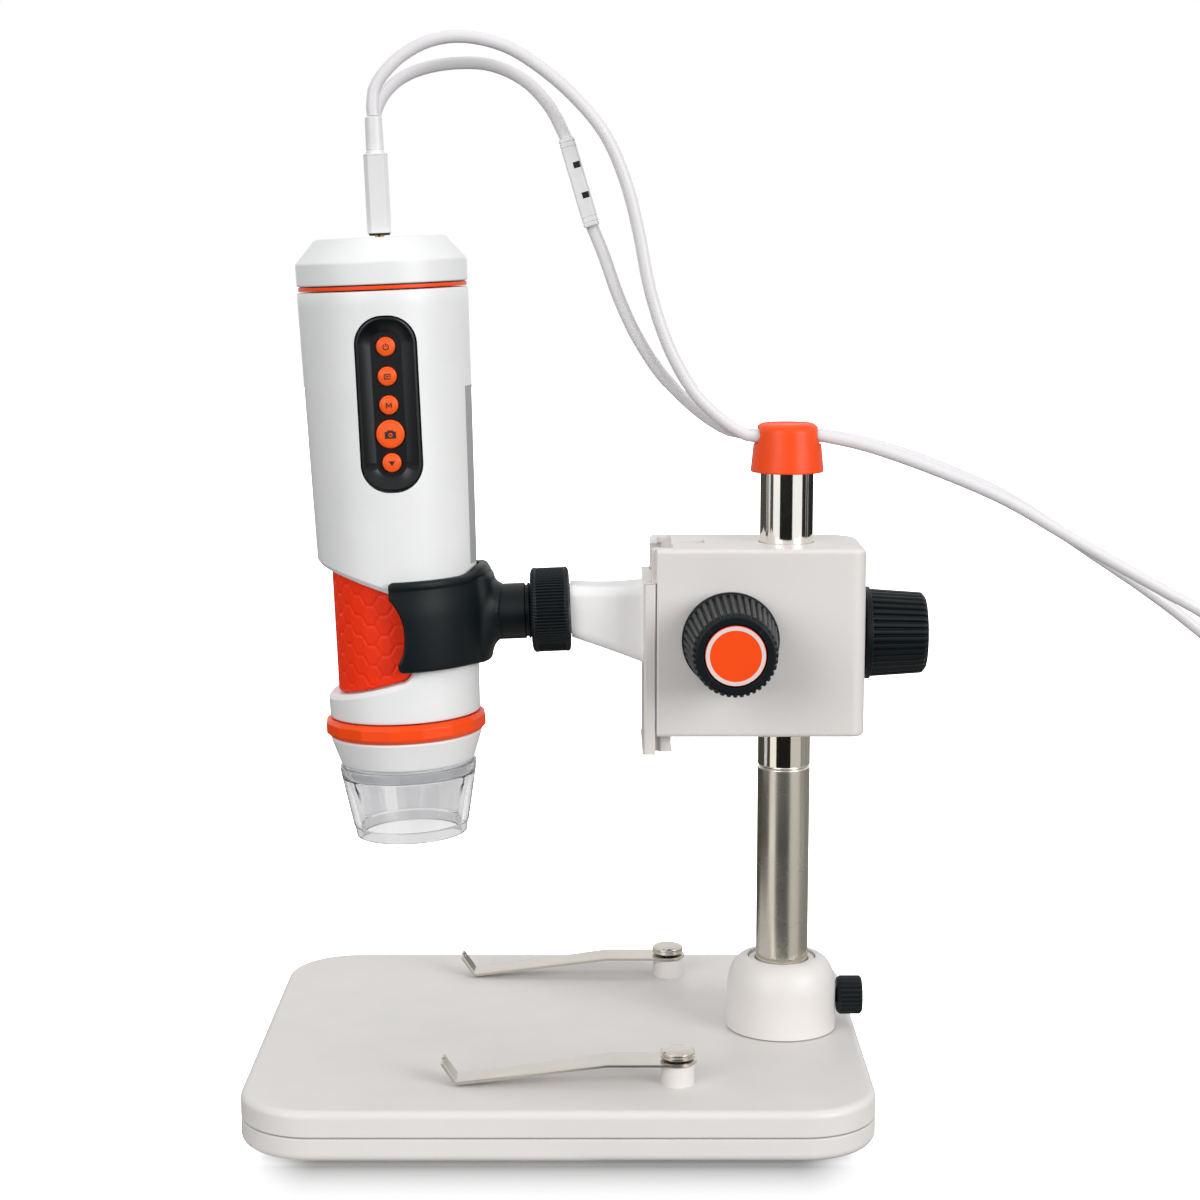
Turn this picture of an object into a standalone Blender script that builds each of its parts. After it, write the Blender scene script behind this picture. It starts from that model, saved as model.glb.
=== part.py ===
"""Handheld digital microscope on a small rack-and-post stand.

Metres, +Z up. X = 0, Y = 0 is the middle of the stand's box and Z = 0 is the surface it stands on.
The arm points to -X, the height lock knob to +X, and the microscope's buttons to -Y.
"""
import math

import bmesh
import bpy
import numpy as np
from mathutils import Matrix, Vector

# Fits and facets
CLEARANCE = 0.0003
OVERRUN = 0.001
SIDES_LARGE = 32
SIDES_MEDIUM = 24
SIDES_SMALL = 12
CORNER_STEPS = 4

# Base plate, measured from the post's axis and down from its top face
PLATE_LEFT = 0.1305
PLATE_RIGHT = 0.0190
PLATE_DEPTH = 0.1250
PLATE_THICKNESS = 0.0120
PLATE_CORNER = 0.0180
PLATE_EDGE = 0.0018
SEAM_DEPTH = 0.0062
SHELL_WALL = 0.0024
FOOT_RADIUS = 0.0065
FOOT_STAND = 0.0010
FOOT_POCKET = 0.0010
FOOT_INSET = 0.0160
WEIGHT_LENGTH = 0.1100
WEIGHT_DEPTH = 0.0900
WEIGHT_THICKNESS = 0.0040

# Post, its socket and its cap, heights above the base's top face
POST_RADIUS = 0.0065
POST_SEAM_HEIGHT = 0.0676
POST_TOP_HEIGHT = 0.1460
POST_STUD_RADIUS = 0.0030
POST_STUD_LENGTH = 0.0090
SOCKET_RADIUS = 0.0137
SOCKET_TOP_RADIUS = 0.0093
SOCKET_STRAIGHT = 0.0100
SOCKET_HEIGHT = 0.0184
LINER_WALL = 0.0015
LINER_SINK = 0.0005
CAP_BOTTOM_HEIGHT = 0.1410
CAP_TOP_HEIGHT = 0.1530
CAP_BOTTOM_RADIUS = 0.0090
CAP_TOP_RADIUS = 0.0078
CAP_EDGE = 0.0018
CHANNEL_AXIS_HEIGHT = 0.1499
CHANNEL_SLIT = 0.0030

# Thumbscrew that holds the post
POST_SCREW_HEIGHT = 0.0080
POST_SCREW_RADIUS = 0.0020
POST_SCREW_HEAD_RADIUS = 0.00485
POST_SCREW_HEAD_LENGTH = 0.0063
POST_SCREW_CHAMFER = 0.0008

# Stage clips
CLIP_STUD_LEFT = 0.0276
CLIP_STUD_EDGE = 0.0200
CLIP_POST_RADIUS = 0.0039
CLIP_POST_HEIGHT = 0.0048
CLIP_PIN_RADIUS = 0.0015
CLIP_PIN_DEPTH = 0.0035
CLIP_HEAD_RADIUS = 0.0041
CLIP_HEAD_HEIGHT = 0.0023
CLIP_HEAD_CHAMFER = 0.0006
LEAF_THICKNESS = 0.0008
LEAF_ROOT_WIDTH = 0.0090
LEAF_TIP_WIDTH = 0.0070
LEAF_FLAT = 0.0165
LEAF_REACH = 0.0524
LEAF_LIP_RUN = 0.0036
LEAF_LIP_RISE = 0.0042

# Housing on the post, heights above the base's top face
HOUSING_LEFT = 0.0335
HOUSING_RIGHT = 0.0184
HOUSING_DEPTH = 0.0320
HOUSING_BOTTOM_HEIGHT = 0.0777
HOUSING_HEIGHT = 0.0460
HOUSING_WALL = 0.0025
HOUSING_LEFT_CORNER = 0.0020
HOUSING_FRONT_CORNER = 0.0035
HOUSING_REAR_CORNER = 0.0080
BUSH_WALL = 0.0014

# Focus slide: tongue of the carriage and the housing's channel for it
CARRIAGE_BOTTOM_HEIGHT = 0.0734
CARRIAGE_HEIGHT = 0.0420
CARRIAGE_PLATE = 0.0015
CARRIAGE_DEPTH = 0.0270
CHANNEL_LIP = 0.0017
TONGUE_NECK_DEPTH = 0.0144
TONGUE_HEAD_DEPTH = 0.0234
TONGUE_HEAD = 0.0026
CHANNEL_WEB = 0.0022
RIB_DEPTH = 0.0060
RIB_LENGTH = 0.0044
RIB_BOTTOM_HEIGHT = 0.0800
RIB_HEIGHT = 0.0330
RACK_BOTTOM_HEIGHT = 0.0820
RACK_HEIGHT = 0.0290
ARM_ROOT_BOTTOM_HEIGHT = 0.0941
ARM_ROOT_HEIGHT = 0.0198
ARM_ROOT_DEPTH = 0.0150
ARM_TIP_HEIGHT = 0.0130
ARM_TIP_DEPTH = 0.0130

# Focus drive
PINION_LEFT = 0.0146
PINION_AXIS_HEIGHT = 0.1022
PINION_PITCH_RADIUS = 0.0055
PINION_LENGTH = 0.0090
SHAFT_RADIUS = 0.0020
SHAFT_SINK = 0.0090
FOCUS_KNOB_RIM_RADIUS = 0.01175
FOCUS_KNOB_FACE_RADIUS = 0.00975
FOCUS_KNOB_LENGTH = 0.0228
FOCUS_KNOB_HUB_RADIUS = 0.0060
FOCUS_KNOB_HUB_LENGTH = 0.0030
FOCUS_KNOB_CHAMFER = 0.0012
KNOB_WALL = 0.0022
KNOB_HOLLOW_DEPTH = 0.0060
BADGE_RADIUS = 0.0071
BADGE_THICKNESS = 0.0010
BADGE_POCKET = 0.0012

# Height lock knob
LOCK_AXIS_HEIGHT = 0.1010
LOCK_KNOB_RIM_RADIUS = 0.01145
LOCK_KNOB_RADIUS = 0.0109
LOCK_KNOB_FACE_RADIUS = 0.0098
LOCK_KNOB_RIM = 0.0016
LOCK_KNOB_LENGTH = 0.0154
LOCK_KNOB_GAP = 0.0007
LOCK_KNOB_HUB_RADIUS = 0.0050
LOCK_SCREW_RADIUS = 0.0025
LOCK_SCREW_SINK = 0.0080

# Head: the microscope's axis leans towards -X and crosses the arm's axis at this place
HEAD_LEFT = 0.09534
HEAD_HEIGHT = 0.10525
HEAD_LEAN = math.radians(2.4)
MICROSCOPE_TURN = math.radians(5.0)

# Arm joint, distances from the crossing along the arm's axis
STEM_RADIUS = 0.0070
STEM_END = 0.0322
STUD_RADIUS = 0.0040
STUD_END = 0.0465
NUT_RADIUS = 0.0105
NUT_END = 0.0420
NUT_CHAMFER = 0.0007
COLLET_RADIUS = 0.0062

# C-shaped clip round the microscope
HOLDER_BORE_RADIUS = 0.0200
HOLDER_WALL = 0.0022
HOLDER_HEIGHT = 0.0220
HOLDER_WRAP = math.radians(92.0)
HOLDER_NOTCH_WRAP = math.radians(84.0)
HOLDER_LOBE = 0.0042
HOLDER_BULGE = 0.0008
HOLDER_STEPS = 24

# Microscope, heights above the crossing along its own axis
BODY_TOP_HEIGHT = 0.0802
BODY_TOP_RADIUS = 0.02075
BODY_WAIST_HEIGHT = 0.0208
BODY_WAIST_RADIUS = 0.0196
BODY_LOW_HEIGHT = -0.0240
BODY_LOW_RADIUS = 0.0186
BODY_WALL = 0.0023
BODY_HOLLOW_BELOW_PANEL = 0.0067
BODY_NARROW_BORE = 0.0122
BODY_STEP_HEIGHT = -0.0100
BARREL_BORE = 0.0110
NECK_RADIUS = 0.0159
NECK_LENGTH = 0.0052
TRIM_THICKNESS = 0.0009
TRIM_INSET = 0.0005
TRIM_DEPTH = 0.0026
CAP_HEIGHT = 0.0110
CAP_SIDE_HEIGHT = 0.0052
CAP_FACE_RADIUS = 0.0157
CAP_WALL = 0.0025
PORT_ASIDE = 0.0062
PORT_LENGTH = 0.0070
PORT_DEPTH = 0.0022

# Grip pad and its recess, as seen from the front: heights above the crossing
GRIP_TOP_LEFT_HEIGHT = 0.0156
GRIP_TOP_RIGHT_HEIGHT = 0.0074
GRIP_BOTTOM_LEFT_HEIGHT = -0.0188
GRIP_BOTTOM_RIGHT_HEIGHT = -0.0142
GRIP_LEFT = 0.0230
GRIP_ROUND_LEFT = 0.0010
GRIP_RIGHT = 0.0050
GRIP_RADIUS = 0.0161
GRIP_THICKNESS = 0.0014
GRIP_ROUND_STEPS = 6

# Button panel and its buttons, drops below the top of the body
PANEL_TOP_DROP = 0.0061
PANEL_LENGTH = 0.0414
PANEL_WIDTH = 0.0143
PANEL_TROUGH_WIDTH = 0.0071
PANEL_TROUGH_FRONT = 0.0186
PANEL_BACK = 0.0166
BUTTON_NAMES = ("power", "play", "mode", "capture", "down")
BUTTON_DROPS = (0.0131, 0.0201, 0.0269, 0.0338, 0.0406)
BUTTON_RADII = (0.00225, 0.00225, 0.00225, 0.00335, 0.00225)
BUTTON_FRONT = 0.0195
BUTTON_DOME = 0.0004
BUTTON_FLAT_SHARE = 0.6
BUTTON_FLANGE = 0.0006
BUTTON_FLANGE_THICKNESS = 0.0007
BUTTON_TRAVEL = 0.0007
BOARD_THICKNESS = 0.0014
BOARD_WIDTH = 0.0180
BOARD_TOP_DROP = 0.0022
BOARD_LENGTH = 0.0460

# Optics, heights above the crossing
SENSOR_THICKNESS = 0.0014
BARREL_TOP_HEIGHT = -0.0130
BARREL_LENGTH = 0.0185
BARREL_WALL = 0.0032
LENS_THICKNESS = 0.0030
FOCUS_RING_LENGTH = 0.0044
FOCUS_RING_RADIUS = 0.0199
FOCUS_RING_EDGE = 0.0010
FOCUS_RING_FACETS = 16
SKIRT_TOP_RADIUS = 0.0190
SKIRT_BOTTOM_RADIUS = 0.01635
SKIRT_LENGTH = 0.0082
SKIRT_BORE = 0.0130
SPIGOT_LENGTH = 0.0022
SPIGOT_RADIUS = 0.0146
LED_BOARD_THICKNESS = 0.0012
LED_BOARD_BORE = 0.0084
TIP_TOP_RADIUS = 0.0170
TIP_BOTTOM_RADIUS = 0.0139
TIP_LENGTH = 0.0174
TIP_WALL = 0.0018
TIP_RIM_HEIGHT = 0.0030

# Leads and what is on them; x and z of the routes run from the post's axis and the base's top
LEAD_RADIUS = 0.0015
LEAD_RING_SPACING = 2.6
LEAD_ASIDE = 0.00195
PLUG_WIDTH = 0.0057
PLUG_DEPTH = 0.0104
PLUG_STAND = 0.0009
PLUG_FRONT_LENGTH = 0.0187
PLUG_REAR_LENGTH = 0.0125
PLUG_CORNER = 0.0008
NOSE_SINK = 0.0050
RELIEF_LENGTH = 0.0087
RELIEF_ROOT_RADIUS = 0.0022
RELIEF_TIP_RADIUS = 0.0019
MODULE_WIDTH = 0.0036
MODULE_DEPTH = 0.0062
COIL_RADIUS = 0.0170
COIL_TURNS = 7
COIL_PITCH = 0.0042
COIL_LAYER_STEP = 0.0038
COIL_LOOP_POINTS = 24
COIL_TAIL = 0.0300
COIL_FRONT_PLACE = (0.2080, -0.0330)
COIL_REAR_PLACE = (0.2080, 0.0330)
CONNECTOR_LENGTH = 0.0260
CONNECTOR_WIDTH = 0.0160
CONNECTOR_HEIGHT = 0.0078
CONNECTOR_SHELL_LENGTH = 0.0130
USB_SHELL_WIDTH = 0.0120
USB_SHELL_HEIGHT = 0.0045
HDMI_SHELL_WIDTH = 0.0139
HDMI_SHELL_HEIGHT = 0.0044
CONNECTOR_RELIEF_LENGTH = 0.0120
CONNECTOR_RELIEF_ROOT = 0.0030
CONNECTOR_RELIEF_TIP = 0.0023

# Places that follow from the sizes above, in the object's own frame
POST_X = (PLATE_LEFT - HOUSING_RIGHT - LOCK_KNOB_GAP - LOCK_KNOB_LENGTH) / 2
BASE_TOP = FOOT_STAND + PLATE_THICKNESS
POST = Vector((POST_X, 0, BASE_TOP))
HEAD = POST + Vector((-HEAD_LEFT, 0, HEAD_HEIGHT))
HOUSING_FRONT = -HOUSING_DEPTH / 2
CLIP_STUD_ASIDE = PLATE_DEPTH / 2 - CLIP_STUD_EDGE
PANEL_BOTTOM_HEIGHT = BODY_TOP_HEIGHT - PANEL_TOP_DROP - PANEL_LENGTH
BODY_HOLLOW_LOW_HEIGHT = PANEL_BOTTOM_HEIGHT - BODY_HOLLOW_BELOW_PANEL
BUTTON_HEIGHTS = [BODY_TOP_HEIGHT - drop for drop in BUTTON_DROPS]
BOARD_BOTTOM_HEIGHT = BODY_TOP_HEIGHT - BOARD_TOP_DROP - BOARD_LENGTH
TAPER = (BODY_TOP_RADIUS - BODY_WAIST_RADIUS) / (BODY_TOP_HEIGHT - BODY_WAIST_HEIGHT)
NECK_BOTTOM = BODY_LOW_HEIGHT - NECK_LENGTH
RING_TOP = BODY_LOW_HEIGHT - CLEARANCE
RING_BOTTOM = RING_TOP - FOCUS_RING_LENGTH
SKIRT_TOP = RING_BOTTOM - CLEARANCE
SKIRT_BOTTOM = SKIRT_TOP - SKIRT_LENGTH
TIP_TOP = SKIRT_BOTTOM - CLEARANCE
CAP_BASE = BODY_TOP_HEIGHT + TRIM_THICKNESS + 2 * CLEARANCE
CAP_FACE = CAP_BASE + CAP_HEIGHT
BOARD_FRONT = PANEL_BACK - BUTTON_FLANGE_THICKNESS - BUTTON_TRAVEL - 2 * CLEARANCE

# Routes of the two leads, (x, y, z) from the post's axis and the base's top, from plug to floor
FRONT_ARCH = (
    (-0.0990, -0.0058, 0.2340), (-0.0938, -0.0052, 0.2399), (-0.0866, -0.0047, 0.2439),
    (-0.0782, -0.0043, 0.2450), (-0.0687, -0.0040, 0.2429), (-0.0603, -0.0037, 0.2380),
    (-0.0519, -0.0034, 0.2309), (-0.0447, -0.0032, 0.2222), (-0.0399, -0.0030, 0.2115),
    (-0.0367, -0.0028, 0.1996), (-0.0338, -0.0026, 0.1852), (-0.0294, -0.0024, 0.1719),
    (-0.0235, -0.0022, 0.1612), (-0.0175, -0.0020, 0.1550), (-0.0120, -0.00195, 0.1511),
)
REAR_UPPER = (
    (-0.1009, 0.0065, 0.2262), (-0.0988, 0.0064, 0.2315), (-0.0945, 0.0062, 0.2358),
    (-0.0880, 0.0060, 0.2385), (-0.0800, 0.0058, 0.2396), (-0.0720, 0.0056, 0.2390),
    (-0.0640, 0.0054, 0.2353), (-0.0580, 0.0052, 0.2290),
)
MODULE_TOP = (-0.0541, 0.0050, 0.2215)
MODULE_BOTTOM = (-0.0479, 0.0046, 0.2006)
REAR_LOWER = (
    (-0.0450, 0.0042, 0.1936), (-0.0416, 0.0038, 0.1840), (-0.0372, 0.0034, 0.1744),
    (-0.0308, 0.0029, 0.1646), (-0.0227, 0.0024, 0.1565), (-0.0155, 0.0020, 0.1516),
    (-0.0110, 0.00195, 0.1504),
)
FRONT_DROP = (
    (0.0110, -0.00195, 0.1494), (0.0203, -0.0025, 0.1472), (0.0351, -0.0040, 0.1421),
    (0.0525, -0.0060, 0.1348), (0.0675, -0.0080, 0.1262), (0.0775, -0.0092, 0.1205),
    (0.0901, -0.0105, 0.1135), (0.1026, -0.0116, 0.1065), (0.1180, -0.0125, 0.0955),
    (0.1300, -0.0130, 0.0820), (0.1390, -0.0130, 0.0650), (0.1455, -0.0130, 0.0460),
    (0.1515, -0.0128, 0.0270), (0.1590, -0.0125, 0.0100), (0.1700, -0.0121, -0.0040),
    (0.1830, -0.0116, -0.0102),
)
REAR_DROP = (
    (0.0110, 0.00195, 0.1496), (0.0203, 0.0026, 0.1478), (0.0351, 0.0042, 0.1430),
    (0.0525, 0.0062, 0.1355), (0.0675, 0.0082, 0.1263), (0.0775, 0.0094, 0.1196),
    (0.0901, 0.0108, 0.1112), (0.1026, 0.0118, 0.1020), (0.1170, 0.0126, 0.0895),
    (0.1275, 0.0130, 0.0750), (0.1355, 0.0130, 0.0580), (0.1420, 0.0130, 0.0390),
    (0.1485, 0.0128, 0.0210), (0.1570, 0.0125, 0.0050), (0.1690, 0.0121, -0.0065),
    (0.1830, 0.0116, -0.0108),
)

# Material colours, linear RGB
WHITE = (0.80, 0.79, 0.77)
HEAD_WHITE = (0.84, 0.85, 0.84)
CHARCOAL = (0.018, 0.026, 0.032)
ORANGE = (0.95, 0.12, 0.020)
GRIP_ORANGE = (0.80, 0.045, 0.010)
NICKEL = (0.62, 0.60, 0.54)
STEEL = (0.45, 0.45, 0.45)
BRASS = (0.70, 0.48, 0.18)
BOARD_GREEN = (0.02, 0.15, 0.06)
BLACK = (0.01, 0.01, 0.01)
CLEAR = (0.90, 0.90, 0.90)


def clear_scene():
    """Removes every object that is in the scene."""
    for old in list(bpy.data.objects):
        bpy.data.objects.remove(old, do_unlink=True)


def finish(name, colour, roughness, metallic=0.0, transmission=0.0):
    """A Principled material with the piece's plain values."""
    made = bpy.data.materials.new(name)
    made.use_nodes = True
    shader = made.node_tree.nodes["Principled BSDF"]
    shader.inputs["Base Color"].default_value = (*colour, 1)
    shader.inputs["Roughness"].default_value = roughness
    shader.inputs["Metallic"].default_value = metallic
    shader.inputs["Transmission Weight"].default_value = transmission
    return made


def empty(name, place, parent=None, turn=(0, 0, 0)):
    """An empty on a joint's axis or at a sub-assembly's own origin."""
    made = bpy.data.objects.new(name, None)
    bpy.context.scene.collection.objects.link(made)
    made.parent = parent
    made.location = place
    made.rotation_euler = turn
    return made


def piece(name, shape, material=None, parent=None, place=(0, 0, 0), turn=(0, 0, 0)):
    """Turns a bmesh into an object, with faces outward and round sides smooth."""
    bmesh.ops.recalc_face_normals(shape, faces=shape.faces)
    mesh = bpy.data.meshes.new(name)
    shape.to_mesh(mesh)
    shape.free()
    mesh.shade_smooth()
    mesh.set_sharp_from_angle(angle=math.radians(30))
    if material:
        mesh.materials.append(material)
    made = bpy.data.objects.new(name, mesh)
    bpy.context.scene.collection.objects.link(made)
    made.parent = parent
    made.location = place
    made.rotation_euler = turn
    return made


def tool(name, shape, parent=None, place=(0, 0, 0), turn=(0, 0, 0)):
    """A hidden helper for a Boolean."""
    made = piece(name, shape, None, parent, place, turn)
    made.hide_render = True
    made.display_type = "WIRE"
    return made


def combine(target, other, operation):
    """Adds one exact Boolean to the target."""
    step = target.modifiers.new(other.name, "BOOLEAN")
    step.operation = operation
    step.object = other
    step.solver = "EXACT"
    return target


def cut(target, other):
    return combine(target, other, "DIFFERENCE")


def join(target, other):
    return combine(target, other, "UNION")


def keep(target, other):
    return combine(target, other, "INTERSECT")


def lofted(rings):
    """A closed body through rings of equal counts, the first and last filled."""
    shape = bmesh.new()
    made = [[shape.verts.new(point) for point in ring] for ring in rings]
    for lower, upper in zip(made, made[1:]):
        for i in range(len(lower)):
            j = (i + 1) % len(lower)
            shape.faces.new((lower[i], lower[j], upper[j], upper[i]))
    shape.faces.new(made[0][::-1])
    shape.faces.new(made[-1])
    return shape


def turned(outline, sides):
    """A body of revolution about Z from a closed outline of (radius, height)."""
    shape = bmesh.new()
    rings = []
    for radius, height in outline:
        if radius == 0:
            rings.append([shape.verts.new((0, 0, height))])
            continue
        steps = [math.tau * (i + 0.5) / sides for i in range(sides)]
        rings.append([
            shape.verts.new((radius * math.cos(a), radius * math.sin(a), height)) for a in steps
        ])
    for lower, upper in zip(rings, rings[1:] + rings[:1]):
        for i in range(sides):
            j = (i + 1) % sides
            corners = (
                lower[i % len(lower)], lower[j % len(lower)],
                upper[j % len(upper)], upper[i % len(upper)],
            )
            corners = list(dict.fromkeys(corners))
            if len(corners) > 2:
                shape.faces.new(corners)
    return shape


def rod(radius, bottom, top, sides=SIDES_SMALL):
    """A plain cylinder about Z."""
    return turned([(0, bottom), (radius, bottom), (radius, top), (0, top)], sides)


def tube(bore, radius, bottom, top, sides=SIDES_MEDIUM):
    """A plain tube about Z."""
    return turned([(bore, bottom), (radius, bottom), (radius, top), (bore, top)], sides)


def prism(outline, bottom, top):
    """An outline of (x, y) drawn up from bottom to top."""
    return lofted([[(x, y, z) for x, y in outline] for z in (bottom, top)])


def box(left, right, front, back, bottom, top):
    """A box from its six faces."""
    return prism([(left, front), (right, front), (right, back), (left, back)], bottom, top)


def arc(centre, radius, start, end, steps):
    """Points of an arc in degrees, both ends included."""
    angles = [math.radians(start + (end - start) * i / steps) for i in range(steps + 1)]
    return [(centre[0] + radius * math.cos(a), centre[1] + radius * math.sin(a)) for a in angles]


def rounded_box(left, right, front, back, corners, steps=CORNER_STEPS):
    """An outline with its own radius at each corner: left front, right front, right rear, left rear."""
    lf, rf, rr, lr = corners
    return (
        arc((left + lf, front + lf), lf, 180, 270, steps)
        + arc((right - rf, front + rf), rf, 270, 360, steps)
        + arc((right - rr, back - rr), rr, 0, 90, steps)
        + arc((left + lr, back - lr), lr, 90, 180, steps)
    )


def stadium(width, bottom, top, steps=8):
    """A slot's outline with round ends, along the second axis."""
    half = width / 2
    return arc((0, top - half), half, 0, 180, steps) + arc((0, bottom + half), half, 180, 360, steps)


def facing_front(shape):
    """Swings a shape drawn along +Z so that +Z becomes -Y and its drawing's Y becomes Z."""
    bmesh.ops.rotate(shape, verts=shape.verts, matrix=Matrix.Rotation(math.pi / 2, 3, "X"))
    return shape


def along_arm(shape):
    """Swings a shape drawn along Z so that it lies along X."""
    bmesh.ops.rotate(shape, verts=shape.verts, matrix=Matrix.Rotation(math.pi / 2, 3, "Y"))
    return shape


def smooth_points(route, spacing):
    """Even points on a smooth curve through the route's points."""
    knots = [Vector(point) for point in route]
    ends = [2 * knots[0] - knots[1]] + knots + [2 * knots[-1] - knots[-2]]
    fine = []
    for before, start, end, after in zip(ends, ends[1:], ends[2:], ends[3:]):
        for step in range(20):
            t = step / 20
            fine.append(0.5 * (
                2 * start + (end - before) * t
                + (2 * before - 5 * start + 4 * end - after) * t ** 2
                + (3 * start - before - 3 * end + after) * t ** 3
            ))
    fine.append(knots[-1])
    walked = np.cumsum([0] + [(b - a).length for a, b in zip(fine, fine[1:])])
    count = max(2, round(walked[-1] / spacing))
    marks = np.linspace(0, walked[-1], count + 1)
    columns = [np.interp(marks, walked, [point[k] for point in fine]) for k in range(3)]
    return [Vector(point) for point in zip(*columns)]


def cord(name, points, material, rounding=2):
    """A round tube through the points, its ends filled."""
    data = bpy.data.curves.new(name, "CURVE")
    data.dimensions = "3D"
    data.bevel_depth = LEAD_RADIUS
    data.bevel_resolution = rounding
    data.use_fill_caps = True
    line = data.splines.new("POLY")
    line.points.add(len(points) - 1)
    for spot, point in zip(line.points, points):
        spot.co = (*point, 1)
    data.materials.append(material)
    made = bpy.data.objects.new(name, data)
    bpy.context.scene.collection.objects.link(made)
    return made


def length_of(points):
    return sum((b - a).length for a, b in zip(points, points[1:]))


def plate_ring(inset, height):
    """The base's outline, drawn in by an inset, at a height."""
    corner = PLATE_CORNER - inset
    flat = rounded_box(
        POST_X - PLATE_LEFT + inset, POST_X + PLATE_RIGHT - inset,
        -PLATE_DEPTH / 2 + inset, PLATE_DEPTH / 2 - inset, (corner,) * 4,
    )
    return [(x, y, height) for x, y in flat]


def rounded_rings(height, toward):
    """Three rings that round an edge of the base at a height, drawn in as they go."""
    turns = [math.radians(a) for a in (0, 45, 90)]
    return [
        plate_ring(PLATE_EDGE * (1 - math.cos(a)), height + toward * PLATE_EDGE * (math.sin(a) - 1))
        for a in turns
    ]


def clip_places():
    """The two stage clips by name, each at its stud on the base's top face."""
    return {
        name: Vector((POST_X - CLIP_STUD_LEFT, side * CLIP_STUD_ASIDE, BASE_TOP))
        for name, side in (("front", -1), ("rear", 1))
    }


def build_base(white, rubber, steel):
    """The two-part plate with its ballast and feet."""
    seam = BASE_TOP - SEAM_DEPTH
    inner = BASE_TOP - SHELL_WALL
    rings = [plate_ring(SHELL_WALL, inner), plate_ring(SHELL_WALL, seam), plate_ring(0, seam)]
    shell = piece("base_top_shell", lofted(rings + rounded_rings(BASE_TOP, 1)), white)
    for name, place in clip_places().items():
        boss = rod(CLIP_POST_RADIUS, -SHELL_WALL / 2, CLIP_POST_HEIGHT, SIDES_MEDIUM)
        join(shell, tool(f"clip_boss_{name}", boss, place=place))
        hole = rod(CLIP_PIN_RADIUS + CLEARANCE, CLIP_POST_HEIGHT - CLIP_PIN_DEPTH - CLEARANCE,
                   CLIP_POST_HEIGHT + OVERRUN)
        cut(shell, tool(f"clip_hole_{name}", hole, place=place))
    top = seam - CLEARANCE
    floor = FOOT_STAND + SHELL_WALL
    rings = [plate_ring(SHELL_WALL, floor), plate_ring(SHELL_WALL, top), plate_ring(0, top)]
    plate = piece("base_bottom_plate", lofted(rings + rounded_rings(FOOT_STAND, -1)), white)
    centre = POST_X + (PLATE_RIGHT - PLATE_LEFT) / 2
    weight = box(
        centre - WEIGHT_LENGTH / 2, centre + WEIGHT_LENGTH / 2, -WEIGHT_DEPTH / 2, WEIGHT_DEPTH / 2,
        floor + CLEARANCE, floor + CLEARANCE + WEIGHT_THICKNESS,
    )
    piece("base_weight", weight, steel)
    lefts = {"left": POST_X - PLATE_LEFT + FOOT_INSET, "right": POST_X + PLATE_RIGHT - FOOT_INSET}
    backs = {"front": FOOT_INSET - PLATE_DEPTH / 2, "rear": PLATE_DEPTH / 2 - FOOT_INSET}
    for along, x in lefts.items():
        for across, y in backs.items():
            pocket = rod(FOOT_RADIUS + CLEARANCE, 0, FOOT_STAND + FOOT_POCKET, SIDES_MEDIUM)
            cut(plate, tool(f"foot_pocket_{across}_{along}", pocket, place=(x, y, 0)))
            foot = rod(FOOT_RADIUS, 0, FOOT_STAND + FOOT_POCKET - CLEARANCE, SIDES_MEDIUM)
            piece(f"foot_{across}_{along}", foot, rubber, place=(x, y, 0))


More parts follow.
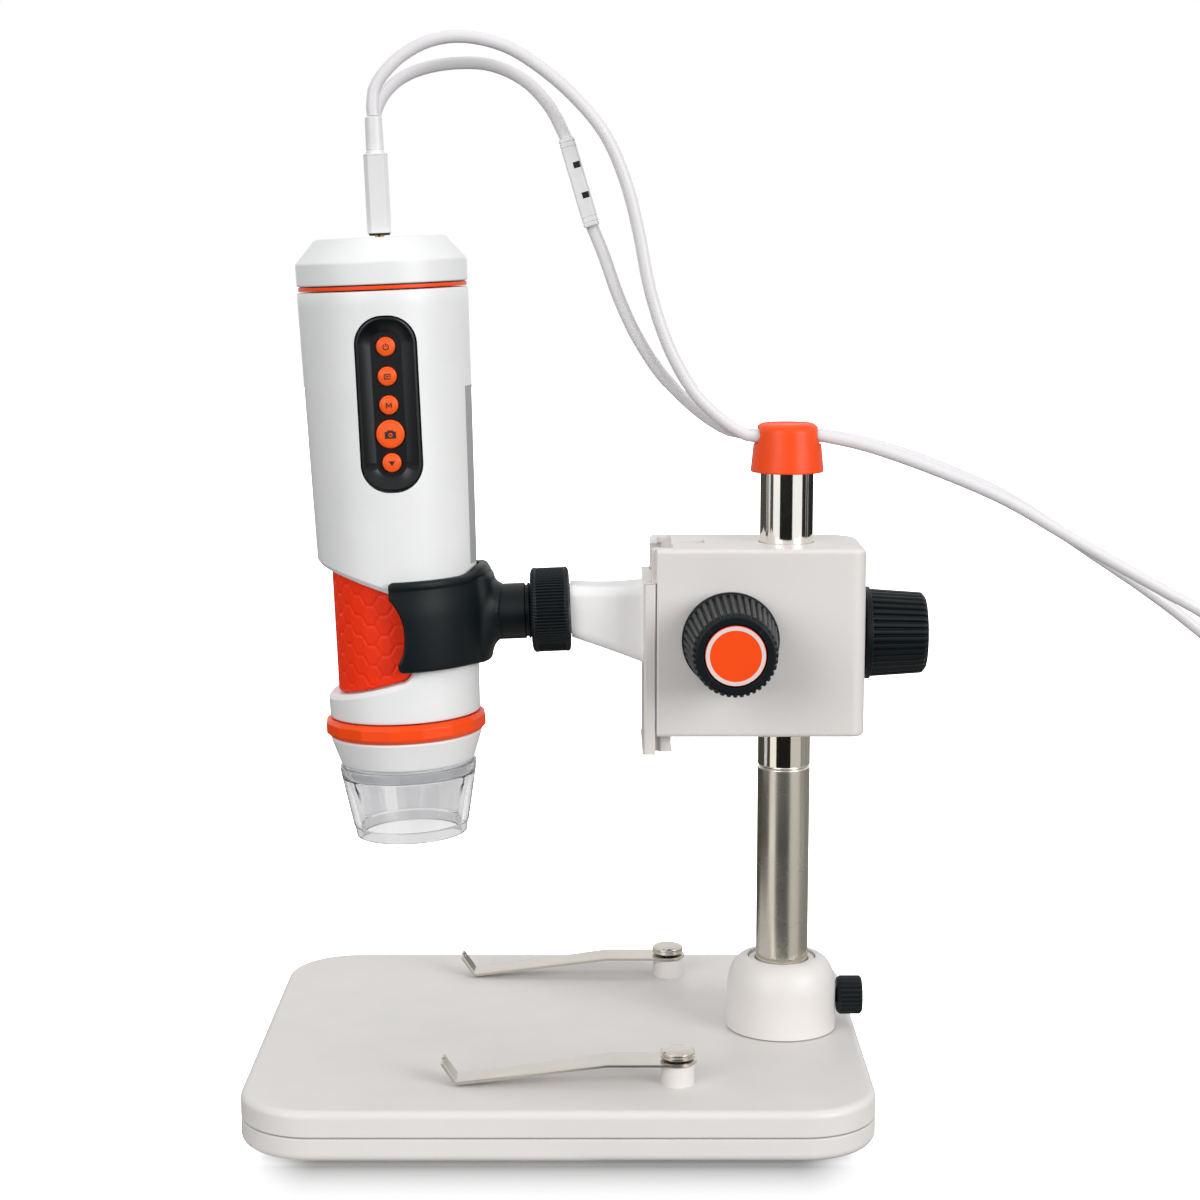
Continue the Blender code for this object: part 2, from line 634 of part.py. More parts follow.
def build_post(white, orange, nickel, chrome):
    """The socket, the two-part post and the cap with its channel for the leads."""
    liner_bore = POST_RADIUS + CLEARANCE
    liner_radius = liner_bore + LINER_WALL
    bore = liner_radius + CLEARANCE
    reach = SOCKET_RADIUS - SOCKET_TOP_RADIUS
    rise = SOCKET_HEIGHT - SOCKET_STRAIGHT
    dome = [
        (SOCKET_TOP_RADIUS + reach * math.cos(a), SOCKET_STRAIGHT + rise * math.sin(a))
        for a in (math.radians(18 * k) for k in range(6))
    ]
    outline = [(bore, CLEARANCE), (SOCKET_RADIUS, CLEARANCE)] + dome + [(bore, SOCKET_HEIGHT)]
    socket = piece("post_socket", turned(outline, SIDES_LARGE), white, place=POST)
    liner = piece(
        "socket_liner", tube(liner_bore, liner_radius, CLEARANCE, SOCKET_HEIGHT - LINER_SINK),
        white, place=POST,
    )
    hole = along_arm(rod(POST_SCREW_RADIUS + CLEARANCE, 0, SOCKET_RADIUS + OVERRUN))
    drill = tool("post_screw_hole", hole, place=POST + Vector((0, 0, POST_SCREW_HEIGHT)))
    cut(socket, drill)
    cut(liner, drill)

    top = POST_SEAM_HEIGHT - CLEARANCE
    deep = top - POST_STUD_LENGTH - CLEARANCE
    socket_radius = POST_STUD_RADIUS + CLEARANCE
    lower = [
        (0, CLEARANCE), (POST_RADIUS, CLEARANCE), (POST_RADIUS, top),
        (socket_radius, top), (socket_radius, deep), (0, deep),
    ]
    piece("post_lower", turned(lower, SIDES_MEDIUM), nickel, place=POST)
    upper = [
        (0, top - POST_STUD_LENGTH), (POST_STUD_RADIUS, top - POST_STUD_LENGTH),
        (POST_STUD_RADIUS, POST_SEAM_HEIGHT), (POST_RADIUS, POST_SEAM_HEIGHT),
        (POST_RADIUS, POST_TOP_HEIGHT), (0, POST_TOP_HEIGHT),
    ]
    piece("post_upper", turned(upper, SIDES_MEDIUM), chrome, place=POST)

    rounding = [
        (CAP_TOP_RADIUS - CAP_EDGE * (1 - math.sin(a)), CAP_TOP_HEIGHT - CAP_EDGE * (1 - math.cos(a)))
        for a in (math.radians(30 * k) for k in range(3, -1, -1))
    ]
    inside = POST_RADIUS + CLEARANCE
    ceiling = POST_TOP_HEIGHT + CLEARANCE
    outline = [(0, ceiling), (inside, ceiling), (inside, CAP_BOTTOM_HEIGHT)]
    outline += [(CAP_BOTTOM_RADIUS, CAP_BOTTOM_HEIGHT)] + rounding + [(0, CAP_TOP_HEIGHT)]
    cap = piece("post_cap", turned(outline, SIDES_LARGE), orange, place=POST)
    cut(cap, tool("cap_channel", cap_channel(), place=POST))


def cap_channel():
    """The keyhole that the leads lie in: a round-ended tunnel with a narrower slit above it."""
    half = LEAD_RADIUS + 2 * CLEARANCE
    aside = LEAD_ASIDE
    slit = CHANNEL_SLIT / 2
    open_top = CAP_TOP_HEIGHT + OVERRUN
    low = arc((aside, CHANNEL_AXIS_HEIGHT), half, -90, 90, 6)
    high = arc((-aside, CHANNEL_AXIS_HEIGHT), half, 90, 270, 6)
    outline = low + [(slit, CHANNEL_AXIS_HEIGHT + half), (slit, open_top)]
    outline += [(-slit, open_top), (-slit, CHANNEL_AXIS_HEIGHT + half)] + high
    reach = CAP_BOTTOM_RADIUS + OVERRUN
    return lofted([[(x, y, z) for y, z in outline] for x in (-reach, reach)])


def build_post_screw(charcoal):
    """The thumbscrew through the socket's right side."""
    axis = empty("post_lock_screw_axis", POST + Vector((0, 0, POST_SCREW_HEIGHT)))
    shoulder = SOCKET_RADIUS + CLEARANCE
    end = shoulder + POST_SCREW_HEAD_LENGTH
    rim = POST_SCREW_HEAD_RADIUS - POST_SCREW_CHAMFER
    outline = [
        (0, POST_RADIUS + CLEARANCE), (POST_SCREW_RADIUS, POST_RADIUS + CLEARANCE),
        (POST_SCREW_RADIUS, shoulder), (rim, shoulder),
        (POST_SCREW_HEAD_RADIUS, shoulder + POST_SCREW_CHAMFER), (POST_SCREW_HEAD_RADIUS, end), (0, end),
    ]
    piece("post_lock_screw", along_arm(turned(outline, SIDES_MEDIUM)), charcoal, axis)


def leaf_line():
    """The leaf's underside from its stud outwards: (distance, height above its seat)."""
    seat = CLIP_POST_HEIGHT + CLEARANCE
    low = CLEARANCE - seat
    return [
        (-LEAF_ROOT_WIDTH / 2, 0), (LEAF_FLAT, 0), (LEAF_REACH, low),
        (LEAF_REACH + LEAF_LIP_RUN, low + LEAF_LIP_RISE),
    ]


def build_clips(nickel):
    """Two sprung leaves, each turning about its own domed stud."""
    seat = CLIP_POST_HEIGHT + CLEARANCE
    widths = (LEAF_ROOT_WIDTH, LEAF_ROOT_WIDTH, LEAF_TIP_WIDTH, LEAF_TIP_WIDTH)
    for name, place in clip_places().items():
        axis = empty(f"clip_{name}_axis", place)
        rings = []
        for (run, rise), width in zip(leaf_line(), widths):
            half = width / 2
            low = seat + rise
            high = low + LEAF_THICKNESS
            rings.append([(-run, -half, low), (-run, half, low), (-run, half, high), (-run, -half, high)])
        leaf = piece(f"clip_leaf_{name}", lofted(rings), nickel, axis)
        hole = rod(CLIP_PIN_RADIUS + CLEARANCE, 0, seat + LEAF_THICKNESS + OVERRUN)
        cut(leaf, tool(f"clip_leaf_hole_{name}", hole, axis))
        under = seat + LEAF_THICKNESS + CLEARANCE
        top = under + CLIP_HEAD_HEIGHT
        outline = [
            (0, CLIP_POST_HEIGHT - CLIP_PIN_DEPTH), (CLIP_PIN_RADIUS, CLIP_POST_HEIGHT - CLIP_PIN_DEPTH),
            (CLIP_PIN_RADIUS, under), (CLIP_HEAD_RADIUS, under),
            (CLIP_HEAD_RADIUS, top - CLIP_HEAD_CHAMFER), (CLIP_HEAD_RADIUS - CLIP_HEAD_CHAMFER, top), (0, top),
        ]
        piece(f"clip_stud_{name}", turned(outline, SIDES_MEDIUM), nickel, place=place)


def channel_outline(gap):
    """The T-shaped way in the housing for the carriage's tongue, seen from above, from the post's axis.

    A gap of zero gives the tongue itself, and the housing is cut with the clearance round it.
    """
    mouth = -HOUSING_LEFT - OVERRUN
    lip = -HOUSING_LEFT + CHANNEL_LIP + CLEARANCE - gap
    head = lip + TONGUE_HEAD + 2 * gap
    rack = -PINION_LEFT - PINION_PITCH_RADIUS - CLEARANCE / 2 + gap
    neck = TONGUE_NECK_DEPTH / 2 + gap
    wide = TONGUE_HEAD_DEPTH / 2 + gap
    rib = RIB_DEPTH / 2 + gap
    half = [(mouth, neck), (lip, neck), (lip, wide), (head, wide), (head, rib), (rack, rib)]
    return half + [(x, -y) for x, y in reversed(half)]


def build_housing(white, charcoal, steel, brass):
    """The bush on the post, the housing that turns on it, and its lock knob."""
    height = empty("height_slide_axis", POST)
    bottom = HOUSING_BOTTOM_HEIGHT
    top = bottom + HOUSING_HEIGHT
    bush_bore = POST_RADIUS + CLEARANCE
    bush_radius = bush_bore + BUSH_WALL
    piece("guide_bush", tube(bush_bore, bush_radius, bottom, top), brass, height)

    swivel = empty("swivel_axis", (0, 0, 0), height)
    corners = (HOUSING_LEFT_CORNER, HOUSING_FRONT_CORNER, HOUSING_REAR_CORNER, HOUSING_LEFT_CORNER)
    block = rounded_box(-HOUSING_LEFT, HOUSING_RIGHT, HOUSING_FRONT, -HOUSING_FRONT, corners)
    housing = piece("focus_housing", prism(block, bottom, top), white, swivel)
    web = -HOUSING_LEFT + CHANNEL_LIP + TONGUE_HEAD + 2 * CLEARANCE + CHANNEL_WEB
    room = box(
        web, HOUSING_RIGHT - HOUSING_WALL, HOUSING_FRONT + HOUSING_WALL, -HOUSING_FRONT - HOUSING_WALL,
        bottom + HOUSING_WALL, top - HOUSING_WALL,
    )
    cut(housing, tool("housing_room", room, swivel))
    bore = rod(bush_radius + CLEARANCE, bottom - OVERRUN, top + OVERRUN, SIDES_MEDIUM)
    cut(housing, tool("housing_bore", bore, swivel))
    way = prism(channel_outline(CLEARANCE), bottom - OVERRUN, top + OVERRUN)
    cut(housing, tool("housing_channel", way, swivel))
    reach = -HOUSING_FRONT + OVERRUN
    shaft_hole = facing_front(rod(SHAFT_RADIUS + CLEARANCE, -reach, reach))
    cut(housing, tool("housing_shaft_hole", shaft_hole, swivel, (-PINION_LEFT, 0, PINION_AXIS_HEIGHT)))
    lock_hole = along_arm(rod(LOCK_SCREW_RADIUS + CLEARANCE, 0, HOUSING_RIGHT + OVERRUN))
    cut(housing, tool("housing_lock_hole", lock_hole, swivel, (0, 0, LOCK_AXIS_HEIGHT)))

    lock = empty("height_lock_axis", (0, 0, LOCK_AXIS_HEIGHT), swivel)
    piece("height_lock_knob", lock_knob(), charcoal, lock)
    screw = rod(LOCK_SCREW_RADIUS, bush_radius + CLEARANCE,
                HOUSING_RIGHT + LOCK_KNOB_GAP + LOCK_SCREW_SINK)
    piece("height_lock_screw", along_arm(screw), steel, lock)
    return swivel


def lock_knob():
    """A tapering knob, hollow at its back round a hub that takes the screw."""
    back = HOUSING_RIGHT + LOCK_KNOB_GAP
    face = back + LOCK_KNOB_LENGTH
    deep = back + LOCK_SCREW_SINK
    bore = LOCK_SCREW_RADIUS + CLEARANCE
    outline = [
        (0, deep + CLEARANCE), (bore, deep + CLEARANCE), (bore, back), (LOCK_KNOB_HUB_RADIUS, back),
        (LOCK_KNOB_HUB_RADIUS, back + KNOB_HOLLOW_DEPTH),
        (LOCK_KNOB_RADIUS - KNOB_WALL, back + KNOB_HOLLOW_DEPTH),
        (LOCK_KNOB_RADIUS - KNOB_WALL, back), (LOCK_KNOB_RIM_RADIUS, back),
        (LOCK_KNOB_RIM_RADIUS, back + LOCK_KNOB_RIM), (LOCK_KNOB_RADIUS, back + LOCK_KNOB_RIM),
        (LOCK_KNOB_FACE_RADIUS + FOCUS_KNOB_CHAMFER / 2, face - FOCUS_KNOB_CHAMFER),
        (LOCK_KNOB_FACE_RADIUS - FOCUS_KNOB_CHAMFER / 2, face), (0, face),
    ]
    return along_arm(turned(outline, SIDES_MEDIUM))


def focus_knob():
    """A tapering knob about +Z, its root towards the housing and a shallow seat in its face."""
    root = -HOUSING_FRONT + CLEARANCE
    back = root + FOCUS_KNOB_HUB_LENGTH
    face = back + FOCUS_KNOB_LENGTH
    deep = root + SHAFT_SINK
    bore = SHAFT_RADIUS + CLEARANCE
    seat = BADGE_RADIUS + CLEARANCE
    outline = [
        (0, deep + CLEARANCE), (bore, deep + CLEARANCE), (bore, root), (FOCUS_KNOB_HUB_RADIUS, root),
        (FOCUS_KNOB_HUB_RADIUS, back + KNOB_HOLLOW_DEPTH),
        (FOCUS_KNOB_RIM_RADIUS - KNOB_WALL, back + KNOB_HOLLOW_DEPTH),
        (FOCUS_KNOB_RIM_RADIUS - KNOB_WALL, back), (FOCUS_KNOB_RIM_RADIUS, back),
        (FOCUS_KNOB_FACE_RADIUS, face - FOCUS_KNOB_CHAMFER / 2),
        (FOCUS_KNOB_FACE_RADIUS - FOCUS_KNOB_CHAMFER / 2, face), (seat, face),
        (seat, face - BADGE_POCKET), (0, face - BADGE_POCKET),
    ]
    return turned(outline, SIDES_MEDIUM)


def build_focus_drive(swivel, charcoal, badge, steel):
    """The pinion shaft with a knob at each end; the knobs' badges sit in their faces."""
    axis = empty("focus_drive_axis", (-PINION_LEFT, 0, PINION_AXIS_HEIGHT), swivel)
    root = -HOUSING_FRONT + CLEARANCE
    end = root + SHAFT_SINK
    gear = PINION_PITCH_RADIUS - CLEARANCE / 2
    outline = [
        (0, -end), (SHAFT_RADIUS, -end), (SHAFT_RADIUS, -PINION_LENGTH / 2), (gear, -PINION_LENGTH / 2),
        (gear, PINION_LENGTH / 2), (SHAFT_RADIUS, PINION_LENGTH / 2), (SHAFT_RADIUS, end), (0, end),
    ]
    piece("pinion_shaft", facing_front(turned(outline, SIDES_MEDIUM)), steel, axis)
    piece("focus_knob_front", facing_front(focus_knob()), charcoal, axis)
    piece("focus_knob_rear", facing_front(focus_knob()), charcoal, axis, turn=(0, 0, math.pi))
    face = root + FOCUS_KNOB_HUB_LENGTH + FOCUS_KNOB_LENGTH
    low = face - BADGE_POCKET + CLEARANCE
    disc = rod(BADGE_RADIUS, low, low + BADGE_THICKNESS, SIDES_MEDIUM)
    piece("focus_knob_badge", facing_front(disc), badge, axis)


def build_carriage(swivel, white, brass, charcoal):
    """The slide with its arm and split collet, the rack it carries, and the nut on the collet."""
    slide = empty("focus_slide_axis", (0, 0, 0), swivel)
    bottom = CARRIAGE_BOTTOM_HEIGHT
    top = bottom + CARRIAGE_HEIGHT
    face = -HOUSING_LEFT - CLEARANCE
    lip = -HOUSING_LEFT + CHANNEL_LIP + CLEARANCE
    head = lip + TONGUE_HEAD
    neck = TONGUE_NECK_DEPTH / 2
    wide = TONGUE_HEAD_DEPTH / 2
    deep = CARRIAGE_DEPTH / 2
    half = [
        (face - CARRIAGE_PLATE, deep), (face, deep), (face, neck), (lip, neck), (lip, wide), (head, wide),
    ]
    outline = half + [(x, -y) for x, y in reversed(half)]
    carriage = piece("carriage", prism(outline, bottom, top), white, slide)
    rib = box(head - OVERRUN, head + RIB_LENGTH, -RIB_DEPTH / 2, RIB_DEPTH / 2,
              RIB_BOTTOM_HEIGHT, RIB_BOTTOM_HEIGHT + RIB_HEIGHT)
    join(carriage, tool("carriage_rib", rib, slide))
    arm_axis = empty("arm_axis", (-HEAD_LEFT, 0, HEAD_HEIGHT), slide, (0, -HEAD_LEAN, 0))
    join(carriage, tool("carriage_arm", arm_shape(face - CARRIAGE_PLATE / 2), slide))
    collet = along_arm(rod(COLLET_RADIUS, STEM_END + CLEARANCE, NUT_END + 3 * OVERRUN, SIDES_MEDIUM))
    join(carriage, tool("carriage_collet", collet, arm_axis))
    bore = along_arm(rod(STUD_RADIUS + CLEARANCE, STEM_END, STUD_END + CLEARANCE, SIDES_MEDIUM))
    cut(carriage, tool("carriage_bore", bore, arm_axis))
    rack_face = -PINION_LEFT - PINION_PITCH_RADIUS - CLEARANCE / 2
    rack = box(head + RIB_LENGTH + CLEARANCE, rack_face, -RIB_DEPTH / 2, RIB_DEPTH / 2,
               RACK_BOTTOM_HEIGHT, RACK_BOTTOM_HEIGHT + RACK_HEIGHT)
    piece("focus_rack", rack, brass, slide)
    bore = COLLET_RADIUS + CLEARANCE
    start = STEM_END + CLEARANCE
    outline = [
        (bore, start), (NUT_RADIUS - NUT_CHAMFER, start), (NUT_RADIUS, start + NUT_CHAMFER),
        (NUT_RADIUS, NUT_END - NUT_CHAMFER), (NUT_RADIUS - NUT_CHAMFER, NUT_END), (bore, NUT_END),
    ]
    piece("arm_nut", along_arm(turned(outline, SIDES_LARGE)), charcoal, arm_axis)
    return arm_axis


def arm_shape(root):
    """The arm, tapering from the carriage to a face square to the leaning arm axis."""
    def section(depth, low, high):
        radius = depth / 6
        return rounded_box(-depth / 2, depth / 2, low, high, (radius,) * 4, 2)

    reach = NUT_END + CLEARANCE
    outwards = Vector((math.cos(HEAD_LEAN), 0, math.sin(HEAD_LEAN)))
    tip = Vector((-HEAD_LEFT, 0, HEAD_HEIGHT)) + outwards * reach
    wide = section(ARM_ROOT_DEPTH, ARM_ROOT_BOTTOM_HEIGHT, ARM_ROOT_BOTTOM_HEIGHT + ARM_ROOT_HEIGHT)
    narrow = section(ARM_TIP_DEPTH, -ARM_TIP_HEIGHT / 2, ARM_TIP_HEIGHT / 2)
    near = [(root, y, z) for y, z in wide]
    far = [(tip.x - z * math.sin(HEAD_LEAN), y, tip.z + z * math.cos(HEAD_LEAN)) for y, z in narrow]
    return lofted([near, far])


def build_holder(arm_axis, charcoal):
    """The C-shaped clip with its stem and the stud that the collet grips."""
    tilt = empty("holder_tilt_axis", (0, 0, 0), arm_axis)
    outer = HOLDER_BORE_RADIUS + HOLDER_WALL
    half = HOLDER_HEIGHT / 2
    section = [
        (HOLDER_BORE_RADIUS, -half), (outer - HOLDER_BULGE, -half), (outer, -half / 2),
        (outer, half / 2), (outer - HOLDER_BULGE, half), (HOLDER_BORE_RADIUS, half),
    ]
    steps = [HOLDER_WRAP * (2 * i / HOLDER_STEPS - 1) for i in range(HOLDER_STEPS + 1)]
    rings = [[(r * math.cos(a), r * math.sin(a), z) for r, z in section] for a in steps]
    holder = piece("holder_clip", lofted(rings), charcoal, tilt)
    deep = outer * math.cos(HOLDER_NOTCH_WRAP)
    depth = deep - outer * math.cos(HOLDER_WRAP)
    chord = half - HOLDER_LOBE
    radius = (chord ** 2 + depth ** 2) / (2 * depth)
    notch = facing_front(rod(radius, -outer - OVERRUN, outer + OVERRUN, SIDES_LARGE))
    cut(holder, tool("holder_notch", notch, tilt, (deep - radius, 0, 0)))
    stem = along_arm(rod(STEM_RADIUS, HOLDER_BORE_RADIUS + HOLDER_WALL / 4, STEM_END, SIDES_MEDIUM))
    join(holder, tool("holder_stem", stem, tilt))
    stud = along_arm(rod(STUD_RADIUS, STEM_END - OVERRUN, STUD_END, SIDES_MEDIUM))
    join(holder, tool("holder_stud", stud, tilt))
    return tilt


def grip_shape(inset):
    """The grip's outline seen from the front, drawn in by an inset, through the whole body."""
    start = -GRIP_ROUND_LEFT
    top = GRIP_TOP_RIGHT_HEIGHT - inset
    low = GRIP_BOTTOM_RIGHT_HEIGHT + inset
    middle = (top + low) / 2
    rise = (top - low) / 2
    reach = GRIP_RIGHT - inset - start
    turns = [math.radians(90 - 180 * i / GRIP_ROUND_STEPS) for i in range(GRIP_ROUND_STEPS + 1)]
    outline = [(start + reach * math.cos(a), middle + rise * math.sin(a)) for a in turns]
    outline += [(-GRIP_LEFT, GRIP_BOTTOM_LEFT_HEIGHT + inset), (-GRIP_LEFT, GRIP_TOP_LEFT_HEIGHT - inset)]
    return lofted([[(x, y, z) for x, z in outline] for y in (-GRIP_LEFT, GRIP_LEFT)])


def body_radius(height):
    """The body's outer radius between its waist and its top."""
    return BODY_WAIST_RADIUS + TAPER * (height - BODY_WAIST_HEIGHT)


def build_body(scope, white, grip_orange, orange):
    """The tapering shell with its grip recess and panel window, the pad, the trim ring and the cap."""
    low = BODY_HOLLOW_LOW_HEIGHT
    outline = [
        (BARREL_BORE, NECK_BOTTOM), (NECK_RADIUS, NECK_BOTTOM), (NECK_RADIUS, BODY_LOW_HEIGHT),
        (BODY_LOW_RADIUS, BODY_LOW_HEIGHT), (BODY_WAIST_RADIUS, BODY_WAIST_HEIGHT),
        (BODY_TOP_RADIUS, BODY_TOP_HEIGHT), (BODY_TOP_RADIUS - BODY_WALL, BODY_TOP_HEIGHT),
        (body_radius(low) - BODY_WALL, low), (BODY_NARROW_BORE, low),
        (BODY_NARROW_BORE, BODY_STEP_HEIGHT), (BARREL_BORE, BODY_STEP_HEIGHT),
    ]
    body = piece("body_shell", turned(outline, SIDES_LARGE), white, scope)
    recess = tool("grip_recess", grip_shape(0), scope)
    core = GRIP_RADIUS - GRIP_THICKNESS - CLEARANCE
    cut(recess, tool("grip_core", rod(core, -GRIP_LEFT, GRIP_LEFT, SIDES_LARGE), scope))
    cut(body, recess)
    window = prism(
        stadium(PANEL_WIDTH + 2 * CLEARANCE, PANEL_BOTTOM_HEIGHT - CLEARANCE,
                PANEL_BOTTOM_HEIGHT + PANEL_LENGTH + CLEARANCE),
        PANEL_BACK - OVERRUN, BODY_TOP_RADIUS + OVERRUN,
    )
    cut(body, tool("panel_window", facing_front(window), scope))
    pad = tube(GRIP_RADIUS - GRIP_THICKNESS, GRIP_RADIUS, -GRIP_LEFT, GRIP_LEFT, SIDES_LARGE)
    grip = piece("grip_pad", pad, grip_orange, scope)
    keep(grip, tool("grip_trim", grip_shape(CLEARANCE), scope))
    ring_low = BODY_TOP_HEIGHT + CLEARANCE
    ring_out = BODY_TOP_RADIUS - TRIM_INSET
    trim = tube(ring_out - TRIM_DEPTH, ring_out, ring_low, ring_low + TRIM_THICKNESS, SIDES_LARGE)
    piece("trim_ring", trim, orange, scope)
    side = CAP_BASE + CAP_SIDE_HEIGHT
    outline = [
        (0, CAP_FACE - CAP_WALL), (CAP_FACE_RADIUS - CAP_WALL / 2, CAP_FACE - CAP_WALL),
        (BODY_TOP_RADIUS - CAP_WALL, side - CAP_WALL / 2), (BODY_TOP_RADIUS - CAP_WALL, CAP_BASE),
        (BODY_TOP_RADIUS, CAP_BASE), (BODY_TOP_RADIUS, side), (CAP_FACE_RADIUS, CAP_FACE), (0, CAP_FACE),
    ]
    cap = piece("top_cap", turned(outline, SIDES_LARGE), white, scope)
    for name, side in (("front", -1), ("rear", 1)):
        y = side * PORT_ASIDE
        port = box(-PORT_DEPTH / 2 - CLEARANCE, PORT_DEPTH / 2 + CLEARANCE,
                   y - PORT_LENGTH / 2 - CLEARANCE, y + PORT_LENGTH / 2 + CLEARANCE,
                   CAP_FACE - CAP_WALL - OVERRUN, CAP_FACE + OVERRUN)
        cut(cap, tool(f"port_{name}", port, scope))


def build_buttons(scope, panel_dark, orange, board_green):
    """The dished panel in the body's window, its five buttons and the board behind them."""
    top = PANEL_BOTTOM_HEIGHT + PANEL_LENGTH
    slab = prism(stadium(PANEL_WIDTH, PANEL_BOTTOM_HEIGHT, top), PANEL_BACK, BODY_TOP_RADIUS + OVERRUN)
    panel = piece("button_panel", facing_front(slab), panel_dark, scope)
    skin = [
        (0, BODY_WAIST_HEIGHT), (BODY_WAIST_RADIUS, BODY_WAIST_HEIGHT),
        (BODY_TOP_RADIUS, BODY_TOP_HEIGHT), (0, BODY_TOP_HEIGHT),
    ]
    keep(panel, tool("panel_skin", turned(skin, SIDES_LARGE), scope))
    inset = (PANEL_WIDTH - PANEL_TROUGH_WIDTH) / 2
    trough = prism(stadium(PANEL_TROUGH_WIDTH, PANEL_BOTTOM_HEIGHT + inset, top - inset),
                   PANEL_TROUGH_FRONT, BODY_TOP_RADIUS + OVERRUN)
    cut(panel, tool("panel_trough", facing_front(trough), scope))
    for name, height, radius in zip(BUTTON_NAMES, BUTTON_HEIGHTS, BUTTON_RADII):
        axis = empty(f"button_{name}_axis", (0, 0, height), scope)
        hole = rod(radius + CLEARANCE, PANEL_BACK - OVERRUN, BODY_TOP_RADIUS + OVERRUN, SIDES_SMALL)
        cut(panel, tool(f"button_hole_{name}", facing_front(hole), axis))
        flange_front = PANEL_BACK - CLEARANCE
        flange_back = flange_front - BUTTON_FLANGE_THICKNESS
        outline = [
            (0, flange_back), (radius + BUTTON_FLANGE, flange_back), (radius + BUTTON_FLANGE, flange_front),
            (radius, flange_front), (radius, BUTTON_FRONT - BUTTON_DOME),
            (radius * BUTTON_FLAT_SHARE, BUTTON_FRONT), (0, BUTTON_FRONT),
        ]
        piece(f"button_{name}", facing_front(turned(outline, SIDES_SMALL)), orange, axis)
    board = box(-BOARD_WIDTH / 2, BOARD_WIDTH / 2, -BOARD_FRONT, BOARD_THICKNESS - BOARD_FRONT,
                BOARD_BOTTOM_HEIGHT, BOARD_BOTTOM_HEIGHT + BOARD_LENGTH)
    piece("main_board", board, board_green, scope)


def build_optics(scope, white, orange, black, glass, board_green, clear):
    """Sensor, focusing barrel and lens, lamp ring, focus ring, skirt and clear tip."""
    sensor_low = BODY_STEP_HEIGHT + CLEARANCE
    sensor = rod(BODY_NARROW_BORE - CLEARANCE, sensor_low, sensor_low + SENSOR_THICKNESS, SIDES_MEDIUM)
    piece("sensor_board", sensor, board_green, scope)
    focus = empty("lens_slide_axis", (0, 0, 0), scope)
    barrel_low = BARREL_TOP_HEIGHT - BARREL_LENGTH
    barrel_radius = BARREL_BORE - CLEARANCE
    lens_bore = barrel_radius - BARREL_WALL
    barrel = tube(lens_bore, barrel_radius, barrel_low, BARREL_TOP_HEIGHT)
    piece("lens_barrel", barrel, black, focus)
    lens = rod(lens_bore - CLEARANCE, barrel_low, barrel_low + LENS_THICKNESS, SIDES_MEDIUM)
    piece("objective_lens", lens, glass, focus)

    turn = empty("focus_ring_axis", (0, 0, 0), scope)
    bore = (NECK_RADIUS + CLEARANCE) / math.cos(math.pi / FOCUS_RING_FACETS)
    rim = FOCUS_RING_RADIUS - FOCUS_RING_EDGE
    outline = [
        (bore, RING_BOTTOM), (rim, RING_BOTTOM), (FOCUS_RING_RADIUS, RING_BOTTOM + FOCUS_RING_EDGE),
        (FOCUS_RING_RADIUS, RING_TOP - FOCUS_RING_EDGE), (rim, RING_TOP), (bore, RING_TOP),
    ]
    piece("focus_ring", turned(outline, FOCUS_RING_FACETS), orange, turn)

    neck_room = NECK_RADIUS + CLEARANCE
    ledge = NECK_BOTTOM - CLEARANCE
    spigot_end = SKIRT_BOTTOM - SPIGOT_LENGTH
    outline = [
        (SKIRT_BORE, spigot_end), (SPIGOT_RADIUS, spigot_end), (SPIGOT_RADIUS, SKIRT_BOTTOM),
        (SKIRT_BOTTOM_RADIUS, SKIRT_BOTTOM), (SKIRT_TOP_RADIUS, SKIRT_TOP), (neck_room, SKIRT_TOP),
        (neck_room, ledge), (SKIRT_BORE, ledge),
    ]
    piece("nose_skirt", turned(outline, SIDES_LARGE), white, scope)
    lamp_low = spigot_end + CLEARANCE
    lamps = tube(LED_BOARD_BORE, SKIRT_BORE - CLEARANCE, lamp_low, lamp_low + LED_BOARD_THICKNESS)
    piece("lamp_ring", lamps, white, scope)

    pull = empty("clear_tip_axis", (0, 0, 0), scope)
    end = TIP_TOP - TIP_LENGTH
    band = end + TIP_RIM_HEIGHT
    slope = (TIP_TOP_RADIUS - TIP_BOTTOM_RADIUS) / TIP_LENGTH
    band_radius = TIP_BOTTOM_RADIUS + slope * TIP_RIM_HEIGHT
    outline = [
        (TIP_BOTTOM_RADIUS - TIP_WALL, end), (TIP_BOTTOM_RADIUS, end), (band_radius, band),
        (TIP_TOP_RADIUS, TIP_TOP), (TIP_TOP_RADIUS - TIP_WALL, TIP_TOP),
    ]
    piece("clear_tip", turned(outline, SIDES_LARGE), clear, pull)


def scope_point(x, y, z):
    """A place given in the microscope's own frame, in the object's frame."""
    turn = Matrix.Rotation(-HEAD_LEAN, 3, "Y") @ Matrix.Rotation(MICROSCOPE_TURN, 3, "Z")
    return HEAD + turn @ Vector((x, y, z))


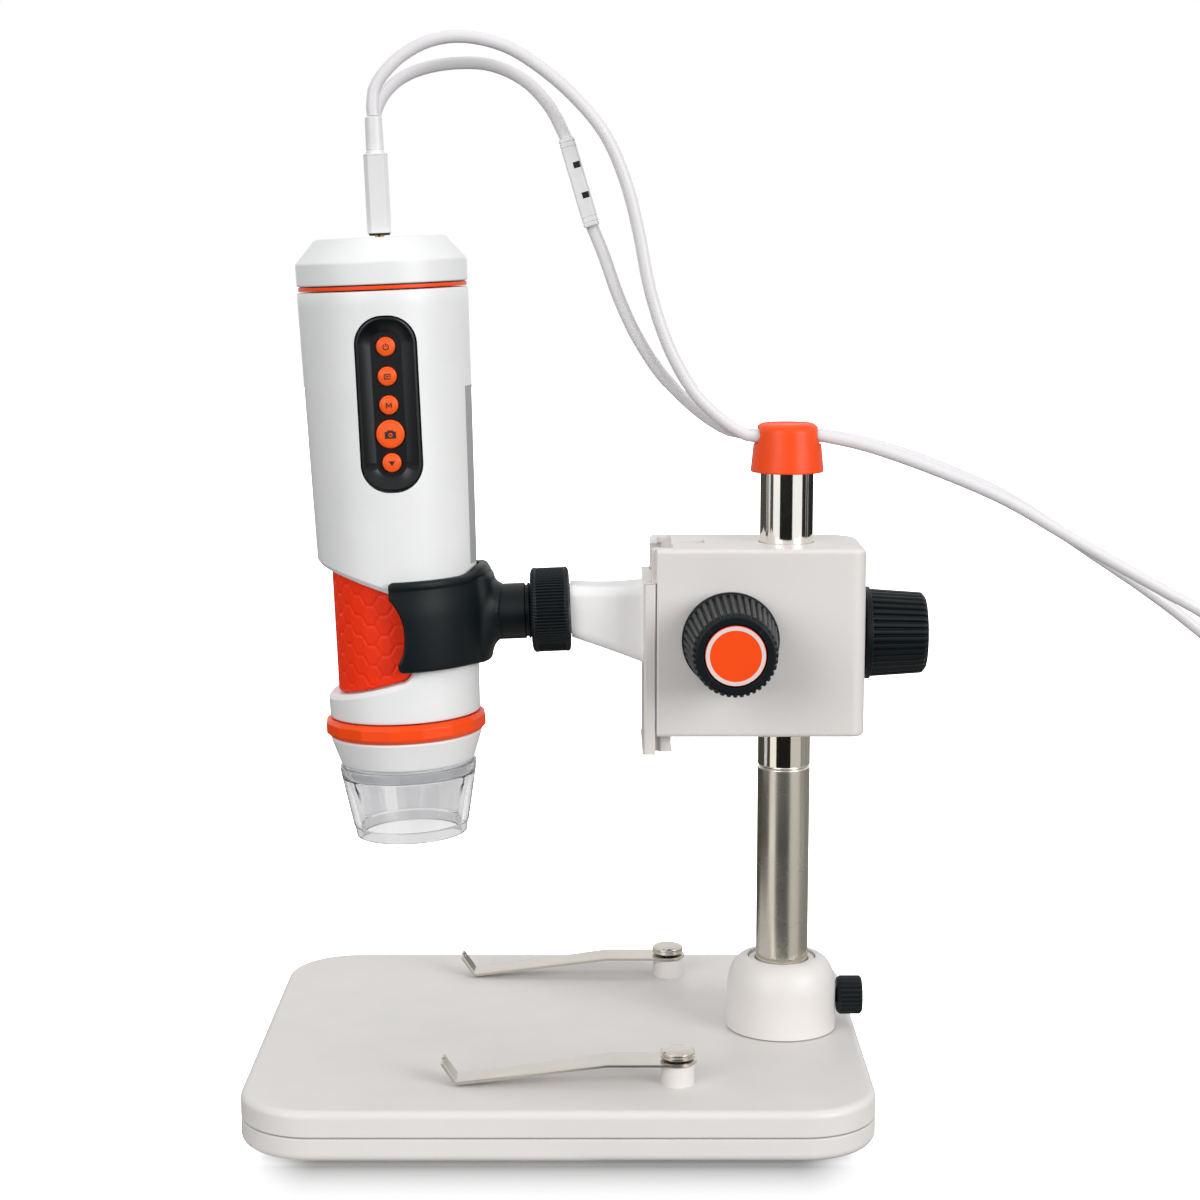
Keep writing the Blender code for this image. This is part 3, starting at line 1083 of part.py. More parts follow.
def build_plugs(scope, white):
    """The two moulded plugs in the cap's ports, each with its nose and strain relief."""
    tips = {}
    for name, side, length in (("front", -1, PLUG_FRONT_LENGTH), ("rear", 1, PLUG_REAR_LENGTH)):
        y = side * PORT_ASIDE
        low = CAP_FACE + PLUG_STAND
        high = low + length
        outline = rounded_box(-PLUG_WIDTH / 2, PLUG_WIDTH / 2, y - PLUG_DEPTH / 2, y + PLUG_DEPTH / 2,
                              (PLUG_CORNER,) * 4, 2)
        plug = piece(f"plug_{name}", prism(outline, low, high), white, scope)
        nose = box(-PORT_DEPTH / 2, PORT_DEPTH / 2, y - PORT_LENGTH / 2, y + PORT_LENGTH / 2,
                   CAP_FACE - NOSE_SINK, low + OVERRUN)
        join(plug, tool(f"plug_nose_{name}", nose, scope))
        tip = high + RELIEF_LENGTH
        root = high - OVERRUN
        relief = [(0, root), (RELIEF_ROOT_RADIUS, root), (RELIEF_TIP_RADIUS, tip), (0, tip)]
        join(plug, tool(f"plug_relief_{name}", turned(relief, SIDES_SMALL), scope, (0, y, 0)))
        tips[name] = [
            scope_point(0, y, tip + CLEARANCE), scope_point(0, y, tip + CLEARANCE + 2 * LEAD_RADIUS),
        ]
    return tips


def from_post(route):
    return [POST + Vector(point) for point in route]


def coil_start(place, side):
    """Where a coil's outer turn begins, on the floor, running towards +X."""
    outer = COIL_RADIUS + COIL_PITCH * (COIL_TURNS - 0.5) / 4
    return Vector((POST_X + place[0], place[1] - side * outer, LEAD_RADIUS + CLEARANCE)), outer


def coil_points(place, side):
    """Turns that spiral in on the floor, climb a layer in half a turn and spiral out again."""
    start, outer = coil_start(place, side)
    centre = start + Vector((0, side * outer, 0))
    spiral = (COIL_TURNS - 0.5) / 2
    count = round(COIL_TURNS * COIL_LOOP_POINTS)
    points = []
    for i in range(count + 1):
        turn = i / COIL_LOOP_POINTS
        climb = min(max(turn - spiral, 0) / 0.5, 1)
        inward = min(turn, spiral) - max(turn - spiral - 0.5, 0)
        radius = outer - COIL_PITCH * inward
        angle = side * (math.tau * turn - math.pi / 2)
        level = COIL_LAYER_STEP * climb * climb * (3 - 2 * climb)
        points.append(centre + Vector((radius * math.cos(angle), radius * math.sin(angle), level)))
    low = CLEARANCE + CONNECTOR_HEIGHT / 2
    last = points[-1]
    steps = 6
    for i in range(1, steps + 1):
        share = i / steps
        drop = share * share * (3 - 2 * share)
        points.append(Vector((last.x + COIL_TAIL * share, last.y, last.z + (low - last.z) * drop)))
    return points


def least_gap(points):
    """The least clear distance between turns of a coil, from its points."""
    places = np.array([tuple(point) for point in points])
    skip = round(COIL_LOOP_POINTS / 3)
    nearest = min(
        np.linalg.norm(places[i + skip:] - places[i], axis=1).min() for i in range(len(places) - skip)
    )
    return nearest - 2 * LEAD_RADIUS


def build_module(white):
    """The small inline module on the rear lead, lying along the lead."""
    top, bottom = from_post((MODULE_TOP, MODULE_BOTTOM))
    along = bottom - top
    turn = along.to_track_quat("Z", "X").to_matrix()
    outline = rounded_box(-MODULE_WIDTH / 2, MODULE_WIDTH / 2, -MODULE_DEPTH / 2, MODULE_DEPTH / 2,
                          (PLUG_CORNER,) * 4, 2)
    shape = prism(outline, 0, along.length)
    bmesh.ops.rotate(shape, verts=shape.verts, matrix=turn)
    bmesh.ops.translate(shape, verts=shape.verts, vec=top)
    piece("inline_module", shape, white)
    return top - along.normalized() * CLEARANCE, bottom + along.normalized() * CLEARANCE


def build_connector(name, start, shell_width, shell_height, white):
    """A connector lying on the floor along +X, its relief towards the lead."""
    root = start.x + CLEARANCE
    back = root + CONNECTOR_RELIEF_LENGTH
    front = back + CONNECTOR_LENGTH
    y, z = start.y, start.z
    half = CONNECTOR_WIDTH / 2
    body = box(back, front, y - half, y + half, z - CONNECTOR_HEIGHT / 2, z + CONNECTOR_HEIGHT / 2)
    made = piece(name, body, white)
    shell = box(front - OVERRUN, front + CONNECTOR_SHELL_LENGTH, y - shell_width / 2, y + shell_width / 2,
                z - shell_height / 2, z + shell_height / 2)
    join(made, tool(f"{name}_shell", shell))
    relief = [
        (0, 0), (CONNECTOR_RELIEF_TIP, 0), (CONNECTOR_RELIEF_ROOT, CONNECTOR_RELIEF_LENGTH + OVERRUN),
        (0, CONNECTOR_RELIEF_LENGTH + OVERRUN),
    ]
    join(made, tool(f"{name}_relief", along_arm(turned(relief, SIDES_SMALL)), place=(root, y, z)))
    return made


def build_leads(tips, white):
    """Both leads: the arch from plug to post cap, the drop to the floor, the coil and its connector."""
    spacing = 2 * LEAD_RADIUS * LEAD_RING_SPACING
    module_top, module_bottom = build_module(white)
    channel = {
        name: from_post([(x, side * LEAD_ASIDE, CHANNEL_AXIS_HEIGHT) for x in (
            -CAP_BOTTOM_RADIUS, -CAP_BOTTOM_RADIUS / 2, -CLEARANCE / 2)])
        for name, side in (("front", -1), ("rear", 1))
    }
    runs = {
        "lead_front_arch": tips["front"] + from_post(FRONT_ARCH) + channel["front"],
        "lead_rear_upper": tips["rear"] + from_post(REAR_UPPER) + [module_top],
        "lead_rear_lower": [module_bottom] + from_post(REAR_LOWER) + channel["rear"],
    }
    drops = (("front", -1, FRONT_DROP, COIL_FRONT_PLACE), ("rear", 1, REAR_DROP, COIL_REAR_PLACE))
    for name, side, route, place in drops:
        start, _ = coil_start(place, side)
        before = start - Vector((2 * LEAD_RADIUS, 0, 0))
        channel_end = [
            Vector((2 * POST_X - point.x, point.y, point.z)) for point in reversed(channel[name])
        ]
        runs[f"lead_{name}_drop"] = channel_end + from_post(route) + [before, start]
    shells = {
        "front": (USB_SHELL_WIDTH, USB_SHELL_HEIGHT),
        "rear": (HDMI_SHELL_WIDTH, HDMI_SHELL_HEIGHT),
    }
    lengths = {}
    for name, route in runs.items():
        points = smooth_points(route, spacing)
        lengths[name] = length_of(points)
        cord(name, points, white)
    for name, side, _, place in drops:
        points = coil_points(place, side)
        points[0] = points[0] + Vector((CLEARANCE, 0, 0))
        lengths[f"coil_{name}"] = length_of(points)
        cord(f"coil_{name}", points, white, 1)
        print(f"coil_{name}: least gap between turns {least_gap(points) * 1000:.2f} mm")
        build_connector(f"connector_{name}", points[-1], *shells[name], white)
    for name, length in lengths.items():
        print(f"{name}: {length * 1000:.0f} mm")


def main():
    clear_scene()
    white = finish("stand_white_plastic", WHITE, 0.35)
    head_white = finish("head_white_plastic", HEAD_WHITE, 0.35)
    charcoal = finish("charcoal_plastic", CHARCOAL, 0.45)
    orange = finish("orange_plastic", ORANGE, 0.4)
    grip_orange = finish("orange_rubber", GRIP_ORANGE, 0.7)
    nickel = finish("satin_nickel", NICKEL, 0.3, 1.0)
    chrome = finish("bright_chrome", STEEL, 0.08, 1.0)
    steel = finish("steel", STEEL, 0.35, 1.0)
    brass = finish("brass", BRASS, 0.35, 1.0)
    rubber = finish("black_rubber", BLACK, 0.8)
    black = finish("black_metal", BLACK, 0.5)
    green = finish("circuit_board", BOARD_GREEN, 0.5)
    clear = finish("clear_plastic", CLEAR, 0.05, 0.0, 1.0)
    cord_white = finish("cord_white", WHITE, 0.5)

    build_base(white, rubber, steel)
    build_post(white, orange, nickel, chrome)
    build_post_screw(charcoal)
    build_clips(nickel)
    swivel = build_housing(white, charcoal, steel, brass)
    build_focus_drive(swivel, charcoal, orange, steel)
    arm_axis = build_carriage(swivel, white, brass, charcoal)
    tilt = build_holder(arm_axis, charcoal)
    scope = empty("microscope_axis", (0, 0, 0), tilt, (0, 0, MICROSCOPE_TURN))
    build_body(scope, head_white, grip_orange, orange)
    build_buttons(scope, charcoal, orange, green)
    build_optics(scope, head_white, orange, black, clear, green, clear)
    tips = build_plugs(scope, cord_white)
    build_leads(tips, cord_white)


main()
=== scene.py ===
"""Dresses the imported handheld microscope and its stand: finishes, detailed surfaces, leads, floor,
lights, camera.

Metres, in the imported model's frame: +Z up, the microscope at -X, its buttons towards -Y.
"""
import logging
import math
from collections.abc import Callable, Sequence
from dataclasses import dataclass
from enum import Enum

import bmesh
import bpy
import numpy as np
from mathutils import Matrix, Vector


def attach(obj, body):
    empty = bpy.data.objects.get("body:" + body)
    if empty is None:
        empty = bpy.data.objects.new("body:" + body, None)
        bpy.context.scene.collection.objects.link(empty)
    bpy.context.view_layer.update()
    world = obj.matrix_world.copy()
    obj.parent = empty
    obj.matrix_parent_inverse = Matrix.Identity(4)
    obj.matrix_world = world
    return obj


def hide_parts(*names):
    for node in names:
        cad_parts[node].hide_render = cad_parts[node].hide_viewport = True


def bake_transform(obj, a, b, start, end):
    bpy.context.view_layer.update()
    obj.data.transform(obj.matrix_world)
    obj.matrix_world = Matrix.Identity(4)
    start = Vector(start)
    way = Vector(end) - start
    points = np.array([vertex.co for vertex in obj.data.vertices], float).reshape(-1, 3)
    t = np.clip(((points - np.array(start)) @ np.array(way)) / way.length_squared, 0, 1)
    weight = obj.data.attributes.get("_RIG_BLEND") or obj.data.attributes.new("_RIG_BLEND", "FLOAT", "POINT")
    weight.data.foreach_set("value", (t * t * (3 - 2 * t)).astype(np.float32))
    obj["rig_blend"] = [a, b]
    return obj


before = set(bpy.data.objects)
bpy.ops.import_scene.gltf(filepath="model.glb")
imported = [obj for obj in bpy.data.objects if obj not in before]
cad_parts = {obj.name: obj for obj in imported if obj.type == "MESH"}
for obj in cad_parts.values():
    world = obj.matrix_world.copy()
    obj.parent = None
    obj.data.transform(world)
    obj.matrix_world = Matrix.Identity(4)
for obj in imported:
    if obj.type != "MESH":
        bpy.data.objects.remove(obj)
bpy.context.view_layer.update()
LOG = logging.getLogger("scene")
Array = np.ndarray
Faces = list[tuple[int, ...]]
Shape = tuple[Array, Faces]
Law = Callable[[Array, Array], Array]
MM = 0.001
# Points closer than this are one, and an edge that turns more than so many degrees stays crisp
WELD_GAP = 0.0002 * MM
CRISP = 32.0

# Where the post, the base's top and the crossing of the arm's axis with the microscope's stand
POST_X = 0.048
BASE_TOP = 0.013
HEAD = np.array((-0.04734, 0.0, 0.11825))
HEAD_LEAN = math.radians(2.4)
MICROSCOPE_TURN = math.radians(5.0)
# From the post's axis and the base's top: the drive shaft, the height lock and the post's screw
DRIVE = (-14.6 * MM, 0, 102.2 * MM)
LOCK = (0, 0, 101 * MM)
SCREW = (0, 0, 8 * MM)
LEAD_RADIUS = 1.5 * MM
# How far apart the points of the leads' lines stand, on the arches and on the way down
ARCH_STEP = 2.0 * MM
FALL_STEP = 4.0 * MM


# Places: where a piece's own axes stand in the model's frame


@dataclass(frozen=True)
class Place:
    """An origin with three unit axes, which carries local points into the model's frame."""

    origin: tuple[float, float, float] = (0.0, 0.0, 0.0)
    turn: tuple[tuple[float, ...], ...] = ((1, 0, 0), (0, 1, 0), (0, 0, 1))

    def out(self, points: Array) -> Array:
        """Each local point times the axes, plus the origin."""
        return np.asarray(points, float) @ np.array(self.turn, float) + np.array(self.origin)

    def at(self, x: float, y: float, z: float) -> "Place":
        """The same axes about another local point."""
        return Place(tuple(self.out(np.array((x, y, z)))), self.turn)

    def faced(self, axis: str) -> "Place":
        """A place whose local Z runs along this one's X, its Y or the opposite of its Y."""
        x, y, z = np.array(self.turn, float)
        turns = {"+X": (y, z, x), "-Y": (x, z, -y), "+Y": (-x, z, y)}
        return Place(self.origin, tuple(map(tuple, turns[axis])))


def leaning_place() -> Place:
    """The arm joint's axes: X along the arm towards the post, tilted up by the head's lean."""
    c, s = math.cos(HEAD_LEAN), math.sin(HEAD_LEAN)
    return Place(tuple(HEAD), ((c, 0, s), (0, 1, 0), (-s, 0, c)))


def microscope_place() -> Place:
    """The microscope's axes: the arm's, turned a little about the microscope's own length."""
    c, s = math.cos(MICROSCOPE_TURN), math.sin(MICROSCOPE_TURN)
    x, y, z = np.array(leaning_place().turn)
    return Place(tuple(HEAD), tuple(map(tuple, (c * x + s * y, c * y - s * x, z))))


WORLD = Place()
POST = Place((POST_X, 0, BASE_TOP))
ARM = leaning_place()
SCOPE = microscope_place()


# Lines, surfaces and the meshes made from them


# Turns in radians below which a corner is left, and above which its arc is a half circle; the share
# of a side that an arc may take, and how far outside its ends the guard points stand
STRAIGHT_ENOUGH = 0.02
HALF_CIRCLE = 3.1
SIDE_SHARE = 0.46
GUARD_SHARE = 0.08


def rounded(points: Sequence[Sequence[float]], radii: float | Sequence[float], closed: bool = False,
            steps: int = 5) -> Array:
    """A polyline with its corners turned into arcs.

    An arc of radius r touches both sides at r times the tangent of half the turn from the corner,
    and a guard point stands just outside each end of it, which keeps the flat beside it evenly
    shaded.

    Args:
        points: The corners.
        radii: One radius for all, or one for each corner.
        closed: Whether the last corner joins the first.
        steps: Segments in each arc.

    Returns:
        The new points, one row each.
    """
    corners = np.asarray(points, float)
    count = len(corners)
    wanted = np.broadcast_to(np.asarray(radii, float), (count,))
    made: list[Array] = []
    for i, corner in enumerate(corners):
        if not closed and i in (0, count - 1) or wanted[i] <= 0:
            made.append(corner[None])
            continue
        sides = [corners[i - 1] - corner, corners[(i + 1) % count] - corner]
        lengths = [np.linalg.norm(side) for side in sides]
        before, after = (side / length for side, length in zip(sides, lengths))
        between = math.acos(float(np.clip(before @ after, -1, 1)))
        if math.pi - between < STRAIGHT_ENOUGH:
            made.append(corner[None])
            continue
        reach = min(wanted[i] / math.tan(between / 2), SIDE_SHARE * min(lengths))
        radius = reach * math.tan(between / 2)
        middle = (before + after) / np.linalg.norm(before + after)
        centre = corner + middle * radius / math.sin(between / 2)
        start, end = corner + before * reach - centre, corner + after * reach - centre
        sweep = math.pi - between
        share = np.linspace(0, 1, steps + 1)[:, None]
        arc = centre + (np.sin((1 - share) * sweep) * start
                        + np.sin(share * sweep) * end) / math.sin(sweep)
        if sweep > HALF_CIRCLE:
            arc = centre + start * np.cos(share * sweep) + end * np.sin(share * sweep)
        guard = GUARD_SHARE * reach
        made.append(np.vstack([corner + before * (reach + guard), arc,
                               corner + after * (reach + guard)]))
    return np.vstack(made)


def box_outline(x0: float, x1: float, y0: float, y1: float, radii: float | Sequence[float],
                steps: int = 6) -> Array:
    """A rectangle with rounded corners, counter-clockwise from (x0, y0)."""
    return rounded([(x0, y0), (x1, y0), (x1, y1), (x0, y1)], radii, True, steps)


def inset(outline: Array, distance: float) -> Array:
    """A closed counter-clockwise outline moved inwards: each point along the mean of its sides'
    normals, divided by the cosine of half the turn between them."""
    ahead = np.roll(outline, -1, 0) - outline
    ahead /= np.maximum(np.linalg.norm(ahead, axis=1, keepdims=True), 1e-12)
    inward = np.stack([-ahead[:, 1], ahead[:, 0]], 1)
    mean = inward + np.roll(inward, 1, 0)
    mean /= np.maximum((mean * inward).sum(1, keepdims=True), 0.4)
    return outline + mean * distance


def grid_faces(rows: int, columns: int, wrap_rows: bool = False,
               wrap_columns: bool = True) -> Faces:
    """Quads between neighbouring rows and columns of a grid of points that is stored row by row."""
    i, j = np.meshgrid(np.arange(rows if wrap_rows else rows - 1),
                       np.arange(columns if wrap_columns else columns - 1), indexing="ij")
    i2, j2 = (i + 1) % rows, (j + 1) % columns
    quads = np.stack([i * columns + j, i * columns + j2, i2 * columns + j2, i2 * columns + j], -1)
    return [tuple(map(int, quad)) for quad in quads.reshape(-1, 4)]


def lofted(rings: Array, capped: bool = True, wrap: bool = False) -> Shape:
    """Rings of equal counts joined by quads, the first and the last filled unless wrap closes them
    on each other."""
    rows, columns = rings.shape[:2]
    faces = grid_faces(rows, columns, wrap)
    if capped and not wrap:
        faces.append(tuple(range(columns - 1, -1, -1)))
        faces.append(tuple((rows - 1) * columns + j for j in range(columns)))
    return rings.reshape(-1, 3), faces


def stacked(outline: Array, levels: Sequence[tuple[float, float]]) -> Array:
    """Rings of one outline: at each level it is drawn in by a distance and stands at a height."""
    return np.array([np.column_stack([inset(outline, d), np.full(len(outline), z)])
                     for d, z in levels])


def slab(outline: Array, low: float, high: float, edge_low: float = 0.0, edge_high: float = 0.0,
         steps: int = 4) -> Shape:
    """An outline raised from low to high with rounded rims: a ring at turn a is drawn in by
    r(1 - cos a) and stands r(1 - sin a) inside the end. A last ring on each end keeps the flat
    evenly shaded."""
    turns = np.linspace(0, math.pi / 2, steps + 1)
    levels: list[tuple[float, float]] = []
    if edge_low > 0:
        levels = [(edge_low * 1.15, low)]
        levels += [(edge_low * (1 - math.cos(a)), low + edge_low * (1 - math.sin(a)))
                   for a in turns[::-1]]
        levels.append((0, low + edge_low * 1.1))
    else:
        levels.append((0, low))
    if edge_high > 0:
        levels.append((0, high - edge_high * 1.1))
        levels += [(edge_high * (1 - math.cos(a)), high - edge_high * (1 - math.sin(a)))
                   for a in turns]
        levels.append((edge_high * 1.15, high))
    else:
        levels.append((0, high))
    return lofted(stacked(outline, levels))


def turned(profile: Array, sides: int = 96, radial: Law | None = None,
           wrap: bool = False) -> Shape:
    """A profile of (radius, height) carried round Z: the point at angle a stands at
    (r cos a, r sin a, z).

    Args:
        profile: Radii and heights, from one end on the axis to the other, or a closed loop with
            wrap.
        sides: Steps in a turn.
        radial: Gives the radius again from the radii and the angles, for flutes and facets.
        wrap: Whether the profile is a closed loop.

    Returns:
        Points and faces.
    """
    angles = (np.arange(sides) + 0.5) * math.tau / sides
    radii = np.repeat(profile[:, :1], sides, 1)
    if radial is not None:
        radii = radial(radii, angles[None, :])
    rings = np.stack([radii * np.cos(angles), radii * np.sin(angles),
                      np.repeat(profile[:, 1:2], sides, 1)], -1)
    return lofted(rings, capped=False, wrap=wrap)


def tube(path: Array, radius: float, across: Sequence[float] = (0, 1, 0),
         sides: int = 20) -> Shape:
    """A round tube along a path: each ring stands square to the path, and its first spoke is the
    part of a fixed direction that is square to the path too. Both ends are filled."""
    ahead = np.gradient(path, axis=0)
    ahead /= np.linalg.norm(ahead, axis=1, keepdims=True)
    side = np.array(across, float) - ahead * (ahead @ np.array(across, float))[:, None]
    side /= np.linalg.norm(side, axis=1, keepdims=True)
    up = np.cross(ahead, side)
    angles = np.arange(sides) * math.tau / sides
    c, s = (law(angles)[None, :, None] for law in (np.cos, np.sin))
    spokes = side[:, None] * c + up[:, None] * s
    return lofted(path[:, None] + spokes * radius)


def smooth_path(route: Sequence[Sequence[float]], spacing: float) -> Array:
    """Even points on the Catmull-Rom curve through a route's points: each stretch is a cubic whose
    slope at a point is half the step between that point's two neighbours."""
    knots = np.asarray(route, float)
    ends = np.vstack([2 * knots[0] - knots[1], knots, 2 * knots[-1] - knots[-2]])
    t = np.linspace(0, 1, 20, endpoint=False)[None, :, None]
    p0, p1, p2, p3 = (ends[k:len(ends) - 3 + k][:, None] for k in range(4))
    fine = 0.5 * (2 * p1 + (p2 - p0) * t + (2 * p0 - 5 * p1 + 4 * p2 - p3) * t ** 2
                  + (3 * p1 - p0 - 3 * p2 + p3) * t ** 3)
    fine = np.vstack([fine.reshape(-1, 3), knots[-1]])
    walked = np.concatenate([[0], np.cumsum(np.linalg.norm(np.diff(fine, axis=0), axis=1))])
    marks = np.linspace(0, walked[-1], max(2, round(walked[-1] / spacing)) + 1)
    return np.stack([np.interp(marks, walked, fine[:, k]) for k in range(3)], 1)


def length_of(path: Array) -> float:
    """The sum of the steps along a path."""
    return float(np.linalg.norm(np.diff(path, axis=0), axis=1).sum())


def together(*parts: Shape) -> Shape:
    """Several shapes as one, each one's faces counted on from the points before it."""
    points: list[Array] = []
    faces: Faces = []
    start = 0
    for some, these in parts:
        points.append(some)
        faces += [tuple(start + k for k in face) for face in these]
        start += len(some)
    return np.vstack(points), faces


def in_metres(shape: Shape) -> Shape:
    """A shape in millimetres carried to metres."""
    return shape[0] * MM, shape[1]


def island_of(seed: bmesh.types.BMFace, left: set[bmesh.types.BMFace]) -> list[bmesh.types.BMFace]:
    """Takes from the faces left those that share edges, one after another, with the first."""
    found, front = [seed], [seed]
    while front:
        for edge in front.pop().edges:
            for face in edge.link_faces:
                if face in left:
                    left.remove(face)
                    found.append(face)
                    front.append(face)
    return found


def signed_volume(faces: list[bmesh.types.BMFace]) -> float:
    """Six times the volume inside closed faces: the sum of a . (b x c) over each face's fan of
    triangles."""
    total = 0.0
    for face in faces:
        corners = [vert.co for vert in face.verts]
        for one, two in zip(corners[1:], corners[2:]):
            total += corners[0].dot(one.cross(two))
    return total


def weld(data: bpy.types.Mesh) -> None:
    """Joins points that coincide, drops faces with no area and turns every closed island's faces
    outward."""
    work = bmesh.new()
    work.from_mesh(data)
    bmesh.ops.remove_doubles(work, verts=work.verts, dist=WELD_GAP)
    bmesh.ops.dissolve_degenerate(work, dist=WELD_GAP, edges=work.edges)
    bmesh.ops.delete(work, geom=[edge for edge in work.edges if not edge.link_faces],
                     context="EDGES")
    bmesh.ops.recalc_face_normals(work, faces=work.faces)
    left = set(work.faces)
    while left:
        island = island_of(left.pop(), left)
        if signed_volume(island) < 0:
            bmesh.ops.reverse_faces(work, faces=island)
    work.to_mesh(data)
    work.free()


def shade(data: bpy.types.Mesh, sharp: float) -> None:
    """Shades every face smooth but keeps the edges crisp that turn more than so many degrees."""
    data.polygons.foreach_set("use_smooth", np.ones(len(data.polygons), bool))
    data.set_sharp_from_angle(angle=math.radians(sharp))


def mesh_object(name: str, shape: Shape, place: Place = WORLD,
                sharp: float = CRISP) -> bpy.types.Object:
    """A closed mesh object from points and faces, in the model's frame.

    Args:
        name: The piece's name.
        shape: Local points and faces.
        place: Where the local points stand.
        sharp: An edge that turns more than this many degrees stays crisp.

    Returns:
        The linked object, its origin at the model's own.
    """
    points, faces = shape
    data = bpy.data.meshes.new(name)
    data.from_pydata(place.out(points).tolist(), [], faces)
    weld(data)
    shade(data, sharp)
    made = bpy.data.objects.new(name, data)
    bpy.context.scene.collection.objects.link(made)
    return made


def carve(target: bpy.types.Object, cutters: Sequence[bpy.types.Object],
          sharp: float = CRISP) -> bpy.types.Object:
    """Cuts the cutters out of a piece and removes them."""
    for cutter in cutters:
        step = target.modifiers.new("step", "BOOLEAN")
        step.object = cutter
        step.solver = "EXACT"
        step.operation = "DIFFERENCE"
    bpy.context.view_layer.update()
    graph = bpy.context.evaluated_depsgraph_get()
    shape = bpy.data.meshes.new_from_object(target.evaluated_get(graph))
    target.modifiers.clear()
    target.data = shape
    weld(shape)
    shade(shape, sharp)
    for cutter in cutters:
        bpy.data.objects.remove(cutter, do_unlink=True)
    return target


def lathe(name: str, corners: Sequence[Sequence[float]], radii: float | Sequence[float],
          place: Place, sides: int = 96, steps: int = 4, closed: bool = False, sharp: float = CRISP,
          radial: Law | None = None) -> bpy.types.Object:
    """A piece turned round its place's Z from a section with rounded corners.

    Args:
        name: The piece's name.
        corners: The section's radii and heights in millimetres.
        radii: How much its corners are rounded, in millimetres.
        place: Where it stands.
        sides: Steps in a turn.
        steps: Segments in each rounded corner.
        closed: Whether the section is a loop, for a ring, rather than a line that ends on the axis.
        sharp: An edge that turns more than this many degrees stays crisp.
        radial: A law for flutes and facets, as turned() takes it.

    Returns:
        The object.
    """
    section = rounded(corners, radii, closed, steps) * MM
    return mesh_object(name, turned(section, sides, radial, closed), place, sharp)


def drill(name: str, radius: float, low: float, high: float, place: Place,
          sides: int = 48) -> bpy.types.Object:
    """A plain cylinder to cut with; its radius and the heights of its ends are in millimetres."""
    return lathe(name, [(0, low), (radius, low), (radius, high), (0, high)], 0.0, place, sides)


# Finishes, each named for its real material


def linear(colour: str) -> tuple[float, float, float, float]:
    """An sRGB hex colour as linear values: v / 12.92 below 0.04045, else ((v + 0.055) / 1.055) to
    the power 2.4."""
    shares = [int(colour.lstrip("#")[k:k + 2], 16) / 255 for k in (0, 2, 4)]
    red, green, blue = (v / 12.92 if v <= 0.04045 else ((v + 0.055) / 1.055) ** 2.4 for v in shares)
    return red, green, blue, 1.0


def add_node(tree: bpy.types.NodeTree, kind: str, links: dict[str | int, object] | None = None,
             **settings: object) -> bpy.types.Node:
    """Adds a node, sets its properties, and gives its inputs a value or a link from another node's
    socket."""
    node = tree.nodes.new(kind)
    for key, value in settings.items():
        setattr(node, key, value)
    for key, value in (links or {}).items():
        socket = node.inputs[key]
        if isinstance(value, bpy.types.NodeSocket):
            tree.links.new(value, socket)
        else:
            socket.default_value = value
    return node


def sum_of(tree: bpy.types.NodeTree, kind: str, *terms: object) -> bpy.types.NodeSocket:
    """The socket of one sum of values or sockets."""
    return add_node(tree, "ShaderNodeMath", dict(enumerate(terms)), operation=kind).outputs[0]


def ramp_of(tree: bpy.types.NodeTree, value: bpy.types.NodeSocket, start: float, end: float,
            low: float = 0.0, high: float = 1.0, **settings: str) -> bpy.types.NodeSocket:
    """The socket of a value carried from one range, start to end, to another, low to high, and kept
    in it."""
    links = {"Value": value, "From Min": start, "From Max": end, "To Min": low, "To Max": high}
    return add_node(tree, "ShaderNodeMapRange", links, **settings).outputs["Result"]


# How far into a plastic light scatters; the sharpness at which a worn edge's paler colour starts
# and
# ends its rise, and its share there; and how far a roughness drifts either way
SCATTER_DEPTH = 1.5 * MM
WORN_FROM, WORN_TO, WORN_SHARE = 0.53, 0.62, 0.55
LEAST_ROUGHNESS = 0.02
ROUGHNESS_SWING = 0.12


class Texture(Enum):
    """How a surface was made, which decides the pattern in its bump."""

    MOULDED = "fine spark-eroded grain from the mould"
    TURNED = "fine rings from the lathe"
    PLATED = "smooth plating over polished metal"
    CAST = "soft uneven skin"
    EXTRUDED = "smooth skin from the die"


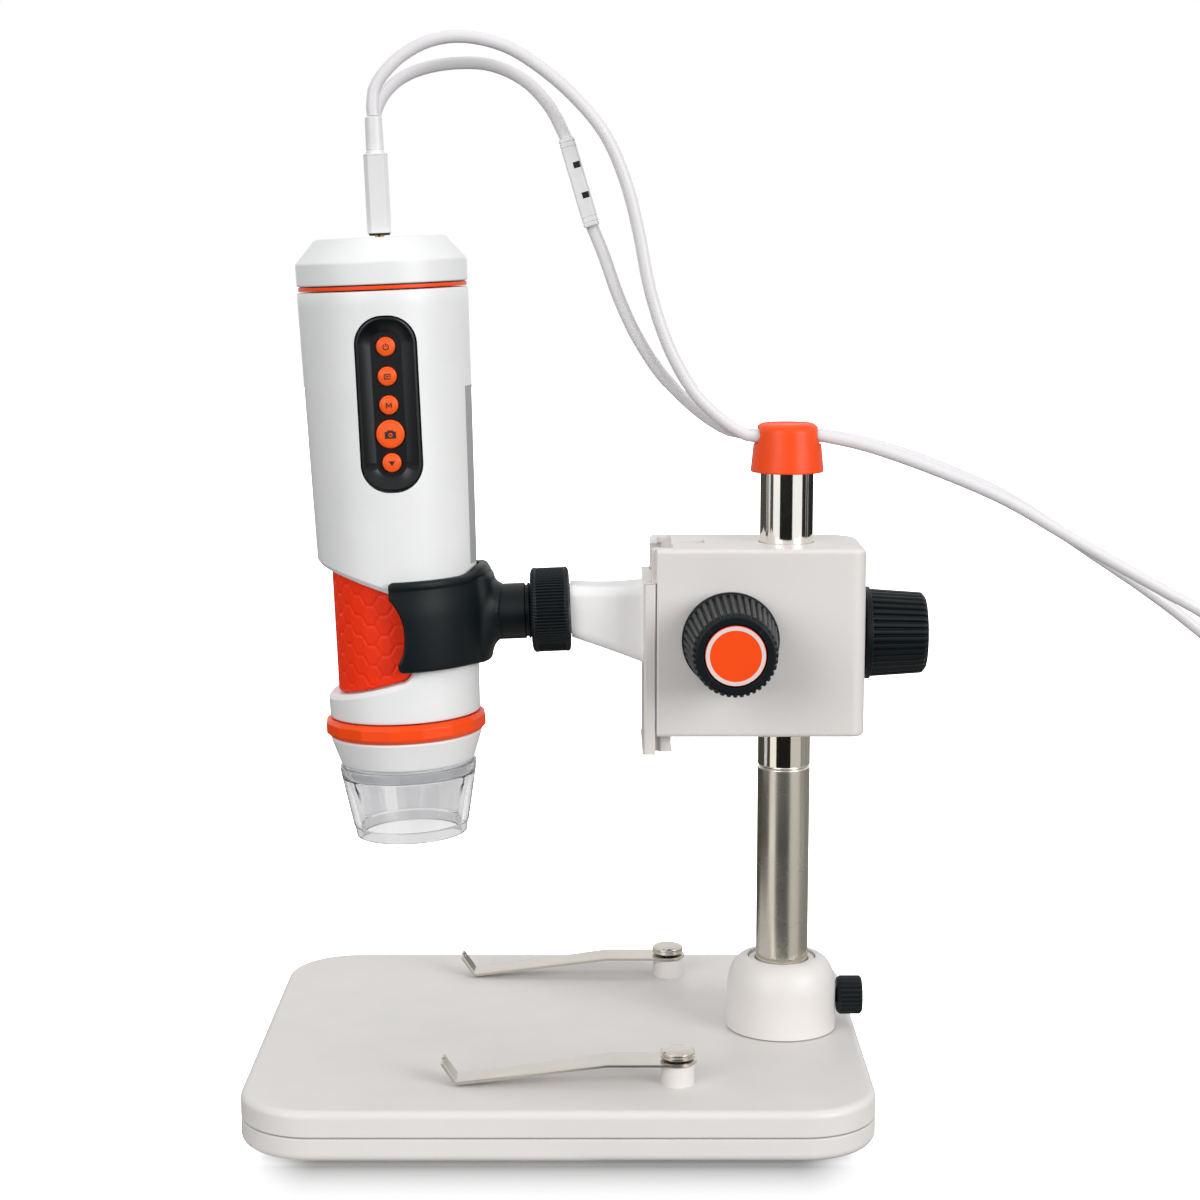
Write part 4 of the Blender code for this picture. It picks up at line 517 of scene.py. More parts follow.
@dataclass(frozen=True)
class Finish:
    """One material: its colours are sRGB hex, its sizes metres."""

    name: str
    colour: str
    tone: str
    roughness: float
    texture: Texture = Texture.MOULDED
    grain: float = 0.35 * MM
    relief: float = 0.02 * MM
    metallic: float = 0.0
    transmission: float = 0.0
    ior: float = 1.5
    specular: float = 0.5
    wear: str = ""
    subsurface: float = 0.0
    patch: float = 14 * MM
    axis: tuple[float, float, float] = (1.0, 1.0, 1.0)

    def build(self) -> bpy.types.Material:
        """The node material: two tones drift over each other in broad patches, the roughness drifts
        with them, and the surface's own grain is a bump."""
        made = bpy.data.materials.new(self.name)
        made.use_nodes = True
        tree = made.node_tree
        shader = tree.nodes["Principled BSDF"]
        where = add_node(tree, "ShaderNodeTexCoord").outputs["Object"]
        patches = add_node(tree, "ShaderNodeTexNoise",
                           {"Vector": where, "Scale": 1 / self.patch, "Detail": 3.0,
                            "Roughness": 0.55})
        drift = ramp_of(tree, patches.outputs["Fac"], 0.3, 0.7)
        mixed = add_node(tree, "ShaderNodeMix", {0: drift, 6: linear(self.colour),
                                                 7: linear(self.tone)}, data_type="RGBA").outputs[2]
        if self.wear:
            edges = ramp_of(tree, add_node(tree, "ShaderNodeNewGeometry").outputs["Pointiness"],
                            WORN_FROM, WORN_TO, 0.0, WORN_SHARE)
            mixed = add_node(tree, "ShaderNodeMix", {0: edges, 6: mixed, 7: linear(self.wear)},
                             data_type="RGBA").outputs[2]
        tree.links.new(mixed, shader.inputs["Base Color"])
        rough = ramp_of(tree, patches.outputs["Fac"], 0.25, 0.75,
                        max(LEAST_ROUGHNESS, self.roughness * (1 - ROUGHNESS_SWING)),
                        min(1.0, self.roughness * (1 + ROUGHNESS_SWING)))
        tree.links.new(rough, shader.inputs["Roughness"])
        if self.texture is Texture.TURNED:
            stretched = add_node(tree, "ShaderNodeMapping", {"Vector": where, "Scale": self.axis})
            grain = add_node(tree, "ShaderNodeTexNoise",
                             {"Vector": stretched.outputs["Vector"], "Scale": 1 / self.grain,
                              "Detail": 2.0})
        else:
            grain = add_node(tree, "ShaderNodeTexNoise",
                             {"Vector": where, "Scale": 1 / self.grain, "Detail": 4.0,
                              "Roughness": 0.6})
        bump = add_node(tree, "ShaderNodeBump", {"Height": grain.outputs["Fac"],
                                                 "Distance": self.relief, "Strength": 1.0})
        if self.texture not in (Texture.PLATED, Texture.EXTRUDED):
            tree.links.new(bump.outputs["Normal"], shader.inputs["Normal"])
        plain = {"Metallic": self.metallic, "Transmission Weight": self.transmission,
                 "Subsurface Weight": self.subsurface, "Subsurface Scale": SCATTER_DEPTH}
        if not self.metallic:
            plain["IOR"] = self.ior
            plain["Specular IOR Level"] = self.specular
        for key, value in plain.items():
            shader.inputs[key].default_value = value
        return made


# Injection-moulded ABS of the stand: warm white with a fine spark-eroded grain that spreads its
# highlights
STAND_WHITE = Finish("abs_moulded_warm_white", "#e4e0dd", "#e2dedb", 0.42, grain=0.30 * MM,
                     relief=0.008 * MM, subsurface=0.05)
# The same plastic on the base's plates, set a shade darker than the stand's white to match the light that
# falls there: painted shade
BASE_WHITE_PAINTED_SHADE = Finish("abs_moulded_white_painted_shade", "#e1dddb", "#dedbd8", 0.42, grain=0.30 * MM,
                    relief=0.008 * MM, subsurface=0.05)
# The same plastic on the arm, set lighter than the stand's white and a little glossier, to match the light
# that falls there: painted light
ARM_WHITE_PAINTED_LIGHT = Finish("abs_moulded_white_painted_light", "#f6f5f4", "#f4f3f2", 0.38, grain=0.30 * MM,
                   relief=0.006 * MM, subsurface=0.05)
# Injection-moulded ABS of the microscope's body: cooler, smoother white with a soft broad highlight
HEAD_WHITE = Finish("abs_moulded_cool_white", "#f1f2f2", "#edefee", 0.36, grain=0.28 * MM,
                    relief=0.008 * MM, subsurface=0.06)
# Matt charcoal nylon of the knobs and the holder: bluish black, its edges worn a little paler
CHARCOAL = Finish("nylon_moulded_charcoal", "#0c1418", "#0a1114", 0.42, grain=0.22 * MM,
                  relief=0.010 * MM, wear="#1e282f", specular=0.18)
# Gloss charcoal ABS of the button panel
PANEL_CHARCOAL = Finish("abs_moulded_gloss_charcoal", "#0d1115", "#0a0e12", 0.30, grain=0.25 * MM,
                        relief=0.006 * MM, specular=0.28)
# Orange ABS: saturated, semi-gloss, so that highlights stay small
ORANGE = Finish("abs_moulded_orange", "#ff4f10", "#fc4b0d", 0.38, grain=0.30 * MM,
                relief=0.006 * MM, specular=0.3)
# Orange silicone of the buttons: softer and duller than the caps
BUTTON_ORANGE = Finish("silicone_moulded_orange", "#ff6421", "#fc5f1e", 0.34, grain=0.20 * MM,
                       relief=0.004 * MM, specular=0.35)
# Darker orange thermoplastic rubber of the grip
GRIP_RUBBER = Finish("rubber_moulded_orange", "#ff3606", "#fb3204", 0.50, grain=0.25 * MM,
                     relief=0.010 * MM, specular=0.25)
# Black rubber of the feet
FOOT_RUBBER = Finish("rubber_moulded_black", "#1b1b1c", "#161617", 0.75, grain=0.4 * MM,
                     relief=0.03 * MM)
# Turned steel under satin nickel: fine lathe rings stretch its reflections sideways
SATIN_NICKEL = Finish("nickel_plated_turned_steel", "#d9d6cd", "#d2cec4", 0.27, Texture.TURNED,
                      0.5 * MM, 0.0015 * MM, metallic=1.0, axis=(4.0, 4.0, 0.1))
# Rolled spring steel of the stage clips, plated and only half bright
SPRING_STEEL = Finish("nickel_plated_spring_steel", "#cbc5bc", "#c2bcb3", 0.20, Texture.TURNED,
                      0.8 * MM, 0.001 * MM, metallic=1.0, axis=(0.3, 4.0, 4.0))
# Ground and chromed post: nearly a mirror
BRIGHT_CHROME = Finish("chrome_plated_ground_steel", "#f4f1ea", "#efece4", 0.08, Texture.PLATED,
                       metallic=1.0)
# Free-turning brass, left as machined
TURNED_BRASS = Finish("brass_turned", "#c9a25c", "#bd9650", 0.30, Texture.TURNED, 0.7 * MM,
                      0.004 * MM, metallic=1.0, axis=(0.2, 0.2, 4.0))
# Zinc-plated steel plate of the ballast, inside the base
ZINC_STEEL = Finish("steel_plate_zinc", "#a9abad", "#9b9da0", 0.45, Texture.CAST, 2 * MM, 0.02 * MM,
                    metallic=1.0)
# Black anodised aluminium of the lens barrel
BLACK_ANODISED = Finish("aluminium_anodised_black", "#1a1a1c", "#141416", 0.42, Texture.TURNED,
                        0.6 * MM, 0.004 * MM, metallic=0.6, axis=(0.2, 0.2, 4.0))
# Glass-fibre board under green solder mask
SOLDER_MASK = Finish("glass_fibre_board_green", "#1f6a3c", "#1a5f35", 0.35, grain=0.5 * MM,
                     relief=0.01 * MM)
# Coated optical glass
OPTICAL_GLASS = Finish("optical_glass_coated", "#dfe8ef", "#d8e2ea", 0.03, Texture.PLATED,
                       transmission=1.0, ior=1.52)
# Clear acrylic of the tip, with a faint milky cast in its thicker walls
CLEAR_ACRYLIC = Finish("acrylic_moulded_clear", "#e3e3e4", "#dfdfe0", 0.05, Texture.PLATED,
                       transmission=0.97, ior=1.46)
# The same acrylic on the tip's rim, made greyer and less clear than the tip: painted shade
RIM_ACRYLIC_PAINTED_SHADE = Finish("acrylic_rim_painted_shade", "#dcdde0", "#d8d9dc", 0.10, Texture.PLATED,
                     transmission=0.80, ior=1.46)
# Soft thermoplastic jacket of the leads: faintly lilac white, satin
CORD_JACKET = Finish("elastomer_extruded_white", "#e9e6e8", "#e5e2e5", 0.42, Texture.EXTRUDED)
# Moulded plastic of the plugs and of the module
PLUG_WHITE = Finish("pvc_moulded_white", "#e8e8e8", "#e2e2e2", 0.40, grain=0.3 * MM,
                    relief=0.008 * MM)
# Gold-flashed contacts and tinned shells
GOLD_CONTACT = Finish("gold_flashed_contact", "#c9a04a", "#bb923f", 0.30, Texture.PLATED,
                      metallic=1.0)
TINNED_SHELL = Finish("nickel_plated_pressed_shell", "#c8c9cb", "#bcbdc0", 0.25, Texture.CAST,
                      1.0 * MM, 0.004 * MM, metallic=1.0)
# Pale printed paper-film label, left blank
LABEL_FILM = Finish("polyester_film_grey", "#a6a9a9", "#a0a3a3", 0.55, grain=0.4 * MM,
                    relief=0.004 * MM)
# Dark ink of the button signs
DARK_INK = Finish("pad_printed_ink", "#24120f", "#1f0f0c", 0.6, grain=0.2 * MM, relief=0.004 * MM)
# Pale ring printed on the knob's badge
PALE_INK = Finish("pad_printed_pale_ink", "#e9d8d6", "#e3d0ce", 0.5, grain=0.2 * MM,
                  relief=0.004 * MM)
# Diffusing resin over the lamps
LAMP_LENS = Finish("epoxy_lamp_lens", "#f6f2dc", "#efe9cc", 0.25, grain=0.4 * MM, relief=0.004 * MM,
                   subsurface=0.2)
# Painted shade inside the base's seam: a grey strip in the groove between the plates
SEAM_SHADE = Finish("seam_painted_shade", "#a8a49f", "#a09c97", 0.6, grain=0.3 * MM, relief=0.01 * MM)


class Paints:
    """The built materials, each made once and kept by its finish's name."""

    def __init__(self) -> None:
        """Starts with none built."""
        self.made: dict[str, bpy.types.Material] = {}

    def of(self, finish: Finish) -> bpy.types.Material:
        """The material of a finish, built on first use."""
        if finish.name not in self.made:
            self.made[finish.name] = finish.build()
        return self.made[finish.name]


PAINTS = Paints()


def dress(piece: bpy.types.Object, finish: Finish, body: str, slot: str,
          *nodes: str) -> bpy.types.Object:
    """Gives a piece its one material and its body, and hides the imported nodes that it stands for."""
    piece.data.materials.clear()
    piece.data.materials.append(PAINTS.of(finish))
    if "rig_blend" not in piece:
        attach(piece, body)
    if nodes:
        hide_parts(*nodes)
    LOG.info("%s: %d faces, rides on %s", piece.name, len(piece.data.polygons), body)
    return piece


def repaint(node: str, finish: Finish) -> None:
    """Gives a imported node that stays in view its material."""
    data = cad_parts[node].data
    data.materials.clear()
    data.materials.append(PAINTS.of(finish))


# The two leads, with their plugs and the inline module


@dataclass
class Lead:
    """One white lead: its arch from the plug to the post's cap, its drop to the table, its coil and
    its connector.

    The arch is a chain of tubes, each of which bends across one joint, so that it stays whole as
    the head moves.
    """

    side: str
    sign: int
    drop: tuple[tuple[float, float, float], ...]
    coil_place: tuple[float, float] = (0.2080, 0.0330)
    radius: float = LEAD_RADIUS
    aside: float = 1.95 * MM
    axis_height: float = 149.9 * MM
    coil_radius: float = 17.0 * MM
    turns: int = 7
    pitch: float = 4.2 * MM
    layer: float = 3.8 * MM
    tail: float = 30.0 * MM
    gap: float = 0.3 * MM
    loop_points: int = 32
    sheath: float = 3.9 * MM
    seam: float = 0.15 * MM
    ease_points: int = 8

    def in_cap(self, x: float) -> Array:
        """A point of the lead in the cap's channel, x to the right of the post's axis."""
        return POST.out(np.array((x, self.sign * self.aside, self.axis_height)))

    def channel(self, sign: int) -> list[Array]:
        """Where the lead lies in the cap's channel: towards the head at -1 and towards the drop at
        +1."""
        return [self.in_cap(sign * x) for x in (9.0 * MM, 4.5 * MM)]

    def coil_start(self) -> tuple[Array, float]:
        """Where the coil's outer turn begins on the table, and that turn's radius."""
        outer = self.coil_radius + self.pitch * (self.turns - 0.5) / 4
        x, y = self.coil_place
        return np.array((POST_X + x, self.sign * y - self.sign * outer,
                         self.radius + self.gap)), outer

    def coil_path(self) -> Array:
        """Turns that spiral in on the table by one pitch a turn, climb a layer in half a turn and
        spiral out again, then ease down to the connector: the easing is s squared times
        (3 - 2s)."""
        start, outer = self.coil_start()
        centre = start + (0, self.sign * outer, 0)
        spiral = (self.turns - 0.5) / 2
        turn = np.arange(round(self.turns * self.loop_points) + 1) / self.loop_points
        climb = np.clip((turn - spiral) / 0.5, 0, 1)
        inward = np.minimum(turn, spiral) - np.maximum(turn - spiral - 0.5, 0)
        radius = outer - self.pitch * inward
        angle = self.sign * (math.tau * turn - math.pi / 2)
        turns = centre + np.stack([radius * np.cos(angle), radius * np.sin(angle),
                                   self.layer * climb * climb * (3 - 2 * climb)], 1)
        share = np.linspace(0, 1, self.ease_points + 1)[1:]
        low = self.gap + self.sheath
        ease = share * share * (3 - 2 * share)
        last = turns[-1]
        out = np.stack([last[0] + self.tail * share, np.full(self.ease_points, last[1]),
                        last[2] + (low - last[2]) * ease], 1)
        return np.vstack([turns, out])

    def free_path(self) -> Array:
        """The cord's line from the middle of the cap's channel to the connector."""
        start, _ = self.coil_start()
        fall = [self.in_cap(self.seam)] + self.channel(1)[::-1]
        fall += [POST.out(np.array(point)) for point in self.drop]
        fall += [start - (2 * self.radius, 0, 0), start]
        return np.vstack([smooth_path(fall, FALL_STEP), self.coil_path()[1:]])

    def chain(self, name: str, path: Array, bodies: Sequence[str], replaced: str) -> None:
        """Splits a path into as many even tubes as there are joints in the chain of bodies, and
        bends each across its own joint. The ends of neighbouring tubes are the same ring."""
        count = len(bodies) - 1
        cuts = np.linspace(0, len(path) - 1, count + 1).round().astype(int)
        points, faces = tube(path, self.radius)
        rings = points.reshape(len(path), -1, 3)
        for k, (first, last) in enumerate(zip(cuts, cuts[1:])):
            piece = mesh_object(f"{name}_{k + 1}", lofted(rings[first:last + 1]))
            start, end = path[first], path[last]
            chord = end - start
            step = chord / np.linalg.norm(chord) * self.radius
            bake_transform(piece, bodies[k], bodies[k + 1], tuple(start + step), tuple(end - step))
            dress(piece, CORD_JACKET, bodies[k], "cord", *((replaced,) if k == 0 else ()))

    def connector(self, end: Array, shell: tuple[float, float],
                  tongue: Finish) -> list[bpy.types.Object]:
        """The connector on the table: an oversized moulding with a ribbed relief, a pressed shell
        and its tongue."""
        relief, sunk, ribs, rib = 12.0, 0.3, 5, 0.22
        place = Place((end[0] + self.gap + relief * MM, end[1], end[2])).faced("+X")
        body = slab(box_outline(-8 * MM, 8 * MM, -self.sheath, self.sheath, 2.4 * MM), 0, 26 * MM,
                    1.2 * MM, 0.8 * MM)
        waves = np.linspace(0, 1, 61)
        ribbed = (waves > 0.1) * (waves < 0.95)
        bare = 2.3 + 0.7 * waves + rib * np.sign(np.sin(waves * math.tau * ribs)) * ribbed
        profile = np.column_stack([bare * MM, (waves * (relief + sunk) - relief) * MM])
        profile = np.vstack([(0, profile[0, 1]), profile, (0, profile[-1, 1])])
        moulding = mesh_object(f"connector_{self.side}_moulding",
                               together(body, turned(profile, 40)), place)
        dress(moulding, PLUG_WHITE, "base", "cord_plastic", f"connector_{self.side}")
        wide, high = shell[0] / 2, shell[1] / 2
        outer = box_outline(-wide, wide, -high, high, 0.5 * MM)
        inner = inset(outer, 0.3 * MM)
        levels = ((outer, 25.5 * MM), (outer, 39 * MM), (inner, 39 * MM), (inner, 26.5 * MM))
        rings = np.array([np.column_stack([line, np.full(len(line), level)])
                          for line, level in levels])
        sleeve = mesh_object(f"connector_{self.side}_shell", lofted(rings), place)
        dress(sleeve, TINNED_SHELL, "base", "bright_steel")
        blade = slab(box_outline(-wide * 0.82, wide * 0.82, -high * 0.55, high * 0.1, 0.2 * MM),
                     26.4 * MM, 38.2 * MM)
        card = mesh_object(f"connector_{self.side}_tongue", blade, place)
        dress(card, tongue, "base", "cord_plastic")
        return [moulding, sleeve, card]

    def tie(self) -> bpy.types.Object:
        """A soft strap round one side of the coil: a flat band carried round the bundle's
        section."""
        start, outer = self.coil_start()
        centre = start + (0, self.sign * outer, 0)
        points, swell, lift = 40, 0.32, 0.05 * MM
        angles = np.linspace(0, math.tau, points + 1)[:-1]
        inner_edge, outer_edge = self.coil_radius - 9.5 * MM, outer + self.radius + 0.9 * MM
        middle, half = (inner_edge + outer_edge) / 2, (outer_edge - inner_edge) / 2
        top = self.layer + 2 * self.radius + 1.1 * MM
        cosine, sine = np.cos(angles), np.sin(angles)
        across = middle + half * np.sign(cosine) * np.abs(cosine) ** swell
        above = top / 2 + (top / 2 - lift) * np.sign(sine) * np.abs(sine) ** swell
        rings = []
        for width, thick in ((-2.5, 0), (-2.5, 0.6), (2.5, 0.6), (2.5, 0)):
            narrower, lower = 1 - thick * MM / half, 1 - thick * MM / (top / 2)
            rings.append(np.column_stack([-(middle + (across - middle) * narrower),
                                          np.full(points, width * MM),
                                          top / 2 + (above - top / 2) * lower]))
        shape = lofted(np.array(rings), capped=False, wrap=True)
        return mesh_object(f"tie_{self.side}", shape, Place((centre[0], centre[1], 0)))

    def build(self, tongue: Finish, shell: tuple[float, float]) -> bpy.types.Object:
        """Args:
            tongue: The finish of the connector's tongue.
            shell: The width and height of its pressed shell.

        Returns:
            The cord.
        """
        path = self.free_path()
        cord = mesh_object(f"cord_{self.side}", tube(path, self.radius, (0.02, 0.03, 1), 14))
        nodes = [f"lead_{self.side}_drop", f"coil_{self.side}"]
        dress(cord, CORD_JACKET, "base", "cord", *nodes)
        pieces = self.connector(path[-1], shell, tongue)
        strap = self.tie()
        dress(strap, FOOT_RUBBER, "base", "foot_rubber")
        LOG.info("cord_%s: %.3f m", self.side, length_of(path))
        return cord


# The leads' lines in metres from the post's axis and the base's top, traced from the photograph
FRONT_ARCH = ((-0.0990, -0.0058, 0.2340), (-0.0938, -0.0052, 0.2399), (-0.0866, -0.0047, 0.2439),
              (-0.0782, -0.0043, 0.2450), (-0.0687, -0.0040, 0.2429), (-0.0603, -0.0037, 0.2380),
              (-0.0519, -0.0034, 0.2309), (-0.0447, -0.0032, 0.2222), (-0.0399, -0.0030, 0.2115),
              (-0.0367, -0.0028, 0.1996), (-0.0338, -0.0026, 0.1852), (-0.0294, -0.0024, 0.1719),
              (-0.0235, -0.0022, 0.1612), (-0.0175, -0.0020, 0.1550), (-0.0120, -0.00195, 0.1511))
REAR_UPPER = ((-0.1009, 0.0065, 0.2262), (-0.0988, 0.0064, 0.2315), (-0.0945, 0.0062, 0.2358),
              (-0.0880, 0.0060, 0.2385), (-0.0800, 0.0058, 0.2396), (-0.0720, 0.0056, 0.2390),
              (-0.0640, 0.0054, 0.2353), (-0.0580, 0.0052, 0.2290))
REAR_LOWER = ((-0.0450, 0.0042, 0.1936), (-0.0416, 0.0038, 0.1840), (-0.0372, 0.0034, 0.1744),
              (-0.0308, 0.0029, 0.1646), (-0.0227, 0.0024, 0.1565), (-0.0155, 0.0020, 0.1516),
              (-0.0110, 0.00195, 0.1504))
FRONT_DROP = ((0.0110, -0.00195, 0.1494), (0.0203, -0.0025, 0.1472), (0.0351, -0.0040, 0.1421),
              (0.0525, -0.0060, 0.1348), (0.0675, -0.0080, 0.1262), (0.0775, -0.0092, 0.1205),
              (0.0901, -0.0105, 0.1135), (0.1026, -0.0116, 0.1065), (0.1180, -0.0125, 0.0955),
              (0.1300, -0.0130, 0.0820), (0.1390, -0.0130, 0.0650), (0.1455, -0.0130, 0.0460),
              (0.1515, -0.0128, 0.0270), (0.1590, -0.0125, 0.0100), (0.1700, -0.0121, -0.0040),
              (0.1830, -0.0116, -0.0102))
REAR_DROP = ((0.0110, 0.00195, 0.1496), (0.0203, 0.0026, 0.1478), (0.0351, 0.0042, 0.1430),
             (0.0525, 0.0062, 0.1355), (0.0675, 0.0082, 0.1263), (0.0775, 0.0094, 0.1196),
             (0.0901, 0.0108, 0.1112), (0.1026, 0.0118, 0.1020), (0.1170, 0.0126, 0.0895),
             (0.1275, 0.0130, 0.0750), (0.1355, 0.0130, 0.0580), (0.1420, 0.0130, 0.0390),
             (0.1485, 0.0128, 0.0210), (0.1570, 0.0125, 0.0050), (0.1690, 0.0121, -0.0065),
             (0.1830, 0.0116, -0.0108))
CAP_FACE = 92.7 * MM
PORT_ASIDE = 6.2 * MM
PLUG_LENGTHS = {"front": 18.7, "rear": 12.5}
SHELLS = {"front": (12.0 * MM, 4.5 * MM), "rear": (13.9 * MM, 4.4 * MM)}
RELIEF_TIPS = {side: CAP_FACE + (0.9 + length + 8.7) * MM for side, length in PLUG_LENGTHS.items()}
MODULE_ENDS = ((-0.0541, 0.0050, 0.2215), (-0.0479, 0.0046, 0.2006))
TO_POST = ("microscope", "holder", "focus_carriage", "housing", "height_bush", "base")


@dataclass
class Plug:
    """One moulded plug over the cap's port; sizes in millimetres from where the head crosses the
    arm's axis."""

    side: str
    aside: float
    length: float
    low: float = 93.6
    wide: float = 5.7
    deep: float = 10.4
    bevel: float = 1.0
    relief: float = 8.7
    relief_radius: float = 2.15

    def build(self) -> None:
        """A bevelled moulding, its round relief, the dark seat under it and the gilt contact in the
        port."""
        place = SCOPE.at(0, self.aside * MM, 0)
        high = self.low + self.length
        x, y, cut = self.wide / 2, self.deep / 2, self.bevel
        outline = rounded([(cut - x, -y), (x - cut, -y), (x, cut - y), (x, y - cut), (x - cut, y),
                           (cut - x, y), (-x, y - cut), (-x, cut - y)], 0.25, True, 2)
        levels = ((0.4, self.low), (0.08, self.low + 0.05), (0, self.low + 0.2), (0, high - 0.75),
                  (0.16, high - 0.65), (0.16, high - 0.5), (0, high - 0.4), (0, high - 0.2),
                  (0.1, high - 0.04), (0.4, high))
        body = lofted(stacked(outline, levels))
        r, end = self.relief_radius, high + self.relief
        line = rounded([(0, high - 0.5), (r, high - 0.5), (r, high + 0.6), (r - 0.12, high + 0.75),
                        (r - 0.12, high + 0.95), (r, high + 1.1), (r - 0.1, end), (1.55, end),
                        (0, end - 0.02)], (0, 0.1, 0.1, 0.05, 0.05, 0.1, 0.3, 0.05, 0), False, 4)
        shape = together(body, turned(line, 56))
        dress(mesh_object(f"plug_{self.side}_moulding", in_metres(shape), place, 26), PLUG_WHITE,
              "microscope", "cord_plastic", f"plug_{self.side}")
        seat = slab(box_outline(0.35 - x, x - 0.35, 0.4 - y, y - 0.4, 0.8) * MM,
                    (self.low - 0.4) * MM, (self.low + 0.1) * MM, 0.1 * MM)
        core = slab(box_outline(-0.85, 0.85, -3.3, 3.3, 0.3) * MM, 89.5 * MM, (self.low + 0.1) * MM)
        dress(mesh_object(f"plug_{self.side}_seat", together(seat, core), place), PANEL_CHARCOAL,
              "microscope", "cord_plastic")
        tabs = [slab(box_outline(x0, x1, -3.5, 3.5, 0.1) * MM, 89.8 * MM, (self.low - 0.1) * MM)
                for x0, x1 in ((-1.1, -0.45), (0.15, 1.1))]
        dress(mesh_object(f"plug_{self.side}_contact", together(*tabs), place), GOLD_CONTACT,
              "microscope", "cord_plastic")


def build_module(top: Array, bottom: Array) -> None:
    """The inline module: one rounded section whose edge draws in at the grooves near both ends,
    with two dark windows sunk into its face. Its local Z runs down the lead, X stays in the
    picture's plane and Y faces the front."""
    long = float(np.linalg.norm(bottom - top)) / MM
    down = (bottom - top) / MM / long
    right = np.array((0.0, 0.0, 1.0)) - down * down[2]
    right /= np.linalg.norm(right)
    place = Place(tuple(top), tuple(map(tuple, (right, np.cross(down, right), down))))
    outline = box_outline(-1.8, 1.8, -3.1, 3.1, 0.55, 5)
    half = ((0.30, 0), (0.07, 0.08), (0, 0.30), (0, 0.75), (0.20, 0.85), (0.20, 1.05), (0, 1.15),
            (0, 2.0), (0.20, 2.1), (0.20, 2.3), (0, 2.4))
    levels = half + tuple((d, long - z) for d, z in reversed(half))
    body = lofted(stacked(outline, levels))
    module = mesh_object("module_case", in_metres(body), place, 26)
    cutters, panes = [], []
    for number, middle in enumerate((0.31 * long, 0.655 * long)):
        span = (0.0, 1.95, 1.9, 3.4)
        cutters.append(mesh_object(f"pane_way_{number}",
                                   slab(box_outline(*span, 0.12) * MM, (middle - 0.75) * MM,
                                        (middle + 0.75) * MM), place))
        panes.append(slab(box_outline(0.02, 1.62, 1.8, 2.85, 0.1) * MM, (middle - 0.74) * MM,
                          (middle + 0.74) * MM))
    dress(carve(module, cutters, sharp=26), PLUG_WHITE, "focus_carriage", "cord_plastic",
          "inline_module")
    dress(mesh_object("module_panes", together(*panes), place), PANEL_CHARCOAL, "focus_carriage",
          "charcoal")


def build_leads() -> None:
    """Both leads, the front one in one arch and the rear one in two, above and below its module."""
    for side, sign, arch, drop in (("front", -1, FRONT_ARCH, FRONT_DROP),
                                   ("rear", 1, REAR_UPPER, REAR_DROP)):
        lead = Lead(side, sign, drop)
        lead.build(PLUG_WHITE if side == "front" else PANEL_CHARCOAL, SHELLS[side])
        Plug(side, sign * PORT_ASIDE / MM, PLUG_LENGTHS[side]).build()
        tip = [SCOPE.out(np.array((0, sign * PORT_ASIDE, RELIEF_TIPS[side] + rise)))
               for rise in (0.3 * MM, 3.3 * MM)]
        route = tip + [POST.out(np.array(p)) for p in arch]
        if side == "front":
            route += lead.channel(-1) + [lead.in_cap(-lead.seam)]
            lead.chain("lead_arch", smooth_path(route, ARCH_STEP), TO_POST, "lead_front_arch")
            continue
        top, bottom = (POST.out(np.array(end)) for end in MODULE_ENDS)
        build_module(top, bottom)
        lead.chain("lead_upper", smooth_path(route + [top], ARCH_STEP), TO_POST[:3],
                   "lead_rear_upper")
        lower = [bottom] + [POST.out(np.array(p)) for p in REAR_LOWER] + lead.channel(-1)
        lower += [lead.in_cap(-lead.seam)]
        lead.chain("lead_lower", smooth_path(lower, ARCH_STEP), TO_POST[2:], "lead_rear_lower")


# The microscope


def sheet_solid(front: Array, back: Array) -> Shape:
    """Two grids of the same shape as the two faces of a thin solid, joined round their border."""
    rows, columns = front.shape[:2]
    shift = rows * columns
    faces = grid_faces(rows, columns, False, False)
    faces += [tuple(shift + k for k in face[::-1]) for face in faces]
    border = [j for j in range(columns)] + [i * columns + columns - 1 for i in range(1, rows)]
    border += [(rows - 1) * columns + j for j in range(columns - 2, -1, -1)]
    border += [i * columns for i in range(rows - 2, 0, -1)]
    faces += [(b, a, a + shift, b + shift) for a, b in zip(border, border[1:] + border[:1])]
    return np.vstack([front.reshape(-1, 3), back.reshape(-1, 3)]), faces


def eased(value: Array, low: float, high: float) -> Array:
    """0 below low, 1 above high and s squared times (3 - 2s) between."""
    share = np.clip((value - low) / (high - low), 0, 1)
    return share * share * (3 - 2 * share)


def quarter_round(near: Array, radius: float) -> Array:
    """How far a quarter circle draws a surface in at a distance from its edge: r - sqrt(r^2 -
    (r - d)^2)."""
    return radius - np.sqrt(np.clip(radius ** 2 - np.clip(radius - near, 0, radius) ** 2, 0, None))


def disc_sign(outline: Sequence[Sequence[float]]) -> Array:
    """A sign's outline made counter-clockwise."""
    points = np.asarray(outline, float)
    ahead = np.roll(points, -1, 0)
    area = (points[:, 0] * ahead[:, 1] - ahead[:, 0] * points[:, 1]).sum()
    return points if area > 0 else points[::-1]


def arc_line(radius: float, start: float, end: float, count: int = 24,
             centre: tuple[float, float] = (0, 0)) -> Array:
    """Points on an arc: the centre plus radius times (cos a, sin a), angles in degrees."""
    a = np.radians(np.linspace(start, end, count))
    return np.stack([centre[0] + radius * np.cos(a), centre[1] + radius * np.sin(a)], 1)


